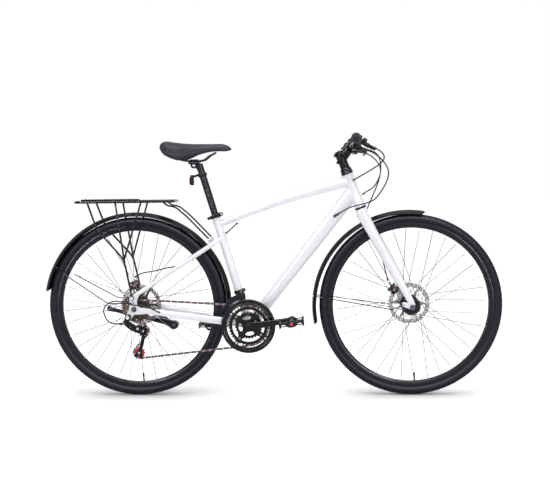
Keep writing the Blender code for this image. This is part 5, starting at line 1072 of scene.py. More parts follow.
def build_fender_stays():
    specs = (("rear", "frame_body", REAR, REAR, 154.0, REAR + vec(-0.005, 0.0, 0.025),
              DROPOUT_OUT + GAP, vec(-0.098, 0.0, 0.024)),
             ("front", "steer_body", FRONT, FRONT_FENDER_CENTER, 173.5,
              FRONT + vec(-0.036, 0.0, 0.008), FORK_OUT + 0.0035 + GAP, vec(-0.075, 0.0, -0.008)))
    for prefix, body, axle, center, angle, eyelet, eye_y, bend in specs:
        low = FENDER_RADIUS - 0.0023
        reach = FENDER_HALF + 0.003
        halves = []
        for side in SIDES:
            halves.append([with_y(eyelet, side * (eye_y + 0.0022)),
                           vec(axle.x + bend.x, side * (eye_y + 0.003), axle.z + bend.z),
                           around(center, low - 0.03, angle, side * (reach + 0.006)),
                           around(center, low - 0.0006, angle, side * (reach - 0.004)),
                           around(center, low + FENDER_CROWN * 0.4, angle, side * reach * 0.43)])
        path = rounded_path(halves[0] + halves[1][::-1], 0.012, 6)
        shape = Shape().tube(path, 0.0019, 12, dome=0.0015)
        for side in SIDES:
            spot = with_y(eyelet, 0.0)
            near, far = sorted((side * (eye_y + 0.0006), side * (eye_y + 0.004)))
            shape.across(spot, 0.0056, near, far, 24, 0.0008)
        shape.make(prefix + "_fender_wire", body, "gloss_black", "black_metal",
                   [prefix + "_fender_stay"])
        bolts = Shape()
        for side in SIDES:
            start = with_y(eyelet, side * (eye_y + 0.0042))
            bolts.solid_lathe([(0.004, 0.0), (0.0042, 0.001), (0.0036, 0.0026), (0.002, 0.0034)],
                              start, Y_AXIS * side, 20)
        for side in (-0.46, 0.46):
            foot = around(center, FENDER_RADIUS + FENDER_CROWN * 0.83 + 0.0016, angle,
                          side * FENDER_HALF)
            out = (around(center, 1.0, angle) - center).normalized()
            out = (with_y(out, side * 0.9)).normalized()
            bolts.solid_lathe([(0.0034, -0.002), (0.0036, 0.0006), (0.0028, 0.002),
                               (0.0012, 0.0026)], foot, out, 16)
        bolts.make(prefix + "_fender_bolts", body, "steel", "steel")


RACK_Z = REAR.z + FENDER_OUTER + FENDER_CROWN + 0.0417
RACK_BACK = -0.226
RACK_FRONT = 0.162
RACK_HALF = 0.06
RACK_ROD = 0.005
RAIL_ROD = 0.0038
RAIL_SHARE = 0.34


def build_rack():
    shape = Shape()
    front_x = REAR.x + RACK_FRONT
    right_x = front_x - RACK_ROD
    left_x = REAR.x + RACK_BACK + RACK_ROD
    corners = [vec(right_x, RACK_HALF, RACK_Z), vec(left_x, RACK_HALF, RACK_Z),
               vec(left_x, -RACK_HALF, RACK_Z), vec(right_x, -RACK_HALF, RACK_Z)]
    shape.tube(rounded_path(corners, 0.022, 10, closed=True), RACK_ROD, 16, 0, True)
    for side in (-RAIL_SHARE, RAIL_SHARE):
        shape.tube([vec(left_x, RACK_HALF * side, RACK_Z), vec(right_x, RACK_HALF * side, RACK_Z)],
                   RAIL_ROD, 12)
    for x in (left_x + 0.075, REAR.x - 0.02, front_x - 0.046):
        shape.tube([vec(x, -RACK_HALF, RACK_Z - 0.0006), vec(x, RACK_HALF, RACK_Z - 0.0006)],
                   0.0034, 12)
    eyelet = REAR + vec(-0.004, 0.0, 0.043)
    eye_y = STAY_FOOT_Y + STAY_FOOT_HALF + GAP
    anchor = rack_anchor()
    anchor_y = 0.036 + 0.005 + GAP
    for sign in SIDES:
        knot = REAR + vec(-0.032, sign * 0.074, 0.19)
        foot = vec(eyelet.x, sign * (eye_y + 0.004), eyelet.z + 0.004)
        long_leg = [vec(REAR.x - 0.172, sign * RACK_HALF, RACK_Z),
                    REAR + vec(-0.136, sign * 0.0655, 0.308), knot, foot]
        shape.tube(rounded_path(long_leg, 0.03, 8), 0.0039, 12)
        for top in (-0.064, 0.036):
            leg = [vec(REAR.x + top, sign * RACK_HALF, RACK_Z), knot, knot + vec(0.002, 0.0, -0.01)]
            shape.tube(rounded_path(leg, 0.006, 4), 0.0037, 12, dome=0.002)
        shape.across(eyelet, 0.0068, sign * (eye_y + 0.0004), sign * (eye_y + 0.0048), 28, 0.0008)
        stay = [vec(front_x - 0.046, sign * (RACK_HALF - 0.013), RACK_Z - 0.001),
                vec(front_x - 0.03, sign * (RACK_HALF - 0.014), RACK_Z - 0.016),
                vec(front_x + 0.002, sign * 0.046, RACK_Z - 0.022),
                vec(front_x + 0.046, sign * 0.046, RACK_Z - 0.06),
                with_y(anchor, sign * (anchor_y + 0.0036))]
        shape.tube(rounded_path(stay, 0.014, 6), 0.0034, 12)
        shape.across(anchor, 0.0064, sign * (anchor_y + 0.0002), sign * (anchor_y + 0.0048), 28,
                     0.0008)
    for x in (left_x, right_x):
        for side in (-RAIL_SHARE, RAIL_SHARE):
            shape.ring_lathe([(0.0036, -0.0034), (0.0052, -0.002), (0.0056, 0.0), (0.0052, 0.002),
                              (0.0036, 0.0034)], vec(x, RACK_HALF * side, RACK_Z), X_AXIS, 20)
    shape.make("rack_rods", "frame_body", "gloss_black", "black_metal", ["rack"])
    bolts = Shape()
    for sign in SIDES:
        for spot, start in ((anchor, anchor_y + 0.005), (eyelet, eye_y + 0.005)):
            foot = with_y(spot, sign * start)
            bolts.solid_lathe([(0.0048, 0.0), (0.005, 0.0008), (0.0044, 0.003), (0.0026, 0.004)],
                              foot, Y_AXIS * sign, 24)
    bolts.make("rack_bolts", "frame_body", "alloy", "steel")
    screw = Shape()
    screw.solid_lathe([(0.0024, 0.0), (0.0026, 0.0008), (0.0021, 0.002), (0.0011, 0.0025)],
                      vec(front_x - 0.046, -RACK_HALF - 0.0034, RACK_Z - 0.0006), -Y_AXIS, 20)
    screw.make("rack_screw", "frame_body", "bronze", "steel")
    build_rack_clip(left_x)


def build_rack_clip(left_x):
    rod = 0.0028
    top = RACK_Z + RAIL_ROD + rod + GAP
    x = left_x + 0.02
    path = [vec(x, -0.03, top), vec(x, 0.03, top), vec(x + 0.15, 0.026, top),
            vec(x + 0.215, 0.012, top), vec(x + 0.215, -0.012, top), vec(x + 0.15, -0.026, top)]
    shape = Shape().tube(rounded_path(path, 0.016, 8, closed=True), rod, 14, 0, True)
    shape.make("rack_clip_loop", "clip_body", "gloss_black", "black_metal", ["rack_clip"])
    springs = Shape()
    for side in SIDES:
        coil = []
        turns = 7
        for step in range(turns * 14 + 1):
            angle = 2.0 * math.pi * step / 14
            y = side * (0.015 + 0.0017 * step / 14)
            coil.append(vec(x + 0.0042 * math.cos(angle), y, top + 0.0042 * math.sin(angle)))
        springs.tube(coil, 0.0007, 6)
    springs.make("rack_clip_springs", "clip_body", "steel", "steel")


# Seat


def build_post():
    shape = Shape()
    top = SEAT_TUBE_LENGTH + SEAT_POST_EXPOSED
    radius = SEAT_POST_RADIUS
    shape.cylinder(seat(SEAT_TUBE_LENGTH - 0.15), seat(top - 0.002), radius, 40)
    head = seat(top, SEAT_HEAD_BACK)
    neck = [seat(top - 0.026), seat(top - 0.01, -0.004), seat(top - 0.001, -0.012), head]
    shape.loft(neck, [(radius, 0.0132), (0.0132, 0.0128), (0.0125, 0.0115), (0.0118, 0.01)], 12, 28,
               dome=0.004)
    shape.across(head, 0.0122, -0.0185, 0.0185, 36, 0.0014)
    shape.box(head + vec(0.002, 0.0, 0.0078), (0.042, 0.057, 0.0084), None, 0.0024, 3)
    shape.box(head + vec(0.002, 0.0, 0.0162), (0.034, 0.03, 0.013), None, 0.003, 3)
    shape.make("seat_post", "seat_body", "anodised", "black_alloy", ["seatpost"], 35.0)
    marks = Shape()
    for index in range(9):
        height = SEAT_TUBE_LENGTH + 0.018 + index * 0.01
        long = 0.0036 if index % 4 == 0 else 0.0022
        spot = seat(height, 0.0, -radius + 0.0001)
        marks.box(spot, (long * 0.8, 0.0002, 0.0007), (SEAT_FORWARD, Y_AXIS, SEAT_UP), 0.0, 1)
    marks.make("post_height_marks", "seat_body", "alloy", "steel")
    bolts = Shape()
    for sign in SIDES:
        start = head + vec(0.002, sign * 0.019, 0.0)
        bolts.solid_lathe([(0.0066, 0.0), (0.0068, 0.001), (0.0062, 0.004), (0.0045, 0.0052)],
                          start, Y_AXIS * sign, 28)
    bolts.make("seat_clamp_bolts", "seat_body", "steel", "steel")


def build_collar():
    height = SEAT_TUBE_LENGTH - 0.008
    shape = Shape()
    radius = SEAT_TUBE_RADIUS
    shape.ring_lathe([(radius + GAP, -0.0065), (radius + 0.0045, -0.0065),
                      (radius + 0.0055, -0.0055), (radius + 0.0055, 0.0052),
                      (radius + 0.0048, 0.0064), (radius - 0.001, 0.0086), (radius + GAP, 0.008)],
                     seat(height), SEAT_UP, 40)
    for side in SIDES:
        ear = seat(height, -radius - 0.0085, side * 0.005)
        shape.box(ear, (0.013, 0.0078, 0.0104), (SEAT_FORWARD, Y_AXIS, SEAT_UP), 0.0018, 3)
    shape.make("collar_ring", "frame_body", "anodised", "black_alloy", ["seat_collar"])
    pin = Shape()
    spot = seat(height, -radius - 0.0105)
    pin.across(spot, 0.0028, -0.0088, 0.0125, 16, 0.0004)
    pin.across(spot, 0.0052, 0.0092, 0.0135, 20, 0.0008)
    pin.make("collar_pin", "frame_body", "anodised", "black_alloy")
    lever = Shape()
    pivot = seat(height, -radius - 0.0105, -0.0093)
    lever.across(pivot, 0.0053, pivot.y - 0.0052, pivot.y, 24, 0.0008)
    path = [pivot + vec(0.0, -0.003, 0.0), pivot + SEAT_FORWARD * 0.008 + vec(0.0, -0.012, 0.0005),
            pivot + SEAT_FORWARD * 0.02 + vec(0.0, -0.017, 0.003),
            pivot + SEAT_FORWARD * 0.036 + vec(0.0, -0.0165, 0.005)]
    radii = [(0.0019, 0.0042), (0.002, 0.0044), (0.002, 0.0046), (0.0022, 0.005)]
    lever.loft(path, radii, 20, 20, dome=0.003)
    first = path[-1] + SEAT_FORWARD * 0.007 + vec(0.0, 0.0, -0.0022)
    last = first + SEAT_FORWARD * 0.01 + vec(0.0, 0.0, -0.0006)
    loops = [stadium((first.x, first.z), (last.x, last.z), size) for size in (0.0078, 0.0036)]
    lever.plate(loops, 0.004, vec(0.0, first.y, 0.0), bevel=0.001)
    lever.make("collar_lever_arm", "collar_lever_body", "anodised", "black_alloy", ["collar_lever"])


SADDLE_TAIL = -0.1475
SADDLE_NOSE = 0.1275
SADDLE_HALF = 0.078
SEAM_SHARE = 0.62
SADDLE_TOP = ((0.0, 0.07), (0.03, 0.083), (0.08, 0.0875), (0.2, 0.082), (0.42, 0.0755),
              (0.7, 0.0755), (0.9, 0.073), (0.97, 0.066), (1.0, 0.057))
SADDLE_BOTTOM = ((0.0, 0.062), (0.03, 0.054), (0.08, 0.044), (0.2, 0.036), (0.42, 0.037),
                 (0.6, 0.04), (0.75, 0.045), (0.92, 0.046), (1.0, 0.05))
SADDLE_WIDTH = ((0.0, 0.42), (0.03, 0.72), (0.08, 0.9), (0.16, 1.0), (0.28, 0.93), (0.4, 0.7),
                (0.52, 0.48), (0.66, 0.33), (0.85, 0.26), (0.96, 0.22), (1.0, 0.1))
POST_TOP = seat(SEAT_TUBE_LENGTH + SEAT_POST_EXPOSED)


def table_at(table, share):
    """Read a table smoothly: a curve through its values with slopes taken from the neighbours."""
    last = len(table) - 1
    for index in range(last):
        x0, v0 = table[index]
        x1, v1 = table[index + 1]
        if share <= x1 or index == last - 1:
            slopes = []
            for k in (index, index + 1):
                low = table[max(k - 1, 0)]
                high = table[min(k + 1, last)]
                slopes.append((high[1] - low[1]) / (high[0] - low[0]))
            t = min(1.0, (share - x0) / (x1 - x0))
            span = x1 - x0
            return ((2 * t ** 3 - 3 * t ** 2 + 1) * v0 + (t ** 3 - 2 * t ** 2 + t) * slopes[0]
                    * span + (3 * t ** 2 - 2 * t ** 3) * v1 + (t ** 3 - t ** 2) * slopes[1] * span)
    return table[-1][1]


def saddle_x(share):
    return POST_TOP.x + SADDLE_TAIL + (SADDLE_NOSE - SADDLE_TAIL) * share


def saddle_share(x):
    return (x - POST_TOP.x - SADDLE_TAIL) / (SADDLE_NOSE - SADDLE_TAIL)


def saddle_shape(share):
    top = POST_TOP.z + table_at(SADDLE_TOP, share)
    bottom = POST_TOP.z + table_at(SADDLE_BOTTOM, share)
    return top, bottom, SADDLE_HALF * table_at(SADDLE_WIDTH, share)


def linear_at(table, share):
    for (x0, v0), (x1, v1) in zip(table, table[1:]):
        if share <= x1:
            return v0 + (v1 - v0) * (share - x0) / (x1 - x0)
    return table[-1][1]


def saddle_under(x, y):
    """The height of the CAD saddle's underside, where the rails are seated."""
    share = saddle_share(x)
    top = POST_TOP.z + linear_at(SADDLE_TOP, share)
    bottom = POST_TOP.z + linear_at(SADDLE_BOTTOM, share)
    half = SADDLE_HALF * linear_at(SADDLE_WIDTH, share)
    middle = (top + bottom) / 2.0 - 0.002
    c = (abs(y) / half) ** (1.0 / 0.8)
    return middle - (middle - bottom) * math.sqrt(1.0 - c * c) ** 0.6


def saddle_ring(share, inset, count):
    top, bottom, half = saddle_shape(share)
    x = saddle_x(share)
    top -= inset
    bottom += inset
    half -= inset
    middle = (top + bottom) / 2.0 - 0.002
    ring = []
    for angle in full_turn(count):
        c = math.cos(angle)
        s = math.sin(angle)
        y = half * math.copysign(abs(c) ** 0.8, c)
        if s >= 0.0:
            z = middle + (top - middle) * s ** 0.75
        else:
            z = middle - (middle - bottom) * abs(s) ** 0.6
        ring.append(vec(x, y, z))
    return ring


def puffed(obj, cap):
    """A cushion blown up a little as cloth, with its own movement limited."""
    rest = [v.co.copy() for v in obj.data.vertices]
    modifier = obj.modifiers.new("puff", "CLOTH")
    settings = modifier.settings
    settings.quality = 5
    settings.mass = 0.3
    settings.tension_stiffness = 25.0
    settings.compression_stiffness = 25.0
    settings.bending_stiffness = 4.0
    settings.use_pressure = True
    settings.uniform_pressure_force = 4.0
    settings.effector_weights.gravity = 0.0
    modifier.point_cache.frame_start = 1
    modifier.point_cache.frame_end = 20
    for number in range(1, 21):
        bpy.context.scene.frame_set(number)
    graph = bpy.context.evaluated_depsgraph_get()
    moved = [v.co.copy() for v in obj.evaluated_get(graph).data.vertices]
    obj.modifiers.remove(modifier)
    bpy.context.scene.frame_set(1)
    for vert, before, after in zip(obj.data.vertices, rest, moved):
        step = after - before
        if step.length > cap:
            step = step * (cap / step.length)
        vert.co = before + step


def apply_modifiers(obj):
    graph = bpy.context.evaluated_depsgraph_get()
    mesh = bpy.data.meshes.new_from_object(obj.evaluated_get(graph))
    old = obj.data
    obj.modifiers.clear()
    obj.data = mesh
    bpy.data.meshes.remove(old)
    for polygon in obj.data.polygons:
        polygon.use_smooth = True


def build_saddle():
    count = 56
    shares = [0.0, 0.012, 0.03] + [0.05 + 0.93 * step / 44 for step in range(45)] + [0.992, 1.0]
    shape = Shape().rings([saddle_ring(share, 0.0012, count) for share in shares])
    pad = shape.make("saddle_pad", "seat_body", "cover", "cover", ["saddle"])
    remesh = pad.modifiers.new("remesh", "REMESH")
    remesh.mode = "VOXEL"
    remesh.voxel_size = 0.0034
    apply_modifiers(pad)
    puffed(pad, 0.0022)
    smooth = pad.modifiers.new("smooth", "SMOOTH")
    smooth.factor = 0.5
    smooth.iterations = 4
    divide = pad.modifiers.new("divide", "SUBSURF")
    divide.levels = 1
    divide.render_levels = 1
    apply_modifiers(pad)
    skirt = ((0.0, 0.004), (0.08, 0.018), (0.27, 0.032), (0.4, 0.023), (0.52, 0.012),
             (0.63, 0.0045), (0.85, 0.0035), (1.0, 0.004))
    for vert in pad.data.vertices:
        share = saddle_share(vert.co.x)
        top, bottom, half = saddle_shape(min(max(share, 0.0), 1.0))
        middle = (top + bottom) / 2.0
        if vert.co.z > middle and 0.1 < share < 0.86:
            ease = min(1.0, (share - 0.1) / 0.12, (0.86 - share) / 0.16)
            width = 0.0085 if share > 0.45 else 0.0085 + (0.45 - share) * 0.022
            vert.co.z -= 0.0042 * ease * math.exp(-(vert.co.y / width) ** 2)
        seam = top - (top - bottom) * SEAM_SHARE
        vert.co.y *= 1.0 - 0.016 * math.exp(-((vert.co.z - seam) / 0.0016) ** 2)
        floor = bottom + 0.003
        if vert.co.z < floor:
            vert.co.z = floor + (vert.co.z - floor) * 0.25
        if vert.co.z < middle:
            flank = min(max((abs(vert.co.y) / half - 0.5) / 0.3, 0.0), 1.0)
            low = min((middle - vert.co.z) / (middle - bottom), 1.0)
            vert.co.z -= linear_at(skirt, min(max(share, 0.0), 1.0)) * flank * math.sqrt(low)
    pad.data.materials.clear()
    pad.data.materials.append(LOOKS["cover"])
    base = Shape()
    rings = []
    for share in [0.02 + 0.95 * step / 40 for step in range(41)]:
        ring = saddle_ring(share, 0.0034, 40)
        top, bottom, half = saddle_shape(share)
        rings.append([vec(v.x, v.y, min(v.z, bottom + 0.0085)) for v in ring])
    base.rings(rings)
    base.make("saddle_base", "seat_body", "satin_black", "plastic")
    build_saddle_seam()
    build_rails()


def build_saddle_seam():
    stitches = Shape()
    for side in SIDES:
        steps = 92
        for step in range(2, steps - 1):
            points = []
            for share in ((step + 0.16) / steps, (step + 0.8) / steps):
                top, bottom, half = saddle_shape(share)
                middle = (top + bottom) / 2.0 - 0.002
                z = top - (top - bottom) * SEAM_SHARE
                s = (middle - z) / max(middle - bottom, 0.001)
                s = min(max(s, 0.0), 1.0) ** (1.0 / 0.6)
                y = half * math.sqrt(max(0.0, 1.0 - s * s)) ** 0.8
                x = saddle_x(share)
                points.append(vec(x, side * (y - 0.0008), z))
            stitches.tube(points, 0.00042, 5)
    stitches.make("saddle_stitches", "seat_body", "rubber", "rubber")


def build_rails():
    head = seat(SEAT_TUBE_LENGTH + SEAT_POST_EXPOSED, SEAT_HEAD_BACK)
    rail = 0.0035
    rail_z = head.z + 0.012 + rail + GAP
    rail_y = 0.015 + rail + GAP
    runs = []
    for sign in SIDES:
        run = [vec(head.x + x, sign * y, rail_z + z) for x, y,
               z in ((-0.07, 0.032, 0.0), (-0.05, 0.03, 0.0085), (-0.029, rail_y, 0.0),
                     (0.04, rail_y, 0.001), (0.06, 0.015, 0.019), (0.084, 0.007, 0.0))]
        run[0].z = saddle_under(run[0].x, run[0].y) - rail - 0.0006
        run[-1].z = saddle_under(run[-1].x, run[-1].y) - rail - 0.0006
        runs.append(rounded_path(run, 0.016, 6))
    shape = Shape().tube(rounded_path(runs[0] + runs[1][::-1], 0.004, 4), rail, 16, dome=0.001)
    shape.make("saddle_rail_wires", "seat_body", "anodised", "steel", ["saddle_rails"])
    sockets = Shape()
    for run in runs:
        sockets.box(run[0] + vec(0.002, 0.0, 0.005), (0.016, 0.013, 0.01), None, 0.003, 3)
    sockets.make("saddle_rail_sockets", "seat_body", "satin_black", "plastic")


def build_tail_light():
    at = seat(SEAT_TUBE_LENGTH + 0.159)
    strap = Shape()
    hold = SEAT_POST_RADIUS + GAP
    strap.ring_lathe(band(hold, hold + 0.0032, 0.006, 0.0006, 0.001), at, SEAT_UP, 40)
    lamp = vec(at.x - 0.04, 0.0, at.z - 0.02)
    case = []
    for share in range(13):
        t = -1.0 + share / 6.0
        case.append(lamp + Z_AXIS * (-0.018 * t))
    radii = [(0.0168 * max(0.3, 1.0 - abs(-1.0 + k / 6.0) ** 4 * 0.35), 0.006) for k in range(13)]
    strap.sweep(case, radii, 28, Y_AXIS, power=0.7, dome=0.002)
    neck = [at + vec(-0.015, 0.0, 0.0), vec(lamp.x - 0.001, 0.0, at.z - 0.008)]
    strap.sweep(straight(neck[0], neck[1], 6), (0.0058, 0.0046), 20, power=0.8)
    strap.make("tail_light_case", "seat_body", "plastic", "plastic", ["tail_light"])
    lens = Shape()
    center = lamp - X_AXIS * (0.006 + GAP + 0.0018)
    path = [center + Z_AXIS * (0.0165 - 0.033 * k / 12) for k in range(13)]
    radii = [(0.0128 * (1.0 - abs(-1.0 + k / 6.0) ** 4 * 0.3), 0.002) for k in range(13)]
    lens.sweep(path, radii, 28, Y_AXIS, power=0.75, dome=0.0015)
    for row in range(5):
        for column in range(-2, 3):
            spot = center + vec(-0.0019, column * 0.0044, 0.012 - row * 0.006)
            lens.solid_lathe([(0.0018, 0.0), (0.0015, 0.0005), (0.0008, 0.0009)], spot, -X_AXIS, 10)
    lens.make("tail_light_red", "seat_body", "lens", "lens", ["tail_light_lens"])


BAR_CLAMP = 0.0159
STEM_BOLT_DROPS = (0.008, 0.036)
BAR_CENTER = steer(HEAD_TUBE_LENGTH + STEM_COLUMN - 0.003, BAR_REACH)
BAR_END = vec(BAR_CENTER.x - 0.004, BAR_HALF_WIDTH, BAR_CENTER.z + 0.02)
BAR_BEND = vec(BAR_CENTER.x + 0.014, BAR_HALF_WIDTH - 0.17, BAR_CENTER.z + 0.02)
HOOD_FORWARD = vec(0.86, 0.0, -0.51).normalized()
HOOD_UP = vec(0.51, 0.0, 0.86).normalized()


def side_point(share, side):
    point = BAR_END.lerp(BAR_BEND, share * 0.75)
    return with_y(point, point.y * side)


def build_stem():
    top = HEAD_TUBE_LENGTH + STEM_COLUMN
    shape = Shape()
    profile = [(0.015, HEAD_TUBE_LENGTH + GAP), (0.0226, HEAD_TUBE_LENGTH + GAP),
               (0.0233, HEAD_TUBE_LENGTH + 0.0012), (0.0228, HEAD_TUBE_LENGTH + 0.006),
               (0.0205, HEAD_TUBE_LENGTH + 0.023), (0.0196, HEAD_TUBE_LENGTH + 0.024),
               (0.017, HEAD_TUBE_LENGTH + 0.0245), (0.0167, HEAD_TUBE_LENGTH + 0.025)]
    rows = [(0.0172, top - 0.046), (0.0178, top - 0.044), (0.0178, top - 0.001),
            (0.017, top + 0.0022), (0.014, top + 0.003), (0.0, top + 0.003)]
    origin = steer(0.0)
    shape.solid_lathe([(0.0, profile[0][1])] + profile[1:] + rows, origin, STEER_UP, 64)
    spacers = [HEAD_TUBE_LENGTH + 0.03, HEAD_TUBE_LENGTH + 0.0385]
    for low in spacers:
        shape.ring_lathe(band(0.0165, 0.018, 0.0034, 0.0004, 0.0004), steer(low), STEER_UP, 56)
    start = steer(top - 0.022, 0.004)
    end = BAR_CENTER - STEER_FORWARD * 0.01
    path = straight(start, end, 8)
    radii = [(0.0163 + 0.0034 * (k / 8) ** 1.5, 0.0215 - 0.0052 * (k / 8)) for k in range(9)]
    shape.sweep(path, radii, 36, Y_AXIS, power=0.88)
    outer = BAR_CLAMP + 0.0055
    profile = [(BAR_CLAMP + 0.0002, -0.0222), (outer - 0.001, -0.023), (outer, -0.0218),
               (outer, 0.0218), (outer - 0.001, 0.023), (BAR_CLAMP + 0.0002, 0.0222)]
    shape.ring_lathe(profile, BAR_CENTER, Y_AXIS, 56)
    for drop in STEM_BOLT_DROPS:
        at = steer(top - drop, -0.0178)
        shape.across(at, 0.0062, -0.0118, 0.0118, 24, 0.0012)
    shape.make("stem_body", "steer_body", "gloss_black", "black_alloy", ["stem"], sharp=38.0)
    seams = Shape()
    for side in SIDES:
        gap = [BAR_CENTER + STEER_UP * side * (outer + 0.0001) + Y_AXIS * y
               for y in (-0.021, 0.021)]
        seams.sweep([gap[0], gap[0].lerp(gap[1], 0.5), gap[1]], (0.0006, 0.0004), 8, X_AXIS)
    for drop in STEM_BOLT_DROPS:
        slot = steer(top - drop, -0.024)
        seams.box(slot, (0.0006, 0.0022, 0.011), (STEER_FORWARD, Y_AXIS, STEER_UP), 0.0002, 1)
    seams.box(steer(top - 0.022, -0.018), (0.0012, 0.0016, 0.04), (STEER_FORWARD, Y_AXIS, STEER_UP),
              0.0003, 1)
    seams.make("stem_seams", "steer_body", "satin_black", "black_metal")
    bolts = Shape()
    for drop in STEM_BOLT_DROPS:
        for side in SIDES:
            at = steer(top - drop, -0.0178, side * 0.0118)
            hex_head(bolts, at, Y_AXIS * side, 0.0038, 0.003)
    for y in (-0.015, 0.015):
        for lift in (-0.0125, 0.0125):
            at = BAR_CENTER + STEER_UP * lift + STEER_FORWARD * (outer - 0.0042) + Y_AXIS * y
            hex_head(bolts, at, STEER_FORWARD, 0.0036, 0.0042)
    hex_head(bolts, steer(top + 0.0028), STEER_UP, 0.0052, 0.0022)
    bolts.make("stem_bolts", "steer_body", "anodised", "black_alloy")


def hex_head(shape, at, axis, radius, height):
    """A socket-head bolt: a turned head with a six-sided well in it."""
    first, second = Shape.turn_frame(axis)
    rows = [(radius * 0.96, 0.0, 0), (radius, height * 0.15, 0), (radius, height * 0.82, 0),
            (radius * 0.88, height, 0), (radius * 0.56, height, 1),
            (radius * 0.52, height * 0.94, 1), (radius * 0.5, height * 0.35, 1)]
    rings = []
    for reach, lift, six in rows:
        ring = []
        for angle in full_turn(24):
            scale = 1.0
            if six:
                part = (angle % (math.pi / 3.0)) - math.pi / 6.0
                scale = math.cos(math.pi / 6.0) / math.cos(part) * 1.08
            ring.append(at + axis * lift + (first * math.cos(angle) + second * math.sin(angle))
                        * reach * scale)
        rings.append(ring)
    shape.rings(rings)


def build_bar():
    inner = vec(BAR_CENTER.x + 0.006, 0.075, BAR_CENTER.z + 0.005)
    half = [BAR_END, BAR_BEND, inner, with_y(BAR_CENTER, 0.03)]
    points = half + [with_y(p, -p.y) for p in half[::-1]]
    path = rounded_path(points, 0.03, 10)
    dense = []
    for first, second in zip(path, path[1:]):
        steps = max(1, int((second - first).length / 0.006))
        dense += [first.lerp(second, k / steps) for k in range(steps)]
    dense.append(path[-1])
    radii = []
    for point in dense:
        reach = abs(point.y)
        ease = min(1.0, max(0.0, (0.085 - reach) / 0.045))
        ease = ease * ease * (3.0 - 2.0 * ease)
        radii.append(GRIP_RADIUS + (BAR_CLAMP - GRIP_RADIUS) * ease)
    shape = Shape().sweep(dense, radii, 40, Z_AXIS, dome=0.001)
    shape.make("handlebar_tube", "steer_body", "gloss_black", "black_alloy", ["handlebar"])
    for tag, side in (("right", -1.0), ("left", 1.0)):
        build_grip(tag, side)
        build_pod(tag, side)


def build_grip(tag, side):
    axis = (side_point(1.0, side) - side_point(0.0, side)).normalized()
    outer_end = side_point(0.0, side) - axis * 0.003
    inner_end = outer_end + axis * GRIP_LENGTH
    reference = (X_AXIS - axis * X_AXIS.dot(axis)).normalized()
    upward = axis.cross(reference)
    if upward.z < 0.0:
        upward = -upward
    stations = ((0.0, 0.015, 0.015), (0.04, 0.0168, 0.03), (0.22, 0.0168, 0.032),
                (0.45, 0.0165, 0.022), (0.7, 0.016, 0.0165), (0.93, 0.0165, 0.0165),
                (1.0, 0.017, 0.017))
    radius_table = [(row[0], row[1]) for row in stations]
    wing_table = [(row[0], row[2]) for row in stations]
    shares = [0.0, 0.004, 0.012, 0.022] + [0.03 + 0.95 * k / 96 for k in range(97)] + [0.99, 0.998,
                                                                                       1.0]
    rings = []
    steps = 64
    for share in shares:
        radius = table_at(radius_table, share)
        wing = max(radius, table_at(wing_table, share))
        round_off = min(1.0, share / 0.022, (1.0 - share) / 0.01)
        shrink = 0.0013 * (1.0 - math.sqrt(max(0.0, 1.0 - (1.0 - round_off) ** 2)))
        center = outer_end.lerp(inner_end, share)
        ring = []
        for angle in full_turn(steps):
            c = math.cos(angle)
            s = math.sin(angle)
            toward = max(0.0, -c * 0.95 - s * 0.31)
            above = c * 0.31 - s * 0.95 < 0.0
            reach = (wing - radius) * toward ** (34 if above else 9)
            forward = radius * c - reach * 0.95
            lift = radius * s - reach * 0.31
            groove = 0.0
            if 0.3 < share < 0.92:
                wave = math.sin(share * 2.0 * math.pi * 26.0)
                groove = 0.00035 * max(0.0, wave) ** 0.5 * (0.5 + 0.5 * s)
            if 0.945 < share < 0.985:
                groove = 0.0004 if 0.953 < share < 0.978 else 0.0
            scale = 1.0 - (shrink + groove + 0.00012) / radius
            ring.append(center + reference * forward * scale + upward * lift * scale)
        rings.append(ring)
    shape = Shape().rings(rings)
    shape.make("grip_rubber_" + tag, "steer_body", "rubber", "rubber", ["grip_" + tag])
    plug = Shape()
    plug.solid_lathe([(0.0095, -0.0012), (0.0108, 0.0), (0.0104, 0.0009), (0.007, 0.0016),
                      (0.0, 0.0016)], outer_end, -axis, 36)
    plug.make("grip_plug_" + tag, "steer_body", "plastic", "plastic")
    collar = Shape()
    grip_r = 0.0168
    collar.ring_lathe([(GRIP_RADIUS + 0.0002, -0.0035), (grip_r - 0.0012, -0.004),
                       (grip_r - 0.0002, -0.0032), (grip_r - 0.0002, 0.0), (grip_r - 0.002, 0.0006),
                       (GRIP_RADIUS + 0.0002, 0.0006)], inner_end - axis * 0.0006, axis, 48)
    collar.make("grip_collar_" + tag, "steer_body", "anodised", "black_alloy")


def pod_points(side):
    axis = (side_point(0.0, side) - side_point(1.0, side)).normalized()
    clamp = side_point(0.0, side) - axis * (GRIP_LENGTH + 0.016)
    body = clamp + HOOD_FORWARD * 0.03 - axis * 0.01
    pod = clamp + HOOD_FORWARD * 0.012 - axis * 0.018 - HOOD_UP * 0.022
    return axis, clamp, body, pod


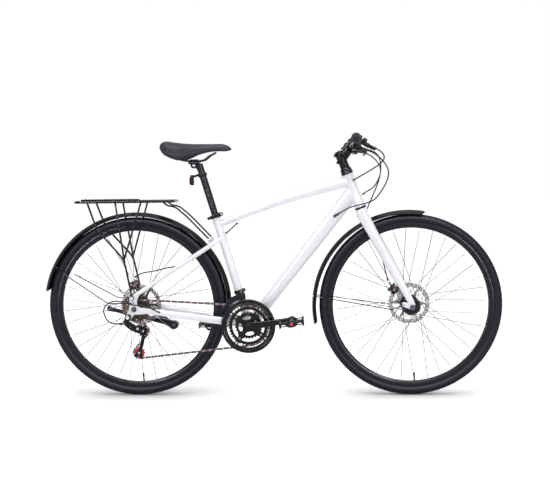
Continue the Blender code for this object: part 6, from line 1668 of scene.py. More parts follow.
def build_pod(tag, side):
    axis, clamp, body, pod = pod_points(side)
    inner = GRIP_RADIUS + GAP
    ring = Shape()
    ring.ring_lathe(band(inner, inner + 0.005, 0.008, 0.0008, 0.0008), clamp, axis, 48)
    frame = (HOOD_FORWARD, axis, HOOD_UP)
    ring.box(body, (0.0335, 0.0335, 0.0156), frame, 0.0042, 4)
    ring.box(body + HOOD_FORWARD * 0.008 + axis * 0.004, (0.018, 0.02, 0.0162), frame, 0.003, 4)
    ring.box(clamp + HOOD_FORWARD * 0.0225 + HOOD_UP * 0.0098, (0.016, 0.017, 0.017), frame, 0.0036,
             4)
    ring.box(clamp + HOOD_FORWARD * 0.002 + HOOD_UP * 0.016, (0.013, 0.013, 0.006), frame, 0.0016,
             3)
    ring.box(clamp - axis * 0.004 - HOOD_UP * 0.0165, (0.016, 0.012, 0.015), frame, 0.0028, 3)
    top = pod + HOOD_UP * 0.008
    rows = [(0.0, 0.0), (0.015, 0.0), (0.0188, 0.0016), (0.0206, 0.005), (0.0202, 0.011),
            (0.0194, 0.0142), (0.0178, 0.0166), (0.014, 0.017), (0.0, 0.017)]
    ring.solid_lathe(rows, top, -HOOD_UP, 56)
    barrel = body + HOOD_FORWARD * 0.006 - axis * 0.012
    barrel_rows = [(0.0, 0.0), (0.005, 0.0), (0.005, 0.007), (0.0044, 0.0074), (0.0044, 0.0086),
                   (0.005, 0.009), (0.005, 0.018), (0.0042, 0.0192), (0.0036, 0.022), (0.0, 0.022)]
    ring.solid_lathe(barrel_rows, barrel, -axis, 32)
    shift = pod - axis * 0.008 + HOOD_FORWARD * 0.004
    shift_rows = [(0.0, 0.0), (0.004, 0.0), (0.004, 0.013), (0.0032, 0.0136), (0.0032, 0.0146),
                  (0.004, 0.015), (0.0038, 0.0172), (0.003, 0.018), (0.0, 0.018)]
    ring.solid_lathe(shift_rows, shift, -axis, 28)
    ring.make("lever_hood_" + tag, "steer_body", "satin_black", "plastic", ["lever_bracket_" + tag],
              sharp=35.0)
    trim = Shape()
    for angle in full_turn(18):
        out = (HOOD_FORWARD * math.cos(angle) + HOOD_UP * math.sin(angle)) * 0.005
        trim.tube([barrel - axis * 0.0096 + out, barrel - axis * 0.0174 + out], 0.00035, 5)
    window = pod + HOOD_UP * 0.0076 + HOOD_FORWARD * 0.004
    trim.box(window, (0.013, 0.02, 0.0014), frame, 0.0006, 2)
    trim.make("lever_trim_" + tag, "steer_body", "anodised", "black_alloy")
    bolts = Shape()
    hex_head(bolts, clamp + HOOD_UP * 0.0186 + HOOD_FORWARD * 0.002, HOOD_UP, 0.0032, 0.0016)
    hex_head(bolts, pod - axis * 0.012 + HOOD_UP * 0.0078 - HOOD_FORWARD * 0.01, HOOD_UP, 0.0026,
             0.0014)
    pin = body + HOOD_FORWARD * 0.01 + axis * 0.006 + HOOD_UP * 0.0074
    bolts.solid_lathe([(0.003, 0.0), (0.003, 0.0008), (0.0022, 0.0012), (0.0, 0.0012)], pin,
                      HOOD_UP, 24)
    bolts.make("lever_bolts_" + tag, "steer_body", "steel", "steel")
    build_lever(tag, axis, body)
    build_thumb(tag, axis, pod)


def build_lever(tag, axis, body):
    pivot = body + HOOD_FORWARD * (0.017 + 0.008 + GAP) + axis * 0.006
    blade = [pivot, pivot + axis * 0.02 + HOOD_FORWARD * 0.01,
             pivot + axis * 0.05 + HOOD_FORWARD * 0.016,
             pivot + axis * 0.085 + HOOD_FORWARD * 0.012,
             pivot + axis * 0.108 + HOOD_FORWARD * 0.018]
    path = smooth_points(blade, 48)
    wide = ((0.0, 0.005), (0.25, 0.0054), (0.5, 0.0059), (0.75, 0.006), (0.93, 0.006),
            (1.0, 0.0066))
    thick = ((0.0, 0.004), (0.25, 0.0038), (0.5, 0.0034), (0.75, 0.0032), (0.93, 0.0033),
             (1.0, 0.0042))
    last = len(path) - 1
    radii = table_radii(wide, thick, last)
    shape = Shape().sweep(path, radii, 32, HOOD_UP, power=0.85, dome=0.003)
    shape.solid_lathe(band(0.0, 0.0078, 0.006, 0.0008, 0.0008), pivot, HOOD_UP, 40)
    shape.make("brake_blade_" + tag, "brake_%s_body" % tag, "gloss_black", "black_alloy",
               ["brake_lever_" + tag])
    pin = Shape()
    hex_head(pin, pivot + HOOD_UP * 0.0058, HOOD_UP, 0.0034, 0.0014)
    pin.solid_lathe([(0.003, 0.0), (0.003, 0.0006), (0.0022, 0.001), (0.0, 0.001)],
                    pivot - HOOD_UP * 0.006, -HOOD_UP, 20)
    pin.make("brake_pivot_" + tag, "brake_%s_body" % tag, "steel", "steel")


def build_thumb(tag, axis, pod):
    pivot = pod - HOOD_UP * (0.009 + GAP + 0.002)
    tip = pivot + axis * 0.022 - HOOD_FORWARD * 0.018
    shape = Shape()
    shape.solid_lathe(band(0.0, 0.01, 0.002, 0.0006, 0.0006), pivot, HOOD_UP, 40)
    path = straight(pivot, tip, 16)
    rows = ((0.0, 0.0016), (0.6, 0.0017), (0.8, 0.0032), (1.0, 0.0048))
    wide = ((0.0, 0.005), (0.6, 0.005), (0.85, 0.0062), (1.0, 0.0062))
    radii = table_radii(rows, wide, 16)
    shape.sweep(path, radii, 28, HOOD_UP, power=0.85, dome=0.002)
    for row in range(4):
        at = pivot.lerp(tip, 0.8 + row * 0.07)
        across_way = (tip - pivot).normalized().cross(HOOD_UP)
        shape.tube([at + HOOD_UP * 0.004 + across_way * 0.004, at + HOOD_UP * 0.0044,
                    at + HOOD_UP * 0.004 - across_way * 0.004], 0.0006, 8)
    shape.make("shift_thumb_" + tag, "shift_%s_body" % tag, "satin_black", "plastic",
               ["shift_lever_" + tag])


# Cranks, pedals, cogs and chain

RING_MIDDLE = RING_TEETH[1]
ARM_TURNS = [CRANK_ANGLE + 45.0 + index * 90.0 for index in range(4)]
ACTIVE_TEETH = COG_TEETH[4]
PEDAL_START = 0.0915
PEDAL_WIDTH = 0.086
PEDAL_LENGTH = 0.094
PEDAL_THICK = 0.024


def build_crank():
    plates = Shape()
    outer_y = CHAIN_LINE - RING_SPACING
    mid_y = CHAIN_LINE - RING_SPACING / 2.0
    guard_y = outer_y - 0.005
    phase = ring_phases()
    for teeth, inner, y in ((RING_TEETH[0], 0.084, outer_y), (RING_MIDDLE, 0.062, CHAIN_LINE),
                            (RING_INNER_TEETH, 0.043, CHAIN_LINE + RING_SPACING)):
        pitch = pitch_radius(teeth)
        turn = phase[0] if teeth == RING_MIDDLE else CRANK_ANGLE
        loops = [gear_loop(teeth, pitch - 0.0042, pitch + 0.0019, 0.5, turn), circle(inner, 96)]
        plates.plate(loops, GEAR_PLATE, with_y(BB, y), bevel=0.0002)
        for out in ARM_TURNS:
            tab = [polar(inner + 0.002, out - 9.0), polar(inner - 0.006, out - 5.5),
                   polar(inner - 0.008, out), polar(inner - 0.006, out + 5.5),
                   polar(inner + 0.002, out + 9.0)]
            plates.plate([tab], GEAR_PLATE, with_y(BB, y), bevel=0.0002)
    for out in ARM_TURNS:
        plates.across(around(BB, 0.08, out), 0.0048, outer_y, guard_y, 20)
        plates.across(around(BB, 0.0585, out), 0.0044, CHAIN_LINE, mid_y, 20)
        plates.across(around(BB, 0.041, out), 0.005, CHAIN_LINE + RING_SPACING, mid_y, 20)
    plates.make("chainrings", "crank_body", "gloss_black", "black_alloy", ["chainset"])
    guard = Shape()
    face = ((0.0815, -0.0002), (0.0822, 0.0008), (0.0838, 0.0017), (0.0856, 0.0019),
            (0.0872, 0.0014), (0.0884, 0.0006), (0.0898, 0.0002), (0.0914, 0.0005),
            (0.0932, 0.0014), (0.0956, 0.0024), (0.0982, 0.0026), (0.1006, 0.002), (0.1026, 0.001),
            (0.1038, -0.0001), (0.104, -0.0008))
    profile = [(0.0815, guard_y + 0.0008)] + [(r, guard_y - lift) for r, lift in face]
    profile.append((0.103, guard_y + 0.001))
    guard.ring_lathe([(r, y - BB.y) for r, y in profile], BB, Y_AXIS, 144)
    for out in ARM_TURNS:
        tab = [polar(0.083, out - 8.0), polar(0.077, out - 5.5), polar(0.075, out),
               polar(0.077, out + 5.5), polar(0.083, out + 8.0)]
        guard.plate([tab], GEAR_PLATE, with_y(BB, guard_y - 0.0001), bevel=0.0003)
    guard.make("chain_guard", "crank_body", "gloss_black", "black_alloy")
    spider = Shape()
    outline = []
    ovals = []
    for out in ARM_TURNS:
        for radius, offset in ((0.044, -30.0), (0.047, -19.0), (0.056, -10.5), (0.07, -6.8),
                               (0.083, -5.6), (0.0855, -3.0), (0.0862, 0.0), (0.0855, 3.0),
                               (0.083, 5.6), (0.07, 6.8), (0.056, 10.5), (0.047, 19.0),
                               (0.044, 30.0), (0.0435, 38.0), (0.0435, 45.0), (0.0435, 52.0)):
            outline.append(polar(radius, out + offset))
        middle = math.radians(out - 45.0)
        oval = []
        for angle in full_turn(32):
            a = 0.0305 + 0.0075 * math.cos(angle)
            b = 0.0165 * math.sin(angle)
            oval.append((a * math.cos(middle) - b * math.sin(middle),
                         a * math.sin(middle) + b * math.cos(middle)))
        ovals.append(oval)
    spider.plate([outline] + ovals, 0.0046, with_y(BB, mid_y), bevel=0.0009, resolution=2)
    spider.across(BB, 0.02, -0.0655, mid_y, 48, 0.0008)
    spider.across(BB, 0.0084, -0.069, 0.0607, 32)
    for out in ARM_TURNS:
        rim = [around(BB, 0.048 + 0.034 * k / 6, out, mid_y - 0.0022) for k in range(7)]
        spider.sweep(rim, [(0.0016, 0.0036 - 0.0016 * k / 6) for k in range(7)], 14, Y_AXIS)
    spider.make("crank_spider", "crank_body", "gloss_black", "black_alloy")
    bolts = Shape()
    for out in ARM_TURNS:
        hex_head(bolts, around(BB, 0.0795, out, guard_y - 0.0014), -Y_AXIS, 0.0042, 0.0016)
        hex_head(bolts, around(BB, 0.0585, out, mid_y - 0.0023), -Y_AXIS, 0.004, 0.0014)
    bolts.make("ring_bolts", "crank_body", "steel", "steel")
    for sign, tag, turn in ((-1.0, "right", CRANK_ANGLE), (1.0, "left", CRANK_ANGLE + 180.0)):
        build_crank_arm(tag, sign, turn)
        build_pedal(tag, sign)


def build_crank_arm(tag, sign, turn):
    at = PEDAL[tag]
    root_y = sign * 0.069
    end_y = sign * 0.082
    points = [with_y(BB, root_y), around(BB, 0.026, turn, root_y),
              around(BB, 0.07, turn, sign * 0.0735), around(BB, CRANK_LENGTH - 0.034, turn, end_y),
              with_y(at, end_y)]
    path = smooth_points(points, 48)
    last = len(path) - 1
    wide = ((0.0, 0.0172), (0.2, 0.016), (0.5, 0.0126), (0.8, 0.011), (1.0, 0.0122))
    radii = [(0.0066, table_at(wide, k / last)) for k in range(last + 1)]
    arm = Shape().sweep(path, radii, 36, Y_AXIS, power=0.72, dome=0.004)
    boss = [(0.0, sign * 0.0612), (0.0176, sign * 0.0612), (0.0184, sign * 0.0622),
            (0.0184, sign * 0.0752), (0.0172, sign * 0.0766), (0.013, sign * 0.0769),
            (0.0122, sign * 0.0758), (0.0, sign * 0.0758)]
    arm.solid_lathe(boss, with_y(BB, 0.0), Y_AXIS, 56)
    eye = [(0.0, sign * 0.0756), (0.0134, sign * 0.0756), (0.0144, sign * 0.0766),
           (0.0144, sign * 0.0874), (0.0134, sign * 0.0884), (0.0, sign * 0.0884)]
    arm.solid_lathe(eye, with_y(at, 0.0), Y_AXIS, 48)
    arm.make("crank_arm_" + tag, "crank_body", "gloss_black", "black_alloy", ["crank_left"]
             if tag == "left" else [], sharp=38.0)
    metal = Shape()
    cap = [(0.0, 0.0), (0.0112, 0.0), (0.0118, 0.0006), (0.0106, 0.0016), (0.0052, 0.0022),
           (0.0046, 0.0014), (0.0, 0.0014)]
    metal.solid_lathe(cap, with_y(BB, sign * 0.0756), Y_AXIS * sign, 40)
    metal.make("crank_cap_" + tag, "crank_body", "satin_black", "plastic")
    shaft = Shape()
    shaft.across(at, 0.0058, sign * 0.08, sign * 0.168, 28)
    flats = []
    for step in range(6):
        angle = math.radians(step * 60.0 + 20.0)
        flats.append((0.0082 * math.cos(angle), 0.0082 * math.sin(angle)))
    shaft.plate([flats], 0.0024, with_y(at, sign * 0.0898), bevel=0.0003)
    shaft.make("pedal_shaft_" + tag, "crank_body", "steel", "steel")


def build_pedal(tag, sign):
    at = PEDAL[tag]
    tilt = math.radians(8.0 if sign < 0 else -3.2)
    along = vec(math.cos(tilt), 0.0, math.sin(tilt))
    up = vec(-math.sin(tilt), 0.0, math.cos(tilt))
    side = along, up, Y_AXIS
    frame = (along, Y_AXIS, up)
    center = with_y(at, sign * (PEDAL_START + PEDAL_WIDTH / 2.0))
    body = "pedal_%s_body" % tag
    shape = Shape()
    inner = 0.0064
    start = sign * (PEDAL_START + 0.0004)
    end = sign * (PEDAL_START + PEDAL_WIDTH - 0.0002)
    barrel = [(inner, start), (0.0104, start), (0.0112, start + sign * 0.0008),
              (0.0112, start + sign * 0.012), (0.0098, start + sign * 0.016),
              (0.0098, end - sign * 0.015), (0.0116, end - sign * 0.011),
              (0.0118, end - sign * 0.0012), (0.011, end), (inner, end)]
    shape.ring_lathe(barrel, with_y(at, 0.0), Y_AXIS, 40)
    half = PEDAL_LENGTH / 2.0
    thick = PEDAL_THICK / 2.0
    outline = [(-half + 0.002, -0.005), (-half + 0.001, -thick), (-half + 0.005, -thick),
               (-half + 0.008, -0.007), (-0.02, -0.0062), (-0.012, -0.0105), (-0.005, -thick),
               (0.005, -thick), (0.012, -0.0105), (0.02, -0.0062), (half - 0.008, -0.007),
               (half - 0.005, -thick), (half - 0.001, -thick), (half - 0.002, -0.005)]
    outline += [(-a, -b) for a, b in outline]
    hole_a = [(0.018, -0.0028), (half - 0.01, -0.0038), (half - 0.01, 0.0038), (0.018, 0.0028)]
    hole_b = [(-a, b) for a, b in hole_a]
    hub = circle(inner, 32)
    for offset in (0.0032, PEDAL_WIDTH - 0.0032):
        spot = with_y(center, sign * (PEDAL_START + offset))
        shape.plate([outline, hub, hole_a, hole_b], 0.0058, spot, side, bevel=0.0007, resolution=1)
    shape.box(center, (0.06, PEDAL_WIDTH * 0.7, 0.004), frame, 0.0008, 2)
    for end_side in SIDES:
        spot = center + along * end_side * (half - 0.003)
        shape.box(spot, (0.0052, PEDAL_WIDTH - 0.006, 0.012), frame, 0.0012, 2)
        for row in range(9):
            at_y = (row - 4) * 0.0094
            for face in SIDES:
                tooth = spot + Y_AXIS * at_y + up * face * 0.0082
                shape.box(tooth, (0.0036, 0.0052, 0.007), frame, 0.001, 1)
        rib = center + along * end_side * 0.02
        shape.box(rib, (0.004, PEDAL_WIDTH - 0.01, 0.009), frame, 0.001, 2)
    for offset in (-0.014, 0.014):
        bar = center + Y_AXIS * offset
        for end_side in SIDES:
            shape.box(bar + along * end_side * 0.0265, (0.036, 0.004, 0.008), frame, 0.001, 2)
    shape.make("pedal_cage_" + tag, body, "plastic", "plastic", ["pedal_" + tag])
    lamps = Shape()
    for end_side in SIDES:
        spot = center + along * end_side * (half - 0.0008)
        lamps.box(spot - along * end_side * 0.0024, (0.0072, 0.062, 0.0112), frame, 0.0007, 2)
        for column in range(10):
            prism = spot + Y_AXIS * ((column - 4.5) * 0.0056) + along * end_side * 0.001
            lamps.box(prism, (0.0008, 0.003, 0.007), frame, 0.0002, 1)
    lamps.make("pedal_reflector_" + tag, body, "amber", "lens")
    cap = Shape()
    rim_y = sign * (PEDAL_START + PEDAL_WIDTH)
    cap.solid_lathe([(0.0, -0.003), (0.0058, -0.003), (0.006, -0.0004), (0.0052, 0.0002),
                     (0.003, 0.0002), (0.0026, -0.0003), (0.0, -0.0003)], with_y(at, rim_y),
                    Y_AXIS * sign, 32)
    cap.make("pedal_cap_" + tag, body, "red", "red_plastic")


def build_cassette():
    last = COG_FIRST_Y - (len(COG_TEETH) - 1) * COG_PITCH_Y
    cogs = Shape()
    phase = ring_phases()
    for index, teeth in enumerate(COG_TEETH):
        y = COG_FIRST_Y - index * COG_PITCH_Y
        pitch = pitch_radius(teeth)
        turn = phase[1] if index == 4 else index * 11.0
        loops = [gear_loop(teeth, pitch - 0.004, pitch + 0.002, 0.5, turn), circle(0.016, 48)]
        if teeth > 18:
            for window in range(6):
                start = window * 60.0 + index * 9.0
                loops.append(slot_loop(0.02, pitch - 0.0095, start, start + 34.0, 6))
        cogs.plate(loops, GEAR_PLATE, with_y(REAR, y), bevel=0.0002)
    cogs.make("cassette_cogs", "cassette_body", "bronze", "cogs", ["cassette"])
    core = Shape()
    profile = [(0.0126, COG_FIRST_Y + 0.0018), (0.017, COG_FIRST_Y + 0.0018)]
    for index in range(len(COG_TEETH) - 1):
        y = COG_FIRST_Y - index * COG_PITCH_Y
        profile += [(0.017, y - 0.0012), (0.0162, y - 0.0014), (0.0162, y - 0.003),
                    (0.017, y - 0.0033)]
    profile += [(0.017, last - 0.0008), (0.0155, last - 0.0018), (0.0126, last - 0.0018)]
    core.ring_lathe([(r, y) for r, y in profile], with_y(REAR, 0.0), Y_AXIS, 64)
    for step in range(12):
        spot = around(REAR, 0.0146, step * 30.0, last - 0.0016)
        core.box(spot, (0.0016, 0.001, 0.0016), None, 0.0002, 1)
    core.make("cassette_core", "cassette_body", "steel", "chain_steel")


def chain_wheels():
    return ((BB, pitch_radius(RING_MIDDLE), 1.0), (REAR, pitch_radius(ACTIVE_TEETH), 1.0),
            (GUIDE, pitch_radius(PULLEY_TEETH), -1.0), (TENSION, pitch_radius(PULLEY_TEETH), 1.0))


def chain_run():
    """The chain's middle line: straight runs and arcs, as points in order."""
    wheels = chain_wheels()
    directions = []
    for index, (center, radius, sense) in enumerate(wheels):
        other, other_radius, other_sense = wheels[(index + 1) % 4]
        gap = other - center
        length = math.hypot(gap.x, gap.z)
        lean = (radius * sense - other_radius * other_sense) / length
        directions.append(math.atan2(gap.z, gap.x) + math.asin(lean))
    points = []
    for index, (center, radius, sense) in enumerate(wheels):
        first = directions[index - 1] - sense * math.pi / 2.0
        wrap = sense * ((sense * (directions[index] - directions[index - 1])) % (2.0 * math.pi))
        for step in range(97):
            turn = first + wrap * step / 96
            points.append(vec(center.x + radius * math.cos(turn), CHAIN_LINE,
                              center.z + radius * math.sin(turn)))
    return points


def chain_pins():
    points = chain_run()
    loop = points + [points[0]]
    lengths = [(b - a).length for a, b in zip(loop, loop[1:])]
    total = sum(lengths)
    count = 2 * round(total / CHAIN_PITCH / 2.0)
    pins = []
    walked = 0.0
    index = 0
    for step in range(count):
        target = total * step / count
        while walked + lengths[index] < target:
            walked += lengths[index]
            index += 1
        pins.append(loop[index].lerp(loop[index + 1], (target - walked) / lengths[index]))
    return pins


def ring_phases():
    """For each wheel the angle that puts a valley under the pin nearest the middle of its wrap."""
    phases = []
    pins = chain_pins()
    for center, radius, _ in chain_wheels():
        near = []
        for pin in pins:
            distance = math.hypot(pin.x - center.x, pin.z - center.z)
            if abs(distance - radius) < 0.0006:
                near.append(pin)
        pin = near[len(near) // 2]
        teeth = round(2.0 * math.pi * radius / CHAIN_PITCH)
        phases.append(math.degrees(math.atan2(pin.z - center.z, pin.x - center.x)) + 180.0 / teeth)
    return phases


def link_plate(shape, start, end, y, thickness, high, waist):
    """One side plate of a link: a figure of eight round its two pins."""
    along = (end - start).normalized()
    up = Y_AXIS.cross(along)
    middle = (start + end) / 2.0
    half = (end - start).length / 2.0
    outline = []
    for side in (1.0, -1.0):
        for turn in (-100, -60, -20, 20, 60, 100):
            angle = math.radians(turn)
            outline.append((side * (half + high * math.cos(angle)), side * high * math.sin(angle)))
        outline.append((0.0, side * waist))
    rings = []
    for offset in (-thickness / 2.0, thickness / 2.0):
        rings.append([middle + along * a + up * b + Y_AXIS * (y + offset) for a, b in outline])
    shape.rings(rings)


def build_chain():
    """The upper part stays with the frame; the run below the guide pulley is built as pieces of its
    own, with no body.
    """
    pins = chain_pins()
    low = [pin.z < GUIDE.z and pin.x < BB.x for pin in pins]
    for part, below in (("", False), ("_low", True)):
        outer = Shape()
        inner = Shape()
        rollers = Shape()
        for index, pin in enumerate(pins):
            if low[index] != below:
                continue
            following = pins[(index + 1) % len(pins)]
            wide = index % 2 == 0
            plates = outer if wide else inner
            offset = 0.003 if wide else 0.0021
            for side in SIDES:
                link_plate(plates, pin, following, side * offset, 0.0008, 0.0041, 0.0029)
                head = with_y(pin, CHAIN_LINE + side * 0.0034)
                outer.solid_lathe([(0.0017, -0.0006), (0.0017, 0.0001), (0.0012, 0.0003)], head,
                                  Y_AXIS * side, 10)
            rollers.across(pin, 0.0037, CHAIN_LINE - 0.0016, CHAIN_LINE + 0.0016, 14)
        body = None if below else "frame_body"
        nodes = [] if below else ["chain"]
        pieces = [outer.make("chain_outer_plates" + part, body, "chain", "chain_steel", nodes),
                  inner.make("chain_inner_plates" + part, body, "link", "chain_steel"),
                  rollers.make("chain_rollers" + part, body, "steel", "chain_steel")]
        if below:
            for piece in pieces:
                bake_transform(piece)


# Derailleurs, stand, brakes and cables

HANGER = REAR + vec(-0.0215, 0.0, -0.029)
CAGE_PIVOT = REAR + vec(0.012, 0.0, -0.075)
CAGE_OUTER_Y = CHAIN_LINE - 0.0055
CAGE_INNER_Y = CHAIN_LINE + 0.0055
HANG_Y = -DROPOUT_OUT - GAP
BODY_Y = CAGE_OUTER_Y - 0.0037


def build_pulleys():
    phases = ring_phases()
    for name, node, center, look, turn in (("pulley_upper", "guide_pulley", GUIDE, "plastic",
                                            phases[2]),
                                           ("pulley_lower", "tension_pulley", TENSION, "red",
                                            phases[3])):
        pitch = pitch_radius(PULLEY_TEETH)
        loops = [gear_loop(PULLEY_TEETH, pitch - 0.0039, pitch + 0.0016, 0.62, turn),
                 circle(0.0043, 32)]
        shape = Shape().plate(loops, 0.0022, with_y(center, CHAIN_LINE), bevel=0.0003)
        for side in SIDES:
            rows = [(0.0043, 0.0), (0.008, 0.0), (0.0076, 0.0016), (0.006, 0.0022),
                    (0.0043, 0.0022)]
            shape.ring_lathe(rows, with_y(center, CHAIN_LINE + side * 0.0011), Y_AXIS * side, 40)
        body = "guide_body" if node == "guide_pulley" else "tension_body"
        shape.make(name, body, look, "red_plastic" if look == "red" else "plastic", [node])


def build_cage():
    down = (TENSION - GUIDE).normalized()
    out = vec(down.z, 0.0, -down.x)
    length = (TENSION - GUIDE).length
    edge = [(-0.0115, 0.004), (-0.006, 0.0078), (0.0, 0.0084), (0.01, 0.0072), (0.02, 0.007),
            (0.03, 0.0068), (0.045, 0.0066), (0.06, 0.0064), (length - 0.014, 0.0068),
            (length - 0.002, 0.011), (length + 0.013, 0.016), (length + 0.016, 0.015),
            (length + 0.017, 0.011)]
    bow = [0.006 * math.sin(math.pi * min(max(s / length, 0.0), 1.0)) for s, t in edge]
    outline = [(s, t - shift) for (s, t), shift in zip(edge, bow)]
    outline += [(s, -t - shift) for (s, t), shift in zip(edge[::-1], bow[::-1])]
    window = [(length + 0.0062, -0.0028), (length + 0.0125, -0.0088), (length + 0.0125, 0.0088),
              (length + 0.0062, 0.0028)]
    shape = Shape()
    axes = (down, out, Y_AXIS)
    shape.plate([outline, window], 0.0018, with_y(GUIDE, CAGE_OUTER_Y), axes, 0.0004, 1)
    inner = [(-0.0115, 0.004), (0.0, 0.008), (0.01, 0.0062), (0.03, 0.0042),
             (length - 0.014, 0.0048), (length, 0.0078), (length + 0.01, 0.005)]
    outline = inner + [(s, -t) for s, t in inner[::-1]]
    shape.plate([outline, stadium((0.02, 0.0), (0.062, 0.0), 0.0018)], 0.0016,
                with_y(GUIDE, CAGE_INNER_Y), axes, 0.0004, 1)
    for spot in (GUIDE + down * -0.0085, TENSION + down * 0.015 + out * 0.0125):
        shape.across(spot, 0.0022, CAGE_OUTER_Y - 0.001, CHAIN_LINE - 0.0042, 16)
    shape.across(CAGE_PIVOT, 0.0088, CAGE_OUTER_Y - 0.0034, CAGE_OUTER_Y + 0.0004, 40, 0.0006)
    ear = [with_y(CAGE_PIVOT, CAGE_OUTER_Y - 0.0012), with_y(GUIDE, CAGE_OUTER_Y - 0.0012)]
    shape.sweep(straight(ear[0], ear[1], 4), (0.0012, 0.008), 20, Y_AXIS)
    knob = TENSION + down * 0.015 - out * 0.015
    shape.across(knob, 0.0034, CAGE_OUTER_Y - 0.0024, CAGE_OUTER_Y + 0.001, 20, 0.0005)
    shape.make("derailleur_cage", "cage_body", "gloss_black", "black_alloy", ["rd_cage"])
    bolts = Shape()
    for center in (GUIDE, TENSION):
        hex_head(bolts, with_y(center, CAGE_OUTER_Y - 0.0008), -Y_AXIS, 0.0045, 0.0018)
        bolts.across(center, 0.0039, CAGE_OUTER_Y, CAGE_INNER_Y + 0.0016, 24)
    bolts.make("pulley_bolts", "cage_body", "steel", "steel")


def build_rear_mech():
    shape = Shape()
    knuckle = [(0.0, 0.0), (0.0104, 0.0), (0.0112, -0.001), (0.0112, -0.0098), (0.0098, -0.0116),
               (0.007, -0.012), (0.0, -0.012)]
    shape.solid_lathe(knuckle, with_y(HANGER, HANG_Y), Y_AXIS, 48)
    lower = [(0.0, 0.0), (0.0118, 0.0), (0.0126, -0.001), (0.0126, -0.0122), (0.0112, -0.0142),
             (0.007, -0.015), (0.0, -0.015)]
    shape.solid_lathe(lower, with_y(CAGE_PIVOT, BODY_Y), Y_AXIS, 48)
    link = [with_y(HANGER, HANG_Y - 0.007), vec(HANGER.x - 0.004, HANG_Y - 0.008, HANGER.z - 0.022),
            vec(CAGE_PIVOT.x - 0.006, BODY_Y - 0.009, CAGE_PIVOT.z - 0.004),
            with_y(CAGE_PIVOT, BODY_Y - 0.008)]
    path = smooth_points(link, 36)
    wide = ((0.0, 0.0092), (0.3, 0.0122), (0.6, 0.0128), (1.0, 0.01))
    radii = [(0.005, table_at(wide, k / 36)) for k in range(37)]
    shape.sweep(path, radii, 32, Y_AXIS, power=0.75)
    shell = [point + vec(0.0, -0.0036, 0.0) for point in path[9:28]]
    shape.sweep(shell, [(0.0034, 0.0088 - 0.0018 * abs(k - 9) / 9) for k in range(19)], 28, Y_AXIS,
                power=0.7, dome=0.001)
    end = vec(HANGER.x - 0.03, HANG_Y - 0.0053, HANGER.z - 0.026)
    root = vec(HANGER.x - 0.01, HANG_Y - 0.0085, HANGER.z - 0.024)
    along = (root - end).normalized()
    barrel = [(0.0, 0.0003), (0.0034, 0.0003), (0.004, 0.0012), (0.004, 0.0088), (0.0034, 0.0096),
              (0.003, 0.0104), (0.003, (root - end).length), (0.0, (root - end).length)]
    shape.solid_lathe(barrel, end, along, 28)
    for angle in full_turn(14):
        side, normal = Shape.turn_frame(along)
        rim = (side * math.cos(angle) + normal * math.sin(angle)) * 0.004
        shape.tube([end + along * 0.0016 + rim, end + along * 0.0084 + rim], 0.0004, 5)
    for drop, lift in ((0.0062, 0.0085), (0.0062, 0.002)):
        screw = vec(CAGE_PIVOT.x + 0.01, BODY_Y - drop, CAGE_PIVOT.z + 0.006 + lift)
        shape.box(screw, (0.01, 0.005, 0.005), None, 0.001, 2)
    shape.make("derailleur_body", "frame_body", "gloss_black", "black_alloy", ["rd_body"])
    bolts = Shape()
    hex_head(bolts, with_y(HANGER, HANG_Y - 0.0119), -Y_AXIS, 0.007, 0.0022)
    hex_head(bolts, with_y(CAGE_PIVOT, BODY_Y - 0.0149), -Y_AXIS, 0.0052, 0.0016)
    middle = path[18] + vec(-0.004, -0.007, 0.003)
    hex_head(bolts, middle, -Y_AXIS, 0.0036, 0.0014)
    for lift in (0.0085, 0.002):
        screw = vec(CAGE_PIVOT.x + 0.0149, BODY_Y - 0.0062, CAGE_PIVOT.z + 0.006 + lift)
        bolts.solid_lathe([(0.0, 0.0), (0.0018, 0.0), (0.0018, 0.0018), (0.0014, 0.0024),
                           (0.0, 0.0024)], screw, X_AXIS, 16)
    bolts.make("derailleur_bolts", "frame_body", "steel", "steel")


def arc_loop(first, last, low, high, steps=24):
    loop = []
    for step in range(steps + 1):
        share = step / steps
        loop.append(polar(table_at(low, share), first + (last - first) * share))
    for step in range(steps, -1, -1):
        share = step / steps
        loop.append(polar(table_at(high, share), first + (last - first) * share))
    return loop


